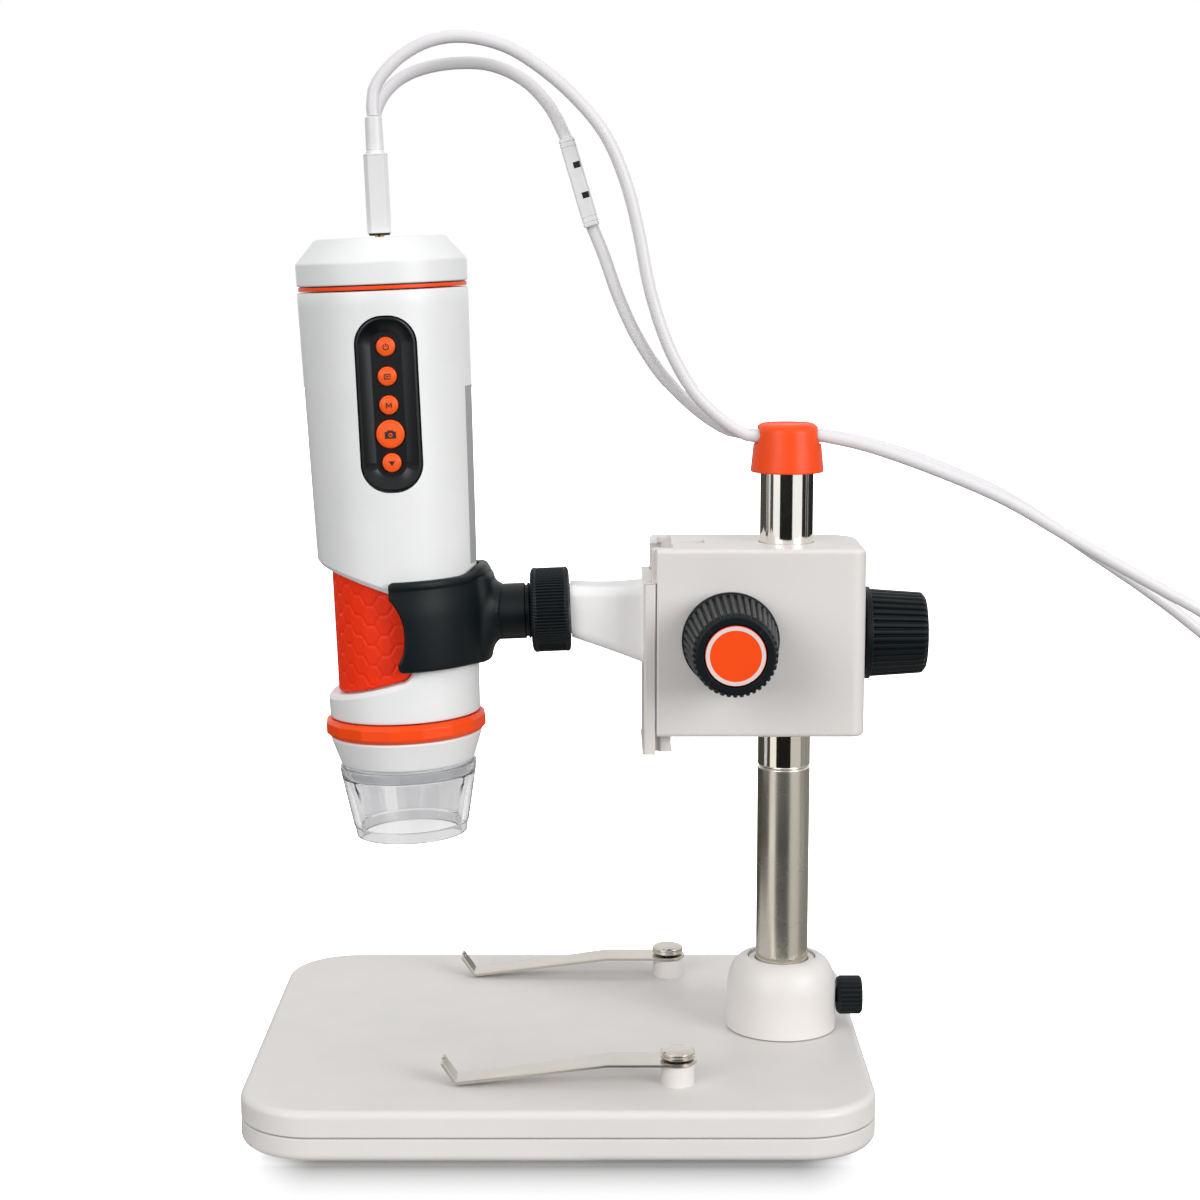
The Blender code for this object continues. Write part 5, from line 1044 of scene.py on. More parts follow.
class Sign(Enum):
    """The generic signs on the buttons."""

    POWER = "power"
    PLAY = "play"
    MODE = "mode"
    CAPTURE = "capture"
    DOWN = "down"

    def outlines(self) -> list[Array]:
        """The sign's parts as closed outlines in millimetres, x to the right and y up."""
        if self is Sign.POWER:
            ring = np.vstack([arc_line(0.72, 118, 422, 40), arc_line(0.50, 422, 118, 40)])
            return [ring, np.array([(-0.1, 0.1), (0.1, 0.1), (0.1, 0.85), (-0.1, 0.85)])]
        if self is Sign.PLAY:
            bars = [np.array([(-0.72, -0.62), (0.72, -0.62), (0.72, -0.40), (-0.72, -0.40)]),
                    np.array([(-0.72, -0.62), (-0.50, -0.62), (-0.50, 0.62), (-0.72, 0.62)]),
                    np.array([(-0.72, 0.40), (0.72, 0.40), (0.72, 0.62), (-0.72, 0.62)]),
                    np.array([(0.50, -0.15), (0.72, -0.15), (0.72, 0.62), (0.50, 0.62)])]
            return bars + [np.array([(-0.22, -0.30), (0.36, 0.02), (-0.22, 0.30)])]
        if self is Sign.MODE:
            return [np.array([(-0.66, -0.6), (-0.42, -0.6), (-0.42, 0.16), (0, -0.5), (0.42, 0.16),
                              (0.42, -0.6), (0.66, -0.6), (0.66, 0.6), (0.42, 0.6), (0, -0.06),
                              (-0.42, 0.6), (-0.66, 0.6)])]
        if self is Sign.CAPTURE:
            left = np.vstack([[(0, -0.78), (0, -0.5)], arc_line(0.42, 270, 90, 24, (0, -0.08)),
                              [(0, 0.85), (-0.5, 0.85), (-0.66, 0.56), (-1.1, 0.56),
                               (-1.1, -0.78)]])
            lens = arc_line(0.22, 0, 345, 20, (0, -0.08))
            return [left, left * (-1, 1), lens]
        return [np.array([(-0.72, 0.46), (0.72, 0.46), (0, -0.66)])]


@dataclass
class Button:
    """One domed button, its dark printed sign, and the body it rides on; sizes in millimetres."""

    sign: Sign
    height: float
    radius: float
    front: float = 19.5
    back: float = 15.6

    def build(self) -> None:
        """A turned dome with a fine groove inside its rim, and the sign laid on it as thin
        solids."""
        r = self.radius
        top = self.front
        line = [(0, self.back), (r + 0.6, self.back), (r + 0.6, 16.3), (r, 16.3), (r, top - 0.55),
                (r - 0.12, top - 0.3), (r - 0.42, top - 0.22), (r - 0.5, top - 0.34),
                (r - 0.58, top - 0.2)]
        swell = [(s * (r - 0.58), top - 0.2 * s * s) for s in np.linspace(1, 0, 9)[1:]]
        place = SCOPE.at(0, 0, self.height * MM).faced("-Y")
        dome = mesh_object(f"button_{self.sign.value}_cap", turned(np.array(line + swell) * MM, 72),
                           place, 50)
        body = f"{self.sign.value}_button"
        dress(dome, BUTTON_ORANGE, body, "orange", f"button_{self.sign.value}")
        scale = 1.05 if self.sign is not Sign.CAPTURE else 1.2
        parts = [slab(disc_sign(outline) * scale * MM, (top - 0.25) * MM, (top + 0.03) * MM)
                 for outline in self.sign.outlines()]
        sign = mesh_object(f"sign_{self.sign.value}", together(*parts), place.at(0, -0.1 * MM, 0))
        dress(sign, DARK_INK, body, "charcoal")


# Each button's sign, its height and its radius in millimetres
BUTTONS = ((Sign.POWER, 67.1, 2.25), (Sign.PLAY, 60.1, 2.25), (Sign.MODE, 53.3, 2.25),
           (Sign.CAPTURE, 46.4, 3.35), (Sign.DOWN, 39.6, 2.25))


@dataclass
class Microscope:
    """The handheld head along its own axis; sizes in millimetres, heights from where it crosses the
    arm's axis."""

    top: float = 80.2
    top_radius: float = 20.75
    waist: float = 20.8
    waist_radius: float = 19.6
    low: float = -24.0
    low_radius: float = 18.6
    lip: float = 1.2
    floor_radius: float = 14.4
    pad_radius: float = 16.1
    pad_edge: float = 0.55
    hex_pitch: float = 4.9
    hex_groove: float = 0.20
    girth: float = 19.3
    wall: float = 0.84

    def radius(self, z: Array) -> Array:
        """The skin's radius at a height: straight between the low end, the waist and the top."""
        return np.interp(z, (self.low, self.waist, self.top),
                         (self.low_radius, self.waist_radius, self.top_radius))

    def wrap(self, u: Array, z: Array, radius: Array) -> Array:
        """A flat place (u, z) laid round the body: turned by u over the girth about the axis from
        the left side."""
        t = u / self.girth
        return np.stack([-radius * np.cos(t), -radius * np.sin(t), np.broadcast_to(z, t.shape)], -1)

    def edge_heights(self, x: Array) -> tuple[Array, Array]:
        """The lower and upper edge of the grip's recess at a place seen from the front: straight
        lines on the left, and the two halves of an ellipse on its round end."""
        share = np.sqrt(np.clip(1 - ((x + 1) / 6) ** 2, 0, 1))
        high = np.where(x < -1, 7.4 - (x + 1) * 8.2 / 22, -3.4 + 10.8 * share)
        low = np.where(x < -1, -14.2 + (x + 1) * 4.6 / 22, -3.4 - 10.8 * share)
        return low, high

    def stations(self, count: int) -> tuple[Array, Array]:
        """Angles from the left side round to the round end, closer together towards its tip, and
        the x seen there."""
        turn = np.linspace(0, math.pi / 2, count)
        straight = np.linspace(0, math.acos(1 / self.girth), count, endpoint=False)
        x = np.concatenate([-self.girth * np.cos(straight), -1 + 6 * np.sin(turn)])
        return np.arccos(np.clip(-x / self.girth, -1, 1)) * self.girth, x

    def recess_line(self) -> Array:
        """The recess's closed outline in the flat (u, z), counter-clockwise."""
        u, x = self.stations(44)
        low, high = self.edge_heights(x)
        front = np.column_stack([u, low]), np.column_stack([u, high])[::-1]
        right = np.vstack([front[0], front[1][1:]])
        left = right[::-1] * (-1, 1)
        return np.vstack([right, left[1:-1]])

    def end_rings(self, around: Array, section: Sequence[tuple[float, float]]) -> Shape:
        """Round rings over the stations of the skin's border, at a section's radii and heights."""
        rings = [self.wrap(around, np.array(z), np.full(len(around), r)) for r, z in section]
        return lofted(np.array(rings), capped=False)

    def shell(self) -> bpy.types.Object:
        """The body's skin with the grip's recess sunk into it.

        A loop of places runs round the recess and another round the flat's border, and the rows
        between them share the way out evenly. Inwards from the loop, the lip's rows slope down with
        small rounds at both edges, then the wall drops to the recess's floor, which closes on its
        own middle.
        """
        line = self.recess_line()
        closed = np.vstack([line, line[:1]])
        walked = np.concatenate([[0], np.cumsum(np.linalg.norm(np.diff(closed, axis=0), axis=1))])
        tall, wide = 60, 150
        z0, z1, half = self.low + 0.5, self.top - 0.4, self.girth * math.pi
        corners = ((half, z0), (half, z1), (-half, z1), (-half, z0), (half, z0))
        counts = (tall, wide, tall, wide)
        border = np.vstack([np.linspace(start, end, count, endpoint=False)
                            for start, end, count in zip(corners, corners[1:], counts)])
        tip = walked[:-1][np.argmax(line[:, 0])]
        quarter = 6.5
        total = walked[-1]
        other = walked[:-1][np.argmin(line[:, 0])]
        anchors = (tip - quarter, tip + quarter, other - quarter, other + quarter,
                   total + tip - quarter)
        marks = np.concatenate([np.linspace(start, end, count, endpoint=False)
                                for start, end, count in zip(anchors, anchors[1:], counts)])
        marks = np.mod(marks, total)
        loop = np.stack([np.interp(marks, walked, closed[:, k]) for k in range(2)], 1)
        rows: list[Array] = []
        for share in np.linspace(1, 0, 34)[:-1] ** 1.5:
            flat = inset(loop, -self.lip) * (1 - share) + border * share
            rows.append(self.wrap(flat[:, 0], flat[:, 1], self.radius(flat[:, 1])))
        for away, drop in ((1, 0), (0.97, 0.01), (0.92, 0.05), (0.5, 0.34), (0.13, 0.60),
                           (0.06, 0.66), (0.02, 0.74), (0, self.wall)):
            flat = inset(loop, -self.lip * away)
            rows.append(self.wrap(flat[:, 0], flat[:, 1],
                                  self.radius(flat[:, 1]) - self.lip * drop))
        for radius in (17.0, self.floor_radius + 0.3, self.floor_radius):
            rows.append(self.wrap(loop[:, 0], loop[:, 1], np.full(len(loop), radius)))
        middle = np.array((0, -2.0))
        for share in (0.8, 0.6, 0.4, 0.2, 0.0):
            flat = middle + (loop - middle) * share
            rows.append(self.wrap(flat[:, 0], flat[:, 1], np.full(len(loop), self.floor_radius)))
        skin = lofted(np.array(rows), capped=False)
        under = [(float(self.radius(np.array(z0))), z0), (self.low_radius - 0.15, self.low + 0.12),
                 (self.low_radius - 0.5, self.low), (15.9, self.low), (15.9, -28.9), (15.6, -29.2),
                 (11.0, -29.2), (11.0, -10.0), (0.0, -10.0)]
        rim = [(float(self.radius(np.array(z1))), z1), (self.top_radius - 0.12, self.top - 0.1),
               (self.top_radius - 0.4, self.top), (0.0, self.top)]
        bottom = self.end_rings(border[2 * tall + wide:][:, 0], under)
        lid = self.end_rings(border[tall:tall + wide][:, 0], rim)
        body = mesh_object("body_skin", in_metres(together(skin, bottom, lid)), SCOPE, 40)
        window = slab(box_outline(-7.45, 7.45, 32.4, 74.4, 7.44, 20) * MM, -24 * MM, -13.9 * MM)
        facing = Place(SCOPE.origin, (SCOPE.turn[0], SCOPE.turn[2], SCOPE.turn[1]))
        return carve(body, [mesh_object("window", window, facing)], sharp=40)

    def grip(self) -> bpy.types.Object:
        """The rubber pad: a grid between the recess's edges, its face raised in hexagons.

        Three families of parallel waves, 60 degrees apart, give each place its distance from the
        nearest hexagon's border. Each hexagon is flat: the radius is the pad's own over the cosine
        of the turn from its middle. A shallow groove follows the border, and the pad's rim rounds
        off towards the recess.
        """
        u, x = self.stations(90)
        low, high = self.edge_heights(x)
        u = np.concatenate([-u[:0:-1], u])
        low, high = (np.concatenate([side[:0:-1], side]) for side in (low + 0.35, high - 0.35))
        high = np.maximum(high, low + 0.02)
        share = np.linspace(0, 1, 100)[:, None]
        z = low * (1 - share) + high * share
        u = np.broadcast_to(u, z.shape)
        rim = np.minimum(np.minimum(z - low, high - z), (u.max() - 0.4 - np.abs(u)))
        pitch = self.hex_pitch
        row = pitch * math.sqrt(3) / 2
        best = np.full(z.shape, 9.0)
        centre_u, centre_z = np.zeros(z.shape), np.zeros(z.shape)
        for shift in (0, 1):
            cu = (np.round((u / row - shift) / 2) * 2 + shift) * row
            cz = (np.round(z / pitch - shift / 2) + shift / 2) * pitch
            away = np.hypot(u - cu, z - cz)
            nearer = away < best
            best = np.where(nearer, away, best)
            centre_u, centre_z = np.where(nearer, cu, centre_u), np.where(nearer, cz, centre_z)
        du, dz = u - centre_u, z - centre_z
        to_border = pitch / 2 - np.max([np.abs(du * math.sin(a) + dz * math.cos(a))
                                        for a in np.radians((0, 60, 120))], axis=0)
        groove = self.hex_groove * (1 - eased(to_border, 0.12, 0.50))
        rounding = self.pad_edge * (1 - eased(rim, 0.0, 0.7)) ** 2
        face = self.pad_radius / np.cos(du / self.girth) - groove - rounding
        front = self.wrap(u, z, face)
        back = self.wrap(u, z, np.full(z.shape, self.floor_radius + 0.35))
        return mesh_object("grip_skin", in_metres(sheet_solid(front, back)), SCOPE, 60)

    def panel(self) -> bpy.types.Object:
        """The dished button panel: rings of one stadium shape shrink from the body's surface down
        sloping sides to a flat strip, and the buttons' holes are drilled through it."""
        wide = box_outline(-7.15, 7.15, 32.7, 74.1, 7.14, 24)
        levels = ((0.0, 16.6, False), (0.0, -0.35, True), (0.12, -0.08, True), (0.3, 0.0, True),
                  (0.62, 0.0, True), (0.8, -0.05, True), (3.42, 18.55, False), (3.55, 18.46, False),
                  (3.9, 18.45, False))
        rings = []
        for distance, level, hugging in levels:
            flat = inset(wide, distance)
            if hugging:
                out = np.sqrt(self.radius(flat[:, 1]) ** 2 - flat[:, 0] ** 2) + level - 0.1
            else:
                out = np.full(len(flat), level)
            rings.append(np.column_stack([flat[:, 0], -out, flat[:, 1]]))
        panel = mesh_object("panel_dish", in_metres(lofted(np.array(rings))), SCOPE, 28)
        holes = []
        for sign, height, radius in BUTTONS:
            place = SCOPE.at(0, 0, height * MM).faced("-Y")
            holes.append(drill(f"hole_{sign.value}", radius + 0.3, 12, 24, place, 64))
        return carve(panel, holes, sharp=28)

    def label(self) -> bpy.types.Object:
        """The blank film label on the side towards the arm, a hair proud of the skin."""
        proud, sunk = 0.07, 0.05
        z, turn = np.meshgrid(np.linspace(13.0, 56.4, 60), np.radians(np.linspace(156, 204, 40)),
                              indexing="ij")
        radius = self.radius(z)
        sheets = [self.wrap(turn * self.girth, z, radius + away) for away in (proud, -sunk)]
        return mesh_object("label_film", in_metres(sheet_solid(*sheets)), SCOPE)

    def ring(self, name: str, corners: Sequence[Sequence[float]], radii: float | Sequence[float],
             sides: int = 128, radial: Law | None = None, wrap: bool = True) -> bpy.types.Object:
        """A turned ring about the microscope's axis from its section's corners in millimetres."""
        return lathe(name, corners, radii, SCOPE, sides, 5, wrap, 35, radial)

    def top_end(self) -> None:
        """The trim ring, a dark ring between it and the cap as painted shadow in their gap, and the cap with
        the two ports.
        """
        trim = self.ring("trim_band", [(17.6, 80.5), (20.4, 80.5), (20.4, 81.4), (17.6, 81.4)],
                         0.18)
        dress(trim, ORANGE, "microscope", "orange", "trim_ring")
        # A thin dark ring in the gap between the trim and the cap: painted shadow
        under = self.ring("trim_gap_painted_shadow", [(16.5, 81.38), (20.05, 81.38), (20.05, 81.75),
                                          (16.5, 81.75)], 0.05)
        dress(under, PANEL_CHARCOAL, "microscope", "charcoal")
        cap = self.ring("cap_skin", [(0, 81.7), (20.7, 81.7), (20.75, 87.0), (15.7, 92.7),
                                     (0, 92.7)], (0, 0.35, 0.9, 0.9, 0), 128, None, False)
        ports = [mesh_object(f"port_{k}", slab(box_outline(-1.5, 1.5, y - 4.0, y + 4.0, 0.4) * MM,
                                               89.0 * MM, 94 * MM), SCOPE)
                 for k, y in enumerate((-6.2, 6.2))]
        dress(carve(cap, ports, sharp=30), HEAD_WHITE, "microscope", "head_white", "top_cap")

    def collar(self) -> None:
        """The sixteen-sided focus collar: the radius at an angle is cos(pi / 16) over the cosine of
        the angle from its facet's middle, and its rims are cut back round."""
        step = math.tau / 16
        corner, inner, rim, follow = 19.98 * MM, 18.9 * MM, 19.9 * MM, 0.6

        def facets(radii: Array, angles: Array) -> Array:
            """The flat-sided radius, for the outer points alone."""
            flat = corner * math.cos(step / 2) / np.cos(np.mod(angles + step / 2, step) - step / 2)
            return np.where(radii > inner, np.minimum(radii, flat + (radii - rim) * follow), radii)

        ring = self.ring("collar_skin", [(16.2, -28.7), (18.9, -28.7), (20.0, -27.7), (20.0, -25.3),
                                         (18.9, -24.3), (16.2, -24.3)],
                         (0.1, 0.3, 0.35, 0.35, 0.3, 0.1), 256, facets)
        dress(ring, ORANGE, "focus_collar", "orange", "focus_ring")

    def nose(self) -> None:
        """The skirt, the lamps under it, and the clear tip with its rim and its short slots."""
        skirt = self.ring("skirt_skin", [(13.0, -39.4), (14.6, -39.4), (14.6, -36.3),
                                         (16.45, -36.3), (19.0, -28.8), (16.2, -29.0),
                                         (16.2, -29.5), (13.0, -29.5)],
                          (0.1, 0.2, 0.1, 0.9, 0.5, 0.1, 0.1, 0.1))
        dress(skirt, HEAD_WHITE, "microscope", "head_white", "nose_skirt")
        lamps = [slab(arc_line(1.25, 0, 345, 24, (10.6 * math.cos(a), 10.6 * math.sin(a))) * MM,
                      -39.7 * MM, -39.05 * MM, 0.25 * MM)
                 for a in np.radians(np.arange(8) * 45 + 22.5)]
        lights = mesh_object("lamps", together(*lamps), SCOPE)
        dress(lights, LAMP_LENS, "microscope", "head_white")

        def slots(radii: Array, angles: Array) -> Array:
            """Four short slots down from the top of the tip's bore, 0.63 radians off the X axis on
            both sides."""
            off_axis, depth = 0.63, 0.12 * MM
            near = np.abs(np.arccos(np.clip(np.abs(np.cos(angles)), 0, 1)) - off_axis)
            bore = (radii > 14.75 * MM) & (radii < 15.3 * MM)
            return np.where(bore, radii + depth * (1 - eased(near, 0.04, 0.08)), radii)

        tip = self.ring("tip_skin", [(12.3, -54.9), (13.75, -54.9), (14.1, -52.3), (14.35, -52.0),
                                     (16.7, -39.35), (15.3, -39.35), (15.1, -39.8), (14.78, -41.8),
                                     (14.72, -42.1), (12.75, -52.0), (12.3, -52.3)],
                        (0.3, 0.4, 0.15, 0.15, 0.12, 0.12, 0.2, 0, 0, 0.3, 0.2), 192, slots)
        rim = self.ring("tip_rim", [(15.35, -39.3), (16.7, -39.3), (17.0, -37.1), (16.75, -36.75),
                                    (16.0, -36.75), (15.6, -37.3)],
                        (0.12, 0.12, 0.25, 0.2, 0.3, 0.3), 192)
        # The rim's acrylic is a greyer, less clear copy of the tip's: painted shade
        dress(rim, RIM_ACRYLIC_PAINTED_SHADE, "tip", "clear_plastic")
        dress(tip, CLEAR_ACRYLIC, "tip", "clear_plastic", "clear_tip")

    def build(self) -> None:
        """Every piece of the head but its plugs."""
        dress(self.shell(), HEAD_WHITE, "microscope", "head_white", "body_shell")
        dress(self.grip(), GRIP_RUBBER, "microscope", "grip_rubber", "grip_pad")
        dress(self.panel(), PANEL_CHARCOAL, "microscope", "charcoal", "button_panel")
        dress(self.label(), LABEL_FILM, "microscope", "head_white")
        for sign, height, radius in BUTTONS:
            Button(sign, height, radius).build()
        self.top_end()
        self.collar()
        self.nose()


# The holder and its nut


@dataclass
class Holder:
    """The C-shaped clip on the arm joint, sizes in millimetres along the arm's axis."""

    bore: float = 20.0
    outer: float = 22.2
    half: float = 11.0
    wrap: float = 92.0
    ledge: float = 0.30
    fillet: float = 2.2
    stem: float = 6.9

    def end_turn(self, share: Array) -> Array:
        """The half angle at a share of the height: full at the two lobes, and drawn in by a bow
        between them, deepest a little under the middle; each lobe's outer corner is a quarter
        circle."""
        bow_from, bow_span, bow_depth, degrees_a_mm = 0.10, 0.71, 8.6, 2.6
        bow = np.sin(np.pi * np.clip((share - bow_from) / bow_span, 0, 1)) ** 0.8
        near = np.minimum(share, 1 - share) * 2 * self.half
        corner = quarter_round(near, 1.1)
        lower = 1.6 * (1 - eased(share, 0.0, 0.5))
        return np.radians(self.wrap - bow_depth * bow - (corner + lower) * degrees_a_mm)

    def clip(self) -> Shape:
        """Two grids round the bore, the outer one with rounded rims, a shallow ledge under its top
        rim, and a swelling with a raised ear where the stem leaves it."""
        share = np.linspace(0, 1, 90)[:, None]
        side = np.linspace(-1, 1, 260)[None, :]
        side = np.sin(side * np.pi / 2) * 0.35 + side * 0.65
        turn = self.end_turn(share) * side
        lift = np.exp(-(turn / math.radians(27)) ** 4)
        low = -self.half - 0.5 * lift
        high = self.half + 1.5 * lift
        z = low + (high - low) * share
        along = (self.end_turn(share) - np.abs(turn)) * self.outer
        rim = np.minimum(np.minimum(z - low, high - z), along)
        rounding = quarter_round(rim, 0.7)
        ledge = self.ledge * eased(high - z, 1.5, 2.0) - self.ledge * eased(high - z, 2.0, 9.0)
        tall = eased(self.half + 1.5 - z, 0.2, 3.4) * eased(z + self.half + 0.6, 0.2, 7.0)
        swell = (0.5 + 1.5 * tall) * np.exp(-(turn / math.radians(22)) ** 8)
        reach = np.hypot(self.outer * turn, z - 0.3)
        sunk, steepest = 0.15, 0.97
        near = np.clip((self.stem - sunk + self.fillet - reach) / self.fillet, 0, 1) * steepest
        fillet = self.fillet * (1 - np.sqrt(1 - near ** 2))
        belly = -0.35 * (z / self.half) ** 2
        outside = self.outer + belly - rounding + swell - ledge + fillet
        inside = self.bore + 0.25 * rounding
        grids = [np.stack([r * np.cos(turn), r * np.sin(turn), z + 0 * turn], -1)
                 for r in (outside, inside + 0 * turn)]
        return sheet_solid(*grids)

    def stem_shape(self) -> Shape:
        """The round stem out of the clip's wall, with its step and its stud."""
        line = rounded([(0, 21.2), (self.stem, 21.2), (self.stem, 31.0), (6.4, 31.15), (6.4, 31.6),
                        (self.stem, 31.75), (self.stem, 32.2), (4.0, 32.2), (4.0, 46.5), (0, 46.5)],
                       (0, 0.2, 0.15, 0.1, 0.1, 0.1, 0.2, 0.1, 0.6, 0), False, 4)
        return turned(line, 96)

    def nut(self) -> Shape:
        """The knurled nut: between its rounded rims stand round-topped ribs, whose radius follows
        |sin|."""
        ribs, face, root, height = 78, 10.3 * MM, 9.85 * MM, 0.55 * MM

        def knurl(radii: Array, angles: Array) -> Array:
            """Round-topped ribs on the outer face alone."""
            wave = np.abs(np.sin(angles * ribs / 2)) ** 0.8
            return np.where(np.abs(radii - face) < 0.02 * MM, root + height * wave, radii)

        line = [(6.5, 32.5), (9.2, 32.5), (9.9, 32.7), (10.3, 33.1), (10.5, 33.6), (10.45, 33.95),
                (10.3, 34.05), (10.3, 34.3), (10.3, 40.4), (10.3, 40.75), (10.45, 40.85),
                (10.5, 41.1), (10.3, 41.5), (9.9, 41.85), (9.2, 42.0), (6.5, 42.0)]
        return turned(np.array(line) * MM, ribs * 8, knurl, True)

    def build(self) -> None:
        """The clip, its stem and the nut."""
        clip = mesh_object("holder_band", in_metres(self.clip()), ARM, 42)
        dress(clip, CHARCOAL, "holder", "charcoal", "holder_clip")
        stem = mesh_object("holder_stem", in_metres(self.stem_shape()), ARM.faced("+X"), 42)
        dress(stem, CHARCOAL, "holder", "charcoal")
        nut = mesh_object("arm_nut_knurled", self.nut(), ARM.faced("+X"), 50)
        dress(nut, CHARCOAL, "clamp_nut", "charcoal", "arm_nut")


# The focus block, its slide, the arm and the knobs


def fluted(count: int, low: float, high: float, depth: float, floor: float = 0.0,
           land: float = 0.62) -> Law:
    """A radius law for turned(): between two radii, count rounded grooves go round the turn.

    Args:
        count: The number of grooves.
        low: The radius above which they are cut, in millimetres.
        high: The radius below which they are cut.
        depth: Their depth.
        floor: The share of half a groove's turn over which it is deepest.
        land: The share from which on the land between two grooves stands.

    Returns:
        The law.
    """

    def law(radii: Array, angles: Array) -> Array:
        """The depth eases out from a groove's middle to the land."""
        place = np.abs(np.mod(angles * count / math.tau, 1) - 0.5) * 2
        groove = depth * MM * (1 - eased(place, floor, land))
        body = (radii > low * MM) & (radii < high * MM)
        return np.where(body, radii - groove, radii)

    return law


@dataclass
class FocusBlock:
    """The housing on the post, its slide with the arm, and its three knobs; sizes in millimetres
    from the post."""

    left: float = -33.5
    right: float = 18.4
    low: float = 77.7
    high: float = 123.7
    face: float = -33.8
    flute_depth: float = 0.62

    def housing(self) -> bpy.types.Object:
        """A block with rounded corners and rims, cut for the bush, the slide, the shaft and the
        lock screw."""
        block = box_outline(self.left, self.right, -16, 16, (2, 3.5, 8, 2), 10)
        shape = slab(block * MM, self.low * MM, self.high * MM, 1.1 * MM, 1.1 * MM, 5)
        housing = mesh_object("housing_block", shape, POST, 30)
        half = [(-34, 11.2), (-31.6, 11.2), (-31.6, 12.3), (-28.3, 12.3), (-28.3, 3.3),
                (-20.2, 3.3)]
        way = np.array(half + [(x, -y) for x, y in reversed(half)])[::-1] * MM
        bore = [(0, 60), (6.85, 60), (6.85, 78.9), (8.5, 79.1), (8.5, 122.3), (6.85, 122.5),
                (6.85, 140), (0, 140)]
        under, over = 70 * MM, 130 * MM
        cutters = [mesh_object("way", slab(way, under, over), POST), lathe("bore", bore, 0.0, POST),
                   drill("shaft_way", 2.4, -20, 20, POST.at(*DRIVE).faced("-Y")),
                   drill("lock_way", 2.9, 5, 22, POST.at(*LOCK).faced("+X"))]
        for side, (y0, y1) in enumerate(((-17.0, -14.6), (14.6, 17.0))):
            rebate = slab(box_outline(-34, -32.2, y0, y1, 0.1) * MM, under, over)
            cutters.append(mesh_object(f"rebate_{side}", rebate, POST))
        window = slab(box_outline(-34, -30.6, -14.3, 14.3, 0.3) * MM, 115.0 * MM, 121.9 * MM)
        cutters.append(mesh_object("window", window, POST))
        return carve(housing, cutters, sharp=30)

    def slide(self) -> bpy.types.Object:
        """The T-shaped slide with its thin front plate and its rib."""
        half = [(self.face - 1.5, 15.8), (-32.5, 15.8), (-32.5, 14.9), (self.face, 14.9),
                (self.face, 10.9), (-31.3, 10.9), (-31.3, 12.0), (-28.6, 12.0)]
        turns = (0.6, 0.35, 0.15, 0.15, 0.2, 0.15, 0.3, 0.3)
        outline = rounded([(x, -y) for x, y in half] + [(x, y) for x, y in reversed(half)],
                          turns + turns[::-1], True, 3)
        rib = slab(box_outline(-28.8, -24.5, -3.0, 3.0, 0.3) * MM, 80 * MM, 113 * MM, 0.25 * MM,
                   0.25 * MM, 3)
        tee = slab(outline[::-1] * MM, 73.4 * MM, 115.4 * MM, 0.25 * MM, 0.25 * MM, 3)
        return mesh_object("slide_tee", together(tee, rib), POST, 35)

    def arm(self) -> bpy.types.Object:
        """Rings of rounded rectangles from the slide to the nut; their sizes ease in, so the root
        flares softly."""
        reach, end, root_deep, root_tall, root_low = 42.3, 13, 15, 19.8, 94.1 + 13.0
        flare_size, flare_until, bow_size, root_sunk = 0.9, 0.09, 0.45, 0.7
        outwards = np.array((math.cos(HEAD_LEAN), 0, math.sin(HEAD_LEAN)))
        tip = HEAD / MM + outwards * reach
        root_x = POST_X / MM + self.face - root_sunk
        far_x = tip[0] - POST_X / MM - self.face + root_sunk
        far_z = tip[2] - root_low - root_tall / 2
        rings = []
        for share in np.concatenate([np.linspace(0, 0.12, 6), np.linspace(0.2, 1, 12)]):
            flare = flare_size * (1 - min(1.0, share / flare_until)) ** 2
            deep = root_deep + (end - root_deep) * share
            tall = root_tall + (end - root_tall) * share
            section = box_outline(-deep / 2 - flare, deep / 2 + flare, -tall / 2 - flare,
                                  tall / 2 + flare, 2.6, 7)
            middle_x = root_x + far_x * share
            middle_z = root_low + root_tall / 2 + far_z * share
            lean = math.tan(HEAD_LEAN) * share
            bow = bow_size * math.sin(math.pi * share)
            upper = np.where(section[:, 1] > 0, 1 - bow / (tall / 2), 1 - 0.2 * bow / (tall / 2))
            rings.append(np.column_stack([middle_x - section[:, 1] * lean, section[:, 0],
                                          middle_z + section[:, 1] * upper]))
        rings.append(rings[-1] * 0.12 + rings[-1].mean(0) * 0.88)
        return mesh_object("arm_beam", in_metres(lofted(np.array(rings))), WORLD, 35)

    def collet(self) -> bpy.types.Object:
        """The tube that the nut closes, with four slits."""
        along = ARM.faced("+X")
        sleeve = lathe("collet", [(4.3, 32.6), (6.2, 32.6), (6.2, 42.8), (4.3, 42.8)], 0.3, along,
                       steps=3, closed=True, sharp=35)
        boxes = ((-8, 8, -0.4, 0.4), (-0.4, 0.4, -8, 8))
        slits = [mesh_object(f"slit_{k}", slab(box_outline(*box, 0.05) * MM, 30 * MM, 39 * MM),
                             along) for k, box in enumerate(boxes)]
        return carve(sleeve, slits, sharp=35)

    def knob(self, name: str, line: Sequence[Sequence[float]], radii: Sequence[float], flutes: int,
             between: tuple[float, float], place: Place) -> bpy.types.Object:
        """A knob turned from a closed section, fluted between two radii with ten steps to a
        flute."""
        law = fluted(flutes, *between, self.flute_depth, 0.05, 0.6)
        return lathe(name, line, radii, place, flutes * 10, 4, True, 35, law)

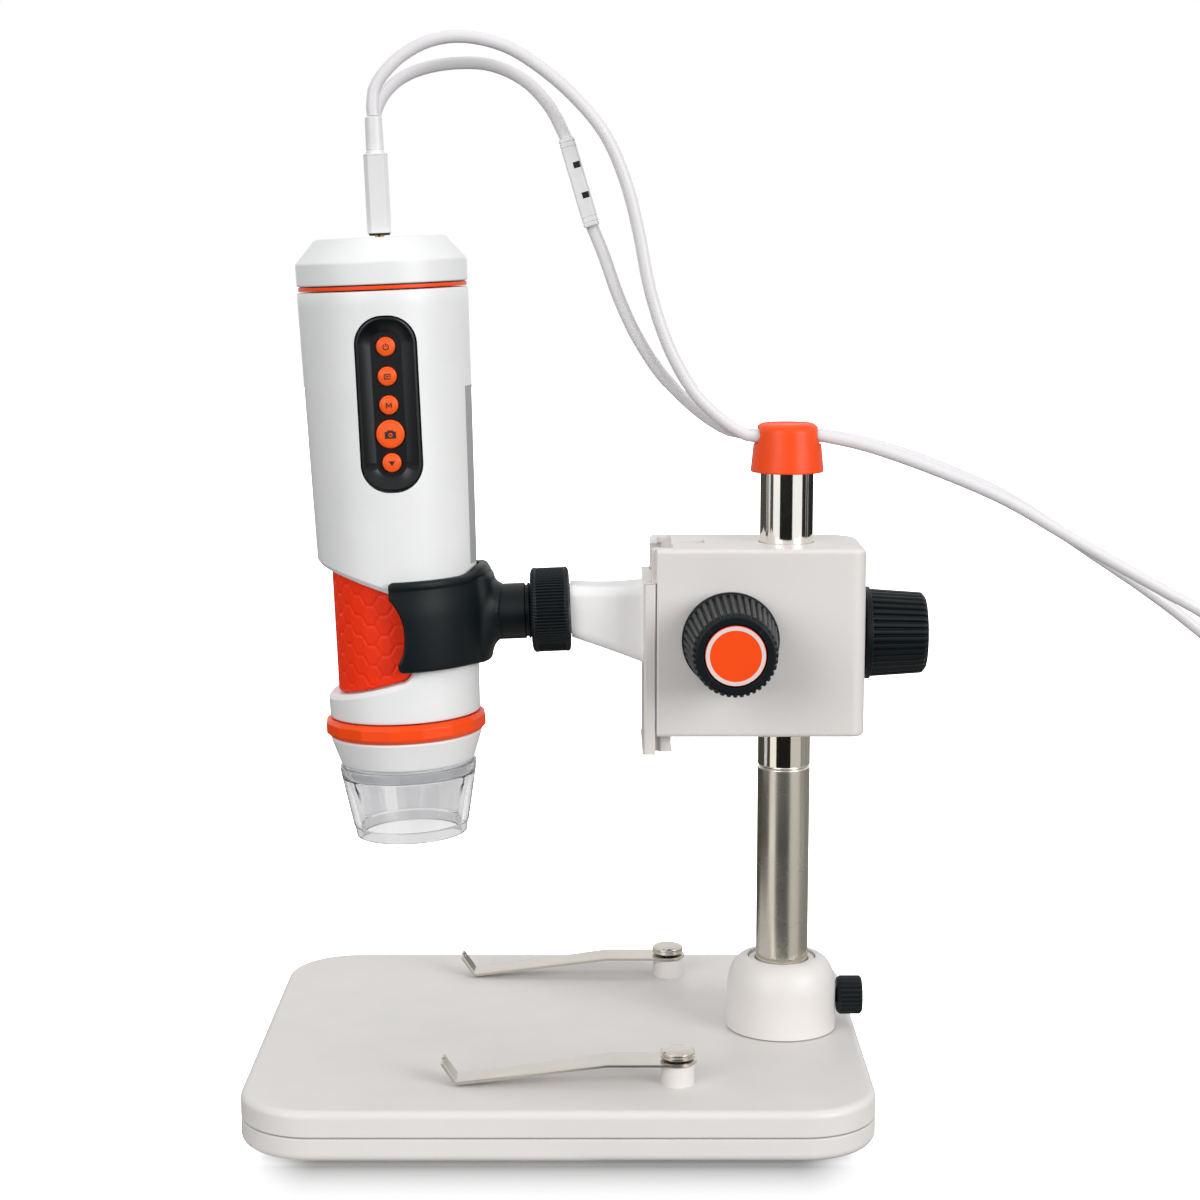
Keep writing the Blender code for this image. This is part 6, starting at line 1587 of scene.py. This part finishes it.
    def focus_knob(self, name: str, place: Place) -> bpy.types.Object:
        """A tapering knob with 40 rounded flutes, a plain rim at its root and a seat in its
        face."""
        line = [(2.2, 16.3), (6.0, 16.3), (6.0, 25.0), (9.6, 25.0), (9.6, 19.3), (11.75, 19.3),
                (11.75, 20.5), (11.4, 20.9), (9.95, 41.0), (9.1, 42.1), (7.4, 42.1), (7.4, 40.9),
                (2.2, 40.9)]
        radii = (0.1, 0.2, 0.3, 0.3, 0.3, 0.3, 0.2, 0.2, 0.9, 0.5, 0.2, 0.1, 0.1)
        return self.knob(name, line, radii, 40, (9.7, 11.5), place)

    def knobs(self) -> None:
        """Both focus knobs with their shaft and badge, and the lock knob with its screw."""
        near, far = (POST.at(*DRIVE).faced(side) for side in ("-Y", "+Y"))
        for name, place, node in (("focus_knob_near", near, "focus_knob_front"),
                                  ("focus_knob_far", far, "focus_knob_rear")):
            dress(self.focus_knob(name, place), CHARCOAL, "focus_drive", "charcoal", node)
        badge = lathe("badge_disc", [(0, 41.2), (7.1, 41.2), (7.1, 42.2), (0, 42.2)],
                      (0, 0.1, 0.35, 0), near, steps=5, sharp=35)
        dress(badge, ORANGE, "focus_drive", "orange", "focus_knob_badge")
        ring = lathe("badge_ring", [(6.0, 42.0), (6.95, 42.0), (6.95, 42.24), (6.0, 42.24)], 0.06,
                     near, steps=2, closed=True)
        dress(ring, PALE_INK, "focus_drive", "orange")
        line = [(2.8, 19.1), (5.0, 19.1), (5.0, 25.0), (8.6, 25.0), (8.6, 19.1), (11.45, 19.1),
                (11.45, 20.7), (10.9, 20.7), (10.0, 33.6), (8.9, 34.5), (0, 34.5), (0, 27),
                (2.8, 27)]
        radii = (0.1, 0.2, 0.3, 0.3, 0.3, 0.4, 0.4, 0.2, 0.8, 0.5, 0, 0, 0)
        lock = self.knob("lock_knob_fluted", line, radii, 38, (9.5, 11.0),
                         POST.at(*LOCK).faced("+X"))
        dress(lock, CHARCOAL, "lock_knob", "charcoal", "height_lock_knob")

    def build(self) -> None:
        """The block and everything that moves on it."""
        dress(self.housing(), STAND_WHITE, "housing", "stand_white", "focus_housing")
        bush = lathe("bush_sleeve", [(6.8, 79.3), (8.2, 79.3), (8.2, 122.1), (6.8, 122.1)], 0.25,
                     POST, steps=3, closed=True)
        dress(bush, TURNED_BRASS, "height_bush", "brass", "guide_bush")
        dress(self.slide(), STAND_WHITE, "focus_carriage", "stand_white", "carriage")
        # The arm's white is the stand's painted lighter: painted light
        dress(self.arm(), ARM_WHITE_PAINTED_LIGHT, "focus_carriage", "stand_white")
        dress(self.collet(), STAND_WHITE, "focus_carriage", "stand_white")
        self.knobs()


# The post, the base and the stage clips


@dataclass
class Stand:
    """The base, the post with its cap, and the two clips; sizes in millimetres from the post's
    foot."""

    left: float = -130.5
    right: float = 19.0
    half: float = 62.5
    corner: float = 18.0
    foot_in: float = 16
    stud_x: float = -27.6
    stud_y: float = 42.5
    leaf_half: float = 4.5
    lip_half: float = 3.5
    leaf_thick: float = 0.8

    def outline(self, inwards: float = 0.0) -> Array:
        """The plate seen from above."""
        return box_outline(self.left + inwards, self.right - inwards, -self.half + inwards,
                           self.half - inwards, self.corner - inwards, 20)

    def base(self) -> None:
        """The upper shell with its clip posts, the lower plate, and the feet."""
        bosses = []
        for side in (-1, 1):
            post = rounded([(0, -1.0), (4.6, -1.0), (3.95, 0.0), (3.9, 4.8), (0, 4.8)],
                           (0, 0.1, 0.5, 0.3, 0), False, 4)
            points, faces = turned(post * MM, 64)
            bosses.append((points + np.array((self.stud_x, side * self.stud_y, 0)) * MM, faces))
        # Both plates get the stand's white painted a shade darker: painted shade
        top = slab(self.outline() * MM, -6.1 * MM, 0, 0.25 * MM, 1.8 * MM, 8)
        shell = mesh_object("base_upper", together(top, *bosses), POST, 30)
        dress(shell, BASE_WHITE_PAINTED_SHADE, "base", "stand_white", "base_top_shell")
        # A grey strip in the groove between the plates: painted shade in the seam
        groove = mesh_object("base_seam", slab(self.outline(0.55) * MM, -6.8 * MM, -5.8 * MM), POST)
        dress(groove, SEAM_SHADE, "base", "stand_white")
        low = slab(self.outline() * MM, -12.0 * MM, -6.5 * MM, 1.8 * MM, 0.25 * MM, 8)
        dress(mesh_object("base_lower", low, POST, 30), BASE_WHITE_PAINTED_SHADE, "base", "stand_white",
              "base_bottom_plate")
        for across, y in (("front", -self.half + self.foot_in), ("rear", self.half - self.foot_in)):
            for along, x in (("left", self.left + self.foot_in),
                             ("right", self.right - self.foot_in)):
                foot = lathe(f"pad_{across}_{along}", [(0, -13), (6.5, -13), (6.5, -11.4),
                                                       (0, -11.4)], (0, 0.4, 0.1, 0),
                             POST.at(x * MM, y * MM, 0), 64, 3)
                dress(foot, FOOT_RUBBER, "base", "foot_rubber", f"foot_{across}_{along}")

    def post(self) -> None:
        """The two lengths of the post with the groove between them, the socket, its liner and
        screw, and the cap."""
        lower = lathe("post_satin", [(0, 0.3), (6.5, 0.3), (6.5, 67.2), (6.1, 67.5), (0, 67.5)],
                      (0, 0.3, 0.3, 0.1, 0), POST, 128)
        dress(lower, SATIN_NICKEL, "base", "satin_steel", "post_lower")
        upper = lathe("post_bright", [(0, 67.6), (6.1, 67.6), (6.5, 68.0), (6.5, 145.6), (6.1, 146),
                                      (0, 146)], (0, 0.1, 0.2, 0.2, 0.2, 0), POST, 128)
        dress(upper, BRIGHT_CHROME, "base", "bright_steel", "post_upper")
        dome = [(8.6, 0.3), (13.7, 0.3), (13.7, 10.0)]
        dome += [(9.3 + 4.4 * math.cos(a), 10 + 8.4 * math.sin(a))
                 for a in np.radians(np.linspace(6, 84, 16))]
        dome += [(9.3, 18.4), (8.6, 18.4)]
        socket = lathe("socket_dome", dome, 0.0, POST, 160, closed=True, sharp=30)
        carve(socket, [drill("screw_way", 2.4, 6, 16, POST.at(*SCREW).faced("+X"))], sharp=30)
        dress(socket, STAND_WHITE, "base", "stand_white", "post_socket")
        liner = lathe("liner_ring", [(6.8, 0.3), (8.3, 0.3), (8.3, 17.9), (6.8, 17.9)], 0.2, POST,
                      128, 3, True)
        dress(liner, STAND_WHITE, "base", "stand_white", "socket_liner")
        self.thumbscrew()
        self.cap()

    def thumbscrew(self) -> None:
        """The fluted head at the socket's side, and its shank."""
        flutes = 24
        line = [(0, 6.8), (2.0, 6.8), (2.0, 14.0), (4.2, 14.0), (4.85, 14.8), (4.85, 19.8),
                (4.3, 20.3), (0, 20.3)]
        head = lathe("thumbscrew", line, (0, 0.2, 0.1, 0.1, 0.2, 0.2, 0.3, 0),
                     POST.at(*SCREW).faced("+X"), flutes * 10, 3, sharp=40,
                     radial=fluted(flutes, 4.6, 5.0, 0.30))
        dress(head, CHARCOAL, "post_screw", "charcoal", "post_lock_screw")

    def cap(self) -> None:
        """The orange cap, rounded over the top, with the leads' keyhole through it."""
        cap = lathe("cap_block", [(0, 146.3), (6.8, 146.3), (6.8, 141), (9.0, 141), (7.8, 153),
                                  (0, 153)], (0, 0.1, 0.1, 0.35, 2.4, 0), POST, 144, 10, sharp=30)
        bore, aside, axis = 2.1, 1.95, 149.9
        low = arc_line(bore, -90, 90, 14, (aside, axis))
        high = arc_line(bore, 90, 270, 14, (-aside, axis))
        outline = np.vstack([low, [(1.5, 152.0), (1.5, 155), (-1.5, 155), (-1.5, 152.0)],
                             high]) * MM
        tunnel = mesh_object("tunnel", slab(outline, -12 * MM, 12 * MM),
                             Place(POST.origin, ((0, 1, 0), (0, 0, 1), (1, 0, 0))))
        dress(carve(cap, [tunnel], sharp=30), ORANGE, "base", "orange", "post_cap")

    def leaf(self, name: str, side: int) -> None:
        """One sprung leaf: its line runs level from the stud, bends down to the plate and up again
        at the lip, and its half width narrows outwards and closes in a half circle round the
        stud."""
        line = rounded([(-4.5, 5.1), (16.5, 5.1), (52.4, 0.35), (55.9, 5.5)], (0, 6.0, 1.2, 0),
                       False, 10)
        walked = np.concatenate([[0], np.cumsum(np.linalg.norm(np.diff(line, axis=0), axis=1))])
        root = self.leaf_half
        marks = np.unique(np.concatenate([root - root * np.cos(np.linspace(0, math.pi / 2, 16)),
                                          walked[walked > root],
                                          np.linspace(root, walked[-1], 90)]))
        run, rise = (np.interp(marks, walked, line[:, k]) for k in range(2))
        half = root + (self.lip_half - root) * np.clip((marks - 20) / 36, 0, 1)
        round_end = np.sqrt(np.clip(root ** 2 - (root - marks) ** 2, 0.0004, None))
        half = np.where(marks < root, round_end, half)
        slope = np.gradient(np.column_stack([run, rise]), axis=0)
        slope /= np.linalg.norm(slope, axis=1, keepdims=True)
        across = np.linspace(-1, 1, 17)[None, :]
        edge = 0.12 * (np.abs(across) > 0.99)
        sheets = []
        for offset in (self.leaf_thick, 0.0):
            lift = offset - edge * (1 if offset else -1)
            x = -(run[:, None] - slope[:, 1:2] * lift)
            z = rise[:, None] + slope[:, :1] * lift
            sheets.append(np.stack([x, half[:, None] * across + 0 * x, z], -1))
        place = POST.at(self.stud_x * MM, side * self.stud_y * MM, 0)
        leaf = mesh_object(f"leaf_{name}", in_metres(sheet_solid(*sheets)), place, 35)
        notch = mesh_object("lip_notch", slab(box_outline(-58, -54.6, -0.9, 0.9, 0.5) * MM, 0,
                                              8 * MM), place)
        carve(leaf, [notch, drill("pin_hole", 1.8, 4, 7, place, 32)], sharp=35)
        dress(leaf, SPRING_STEEL, f"{name}_leaf", "satin_steel", f"clip_leaf_{name}")
        line = [(0, 2.0), (1.5, 2.0), (1.5, 6.2), (3.7, 6.2), (4.1, 6.5), (4.1, 7.0), (3.9, 7.1),
                (3.9, 7.3), (4.1, 7.4), (4.05, 7.8), (3.6, 8.25), (2.4, 8.45), (0, 8.5)]
        stud = lathe(f"stud_{name}", line, 0.12, place, 72, 2, sharp=30)
        dress(stud, SPRING_STEEL, "base", "satin_steel", f"clip_stud_{name}")

    def build(self) -> None:
        """The base, the post and both clips."""
        self.base()
        self.post()
        self.leaf("front", -1)
        self.leaf("rear", 1)


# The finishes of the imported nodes, for those that stay in view


CARRIED: dict[Finish, str] = {
    BASE_WHITE_PAINTED_SHADE: "base_top_shell base_bottom_plate",
    ZINC_STEEL: "base_weight",
    FOOT_RUBBER: "foot_front_left foot_front_right foot_rear_left foot_rear_right",
    STAND_WHITE: "post_socket socket_liner focus_housing carriage",
    SATIN_NICKEL: "post_lower height_lock_screw pinion_shaft",
    BRIGHT_CHROME: "post_upper",
    ORANGE: "post_cap focus_knob_badge trim_ring focus_ring",
    CHARCOAL: ("post_lock_screw height_lock_knob focus_knob_front focus_knob_rear "
               "arm_nut holder_clip"),
    SPRING_STEEL: "clip_leaf_front clip_leaf_rear clip_stud_front clip_stud_rear",
    TURNED_BRASS: "guide_bush focus_rack",
    HEAD_WHITE: "body_shell top_cap nose_skirt lamp_ring",
    GRIP_RUBBER: "grip_pad",
    PANEL_CHARCOAL: "button_panel",
    BUTTON_ORANGE: "button_power button_play button_mode button_capture button_down",
    SOLDER_MASK: "main_board sensor_board",
    BLACK_ANODISED: "lens_barrel",
    OPTICAL_GLASS: "objective_lens",
    CLEAR_ACRYLIC: "clear_tip",
    PLUG_WHITE: "plug_front plug_rear inline_module connector_front connector_rear",
    CORD_JACKET: ("lead_front_arch lead_rear_upper lead_rear_lower lead_front_drop lead_rear_drop "
                  "coil_front coil_rear"),
}


# Floor, lights and camera


@dataclass
class Studio:
    """A white table that runs to a white background, three soft lamps and the photograph's
    camera."""

    camera_place: tuple[float, float, float] = (2.07 * MM, -587.6 * MM, 208.94 * MM)
    camera_pitch: float = 81.595
    lens: float = 72.0
    sensor: float = 36.0
    clip: tuple[float, float] = (0.01, 20.0)
    floor_size: float = 6.0
    world_level: float = 0.50
    lamps: tuple[tuple[tuple[float, float, float], float, float], ...] = (
        ((-0.75, -1.10, 0.62), 0.80, 7.5),
        ((0.98, -0.90, 0.55), 0.70, 10.9),
        ((-0.10, 0.30, 1.30), 1.00, 2.3),
    )
    aim: tuple[float, float, float] = (0.0, 0.0, 0.1)
    # The painted shadow on the floor in front of the base: the base's footprint, how fast the shadow fades
    # beside and behind it, its reach, its share of the white at the edge, and where it ends
    base_middle: float = POST_X - 55.75 * MM
    base_half: float = 74.75 * MM
    base_deep: float = 62.5 * MM
    base_corner: float = 18 * MM
    side_fade: float = 20 * MM
    side_haste: float = 2.1
    rear_haste: float = 2.0
    painted_shadow_reach: float = 24 * MM
    painted_shadow_share: float = 0.27
    open_from_to: tuple[float, float] = (20 * MM, 60 * MM)
    paper: str = "#b4b4b4"
    paper_from_to: tuple[float, float] = (0.14, 0.34)
    camera_white: float = 1.3
    bands_far_from: float = 0.70
    near_bands: tuple[tuple[float, str], ...] = ((-180.0, "#48453d"), (-68.0, "#faf6ec"),
                                                 (-38.0, "#1c1b18"), (25.0, "#c9c6bc"),
                                                 (74.0, "#8f8d85"))
    far_bands: tuple[tuple[float, str], ...] = ((-180.0, "#4c4a45"), (-65.0, "#ffffff"),
                                                (-35.0, "#101010"), (21.0, "#ffffff"),
                                                (65.0, "#24231f"), (89.0, "#57554f"),
                                                (106.0, "#26272a"))

    def white_to_view(self, tree: bpy.types.NodeTree) -> bpy.types.NodeSocket:
        """1 for rays from the camera, off glossy surfaces and through clear ones, and 0 for the
        light itself."""
        path = add_node(tree, "ShaderNodeLightPath").outputs
        seen = sum_of(tree, "MAXIMUM", path["Is Camera Ray"], path["Is Glossy Ray"])
        return sum_of(tree, "MAXIMUM", seen, path["Is Transmission Ray"])

    def build_world(self) -> None:
        """White to the eye, and a plain grey level as light."""
        world = bpy.data.worlds.new("studio")
        bpy.context.scene.world = world
        world.use_nodes = True
        tree = world.node_tree
        back = tree.nodes["Background"]
        back.inputs["Color"].default_value = (1, 1, 1, 1)
        level = ramp_of(tree, self.white_to_view(tree), 0.0, 1.0, self.world_level)
        tree.links.new(level, back.inputs["Strength"])

    def glow_share_with_painted_shadow(self, tree: bpy.types.NodeTree,
                   place: bpy.types.NodeSocket) -> bpy.types.NodeSocket:
        """How much of the view-only white each point of the floor gets; it is held back in front of the
        base, which leaves the diffuse shade there and adds a painted shadow.

        With d the way out from the base's front edge, which grows faster towards the base's sides
        and its rear, the share is the painted shadow's share times (1 - (1 - d / reach) squared),
        and a smooth step takes it on to 1 farther out. The law was fitted to the shade in the
        photograph.

        Args:
            tree: The floor's node tree.
            place: The socket with the point on the floor.

        Returns:
            The share's socket.
        """

        split = add_node(tree, "ShaderNodeSeparateXYZ", {0: place})
        across = sum_of(tree, "ABSOLUTE", sum_of(tree, "SUBTRACT", split.outputs["X"],
                                                 self.base_middle))
        beside = sum_of(tree, "MAXIMUM", sum_of(tree, "SUBTRACT", across,
                                                self.base_half - self.side_fade), 0.0)
        beside = sum_of(tree, "MULTIPLY", beside, self.side_haste)
        front = sum_of(tree, "MULTIPLY", split.outputs["Y"], -1.0)
        before = sum_of(tree, "MAXIMUM", sum_of(tree, "SUBTRACT", front,
                                                self.base_deep - self.base_corner), 0.0)
        squares = sum_of(tree, "ADD", sum_of(tree, "POWER", beside, 2.0),
                         sum_of(tree, "POWER", before, 2.0))
        behind = sum_of(tree, "MAXIMUM", sum_of(tree, "SUBTRACT", self.base_deep, front), 0.0)
        behind = sum_of(tree, "MULTIPLY", behind, self.rear_haste)
        ring = sum_of(tree, "SUBTRACT", sum_of(tree, "SQRT", squares), self.base_corner)
        out = sum_of(tree, "ADD", ring, behind)
        near = ramp_of(tree, out, 0.0, self.painted_shadow_reach, 1.0, 0.0)
        soft = sum_of(tree, "SUBTRACT", 1.0, sum_of(tree, "POWER", near, 2.0))
        soft = sum_of(tree, "MULTIPLY", soft, self.painted_shadow_share)
        far = ramp_of(tree, out, *self.open_from_to, 0.0, 1 - self.painted_shadow_share,
                      interpolation_type="SMOOTHSTEP")
        return sum_of(tree, "ADD", soft, far)

    def band_colour(self, tree: bpy.types.NodeTree,
                    place: bpy.types.NodeSocket) -> bpy.types.NodeSocket:
        """The shades that the floor shows to reflections: sectors about the post, as a studio's
        white and black boards round a set would give them, one set near the post and one farther
        out.

        Args:
            tree: The floor's node tree.
            place: The socket with the point on the floor.

        Returns:
            The colour's socket.
        """
        split = add_node(tree, "ShaderNodeSeparateXYZ", {0: place})
        right = sum_of(tree, "SUBTRACT", split.outputs["X"], POST_X)
        front = sum_of(tree, "MULTIPLY", split.outputs["Y"], -1.0)
        share = ramp_of(tree, sum_of(tree, "ARCTAN2", right, front), -math.pi, math.pi)
        colours = []
        for bands in (self.near_bands, self.far_bands):
            ramp = add_node(tree, "ShaderNodeValToRGB", {0: share})
            ramp.color_ramp.interpolation = "CONSTANT"
            stops = ramp.color_ramp.elements
            stops[0].position, stops[0].color = 0.0, linear(bands[0][1])
            stops.remove(stops[1])
            for start, tone in bands[1:]:
                stop = stops.new(start / 360 + 0.5)
                stop.color = linear(tone)
            colours.append(ramp.outputs["Color"])
        flat = add_node(tree, "ShaderNodeCombineXYZ", {0: right, 1: front})
        reach = add_node(tree, "ShaderNodeVectorMath", {0: flat.outputs[0]},
                         operation="LENGTH").outputs["Value"]
        far = sum_of(tree, "GREATER_THAN", reach, self.bands_far_from)
        return add_node(tree, "ShaderNodeMix", {0: far, 6: colours[0], 7: colours[1]},
                        data_type="RGBA").outputs[2]

    def build_floor(self) -> None:
        """A plane that is diffuse round the object, so that it keeps the shadow, with a white that
        only views see, held back in front of the base as a painted shadow, and the bands that only
        reflections see."""
        half = self.floor_size / 2
        corners = np.array([(-half, -half, 0), (half, -half, 0), (half, half, 0), (-half, half, 0)])
        floor = mesh_object("floor", (corners, [(0, 1, 2, 3)]))
        paper = bpy.data.materials.new("paper_white")
        paper.use_nodes = True
        tree = paper.node_tree
        tree.nodes.clear()
        path = add_node(tree, "ShaderNodeLightPath").outputs
        place = add_node(tree, "ShaderNodeTexCoord").outputs["Object"]
        diffuse = add_node(tree, "ShaderNodeBsdfDiffuse", {"Color": linear(self.paper)}).outputs[0]
        none = add_node(tree, "ShaderNodeEmission", {"Strength": 0.0}).outputs[0]
        away = add_node(tree, "ShaderNodeVectorMath", {0: place},
                        operation="LENGTH").outputs["Value"]
        away = ramp_of(tree, away, *self.paper_from_to, interpolation_type="SMOOTHSTEP")
        dim = add_node(tree, "ShaderNodeMixShader", {0: away, 1: diffuse, 2: none}).outputs[0]
        seen = sum_of(tree, "MULTIPLY_ADD", path["Is Camera Ray"], self.camera_white,
                      self.white_to_view(tree))
        level = sum_of(tree, "MULTIPLY", seen, self.glow_share_with_painted_shadow(tree, place))
        glow = add_node(tree, "ShaderNodeEmission", {"Strength": level}).outputs[0]
        both = add_node(tree, "ShaderNodeAddShader", {0: dim, 1: glow}).outputs[0]
        bands = add_node(tree, "ShaderNodeEmission",
                         {"Color": self.band_colour(tree, place)}).outputs[0]
        straight = sum_of(tree, "SUBTRACT", 1.0, path["Is Transmission Ray"])
        mirrored = sum_of(tree, "MULTIPLY", path["Is Glossy Ray"], straight)
        seen_so = add_node(tree, "ShaderNodeMixShader", {0: mirrored, 1: both, 2: bands})
        add_node(tree, "ShaderNodeOutputMaterial", {"Surface": seen_so.outputs[0]})
        floor.data.materials.append(paper)

    def build_lamps(self) -> None:
        """Square soft lamps that all face the head's joint."""
        for number, (spot, size, power) in enumerate(self.lamps):
            data = bpy.data.lights.new(f"softbox_{number}", "AREA")
            data.size = size
            data.energy = power
            lamp = bpy.data.objects.new(data.name, data)
            bpy.context.scene.collection.objects.link(lamp)
            lamp.location = spot
            lamp.rotation_euler = (Vector(self.aim)
                                   - Vector(spot)).to_track_quat("-Z", "Y").to_euler()

    def build_camera(self) -> None:
        """The camera at the photograph's angle."""
        data = bpy.data.cameras.new("camera")
        data.lens, data.sensor_width = self.lens, self.sensor
        data.clip_start, data.clip_end = self.clip
        camera = bpy.data.objects.new("camera", data)
        bpy.context.scene.collection.objects.link(camera)
        camera.location = self.camera_place
        camera.rotation_euler = (math.radians(self.camera_pitch), 0, 0)
        bpy.context.scene.camera = camera
        bpy.context.scene.view_settings.view_transform = "Standard"

    def build(self) -> None:
        """Everything that isn't the object."""
        self.build_world()
        self.build_floor()
        self.build_lamps()
        self.build_camera()


def main() -> None:
    """Builds the studio, the leads and every sub-assembly in order."""
    logging.basicConfig(level=logging.INFO, format="%(message)s")
    Studio().build()
    for finish, nodes in CARRIED.items():
        for node in nodes.split():
            repaint(node, finish)
    build_leads()
    Microscope().build()
    Holder().build()
    FocusBlock().build()
    Stand().build()


if __name__ == "__main__":
    main()
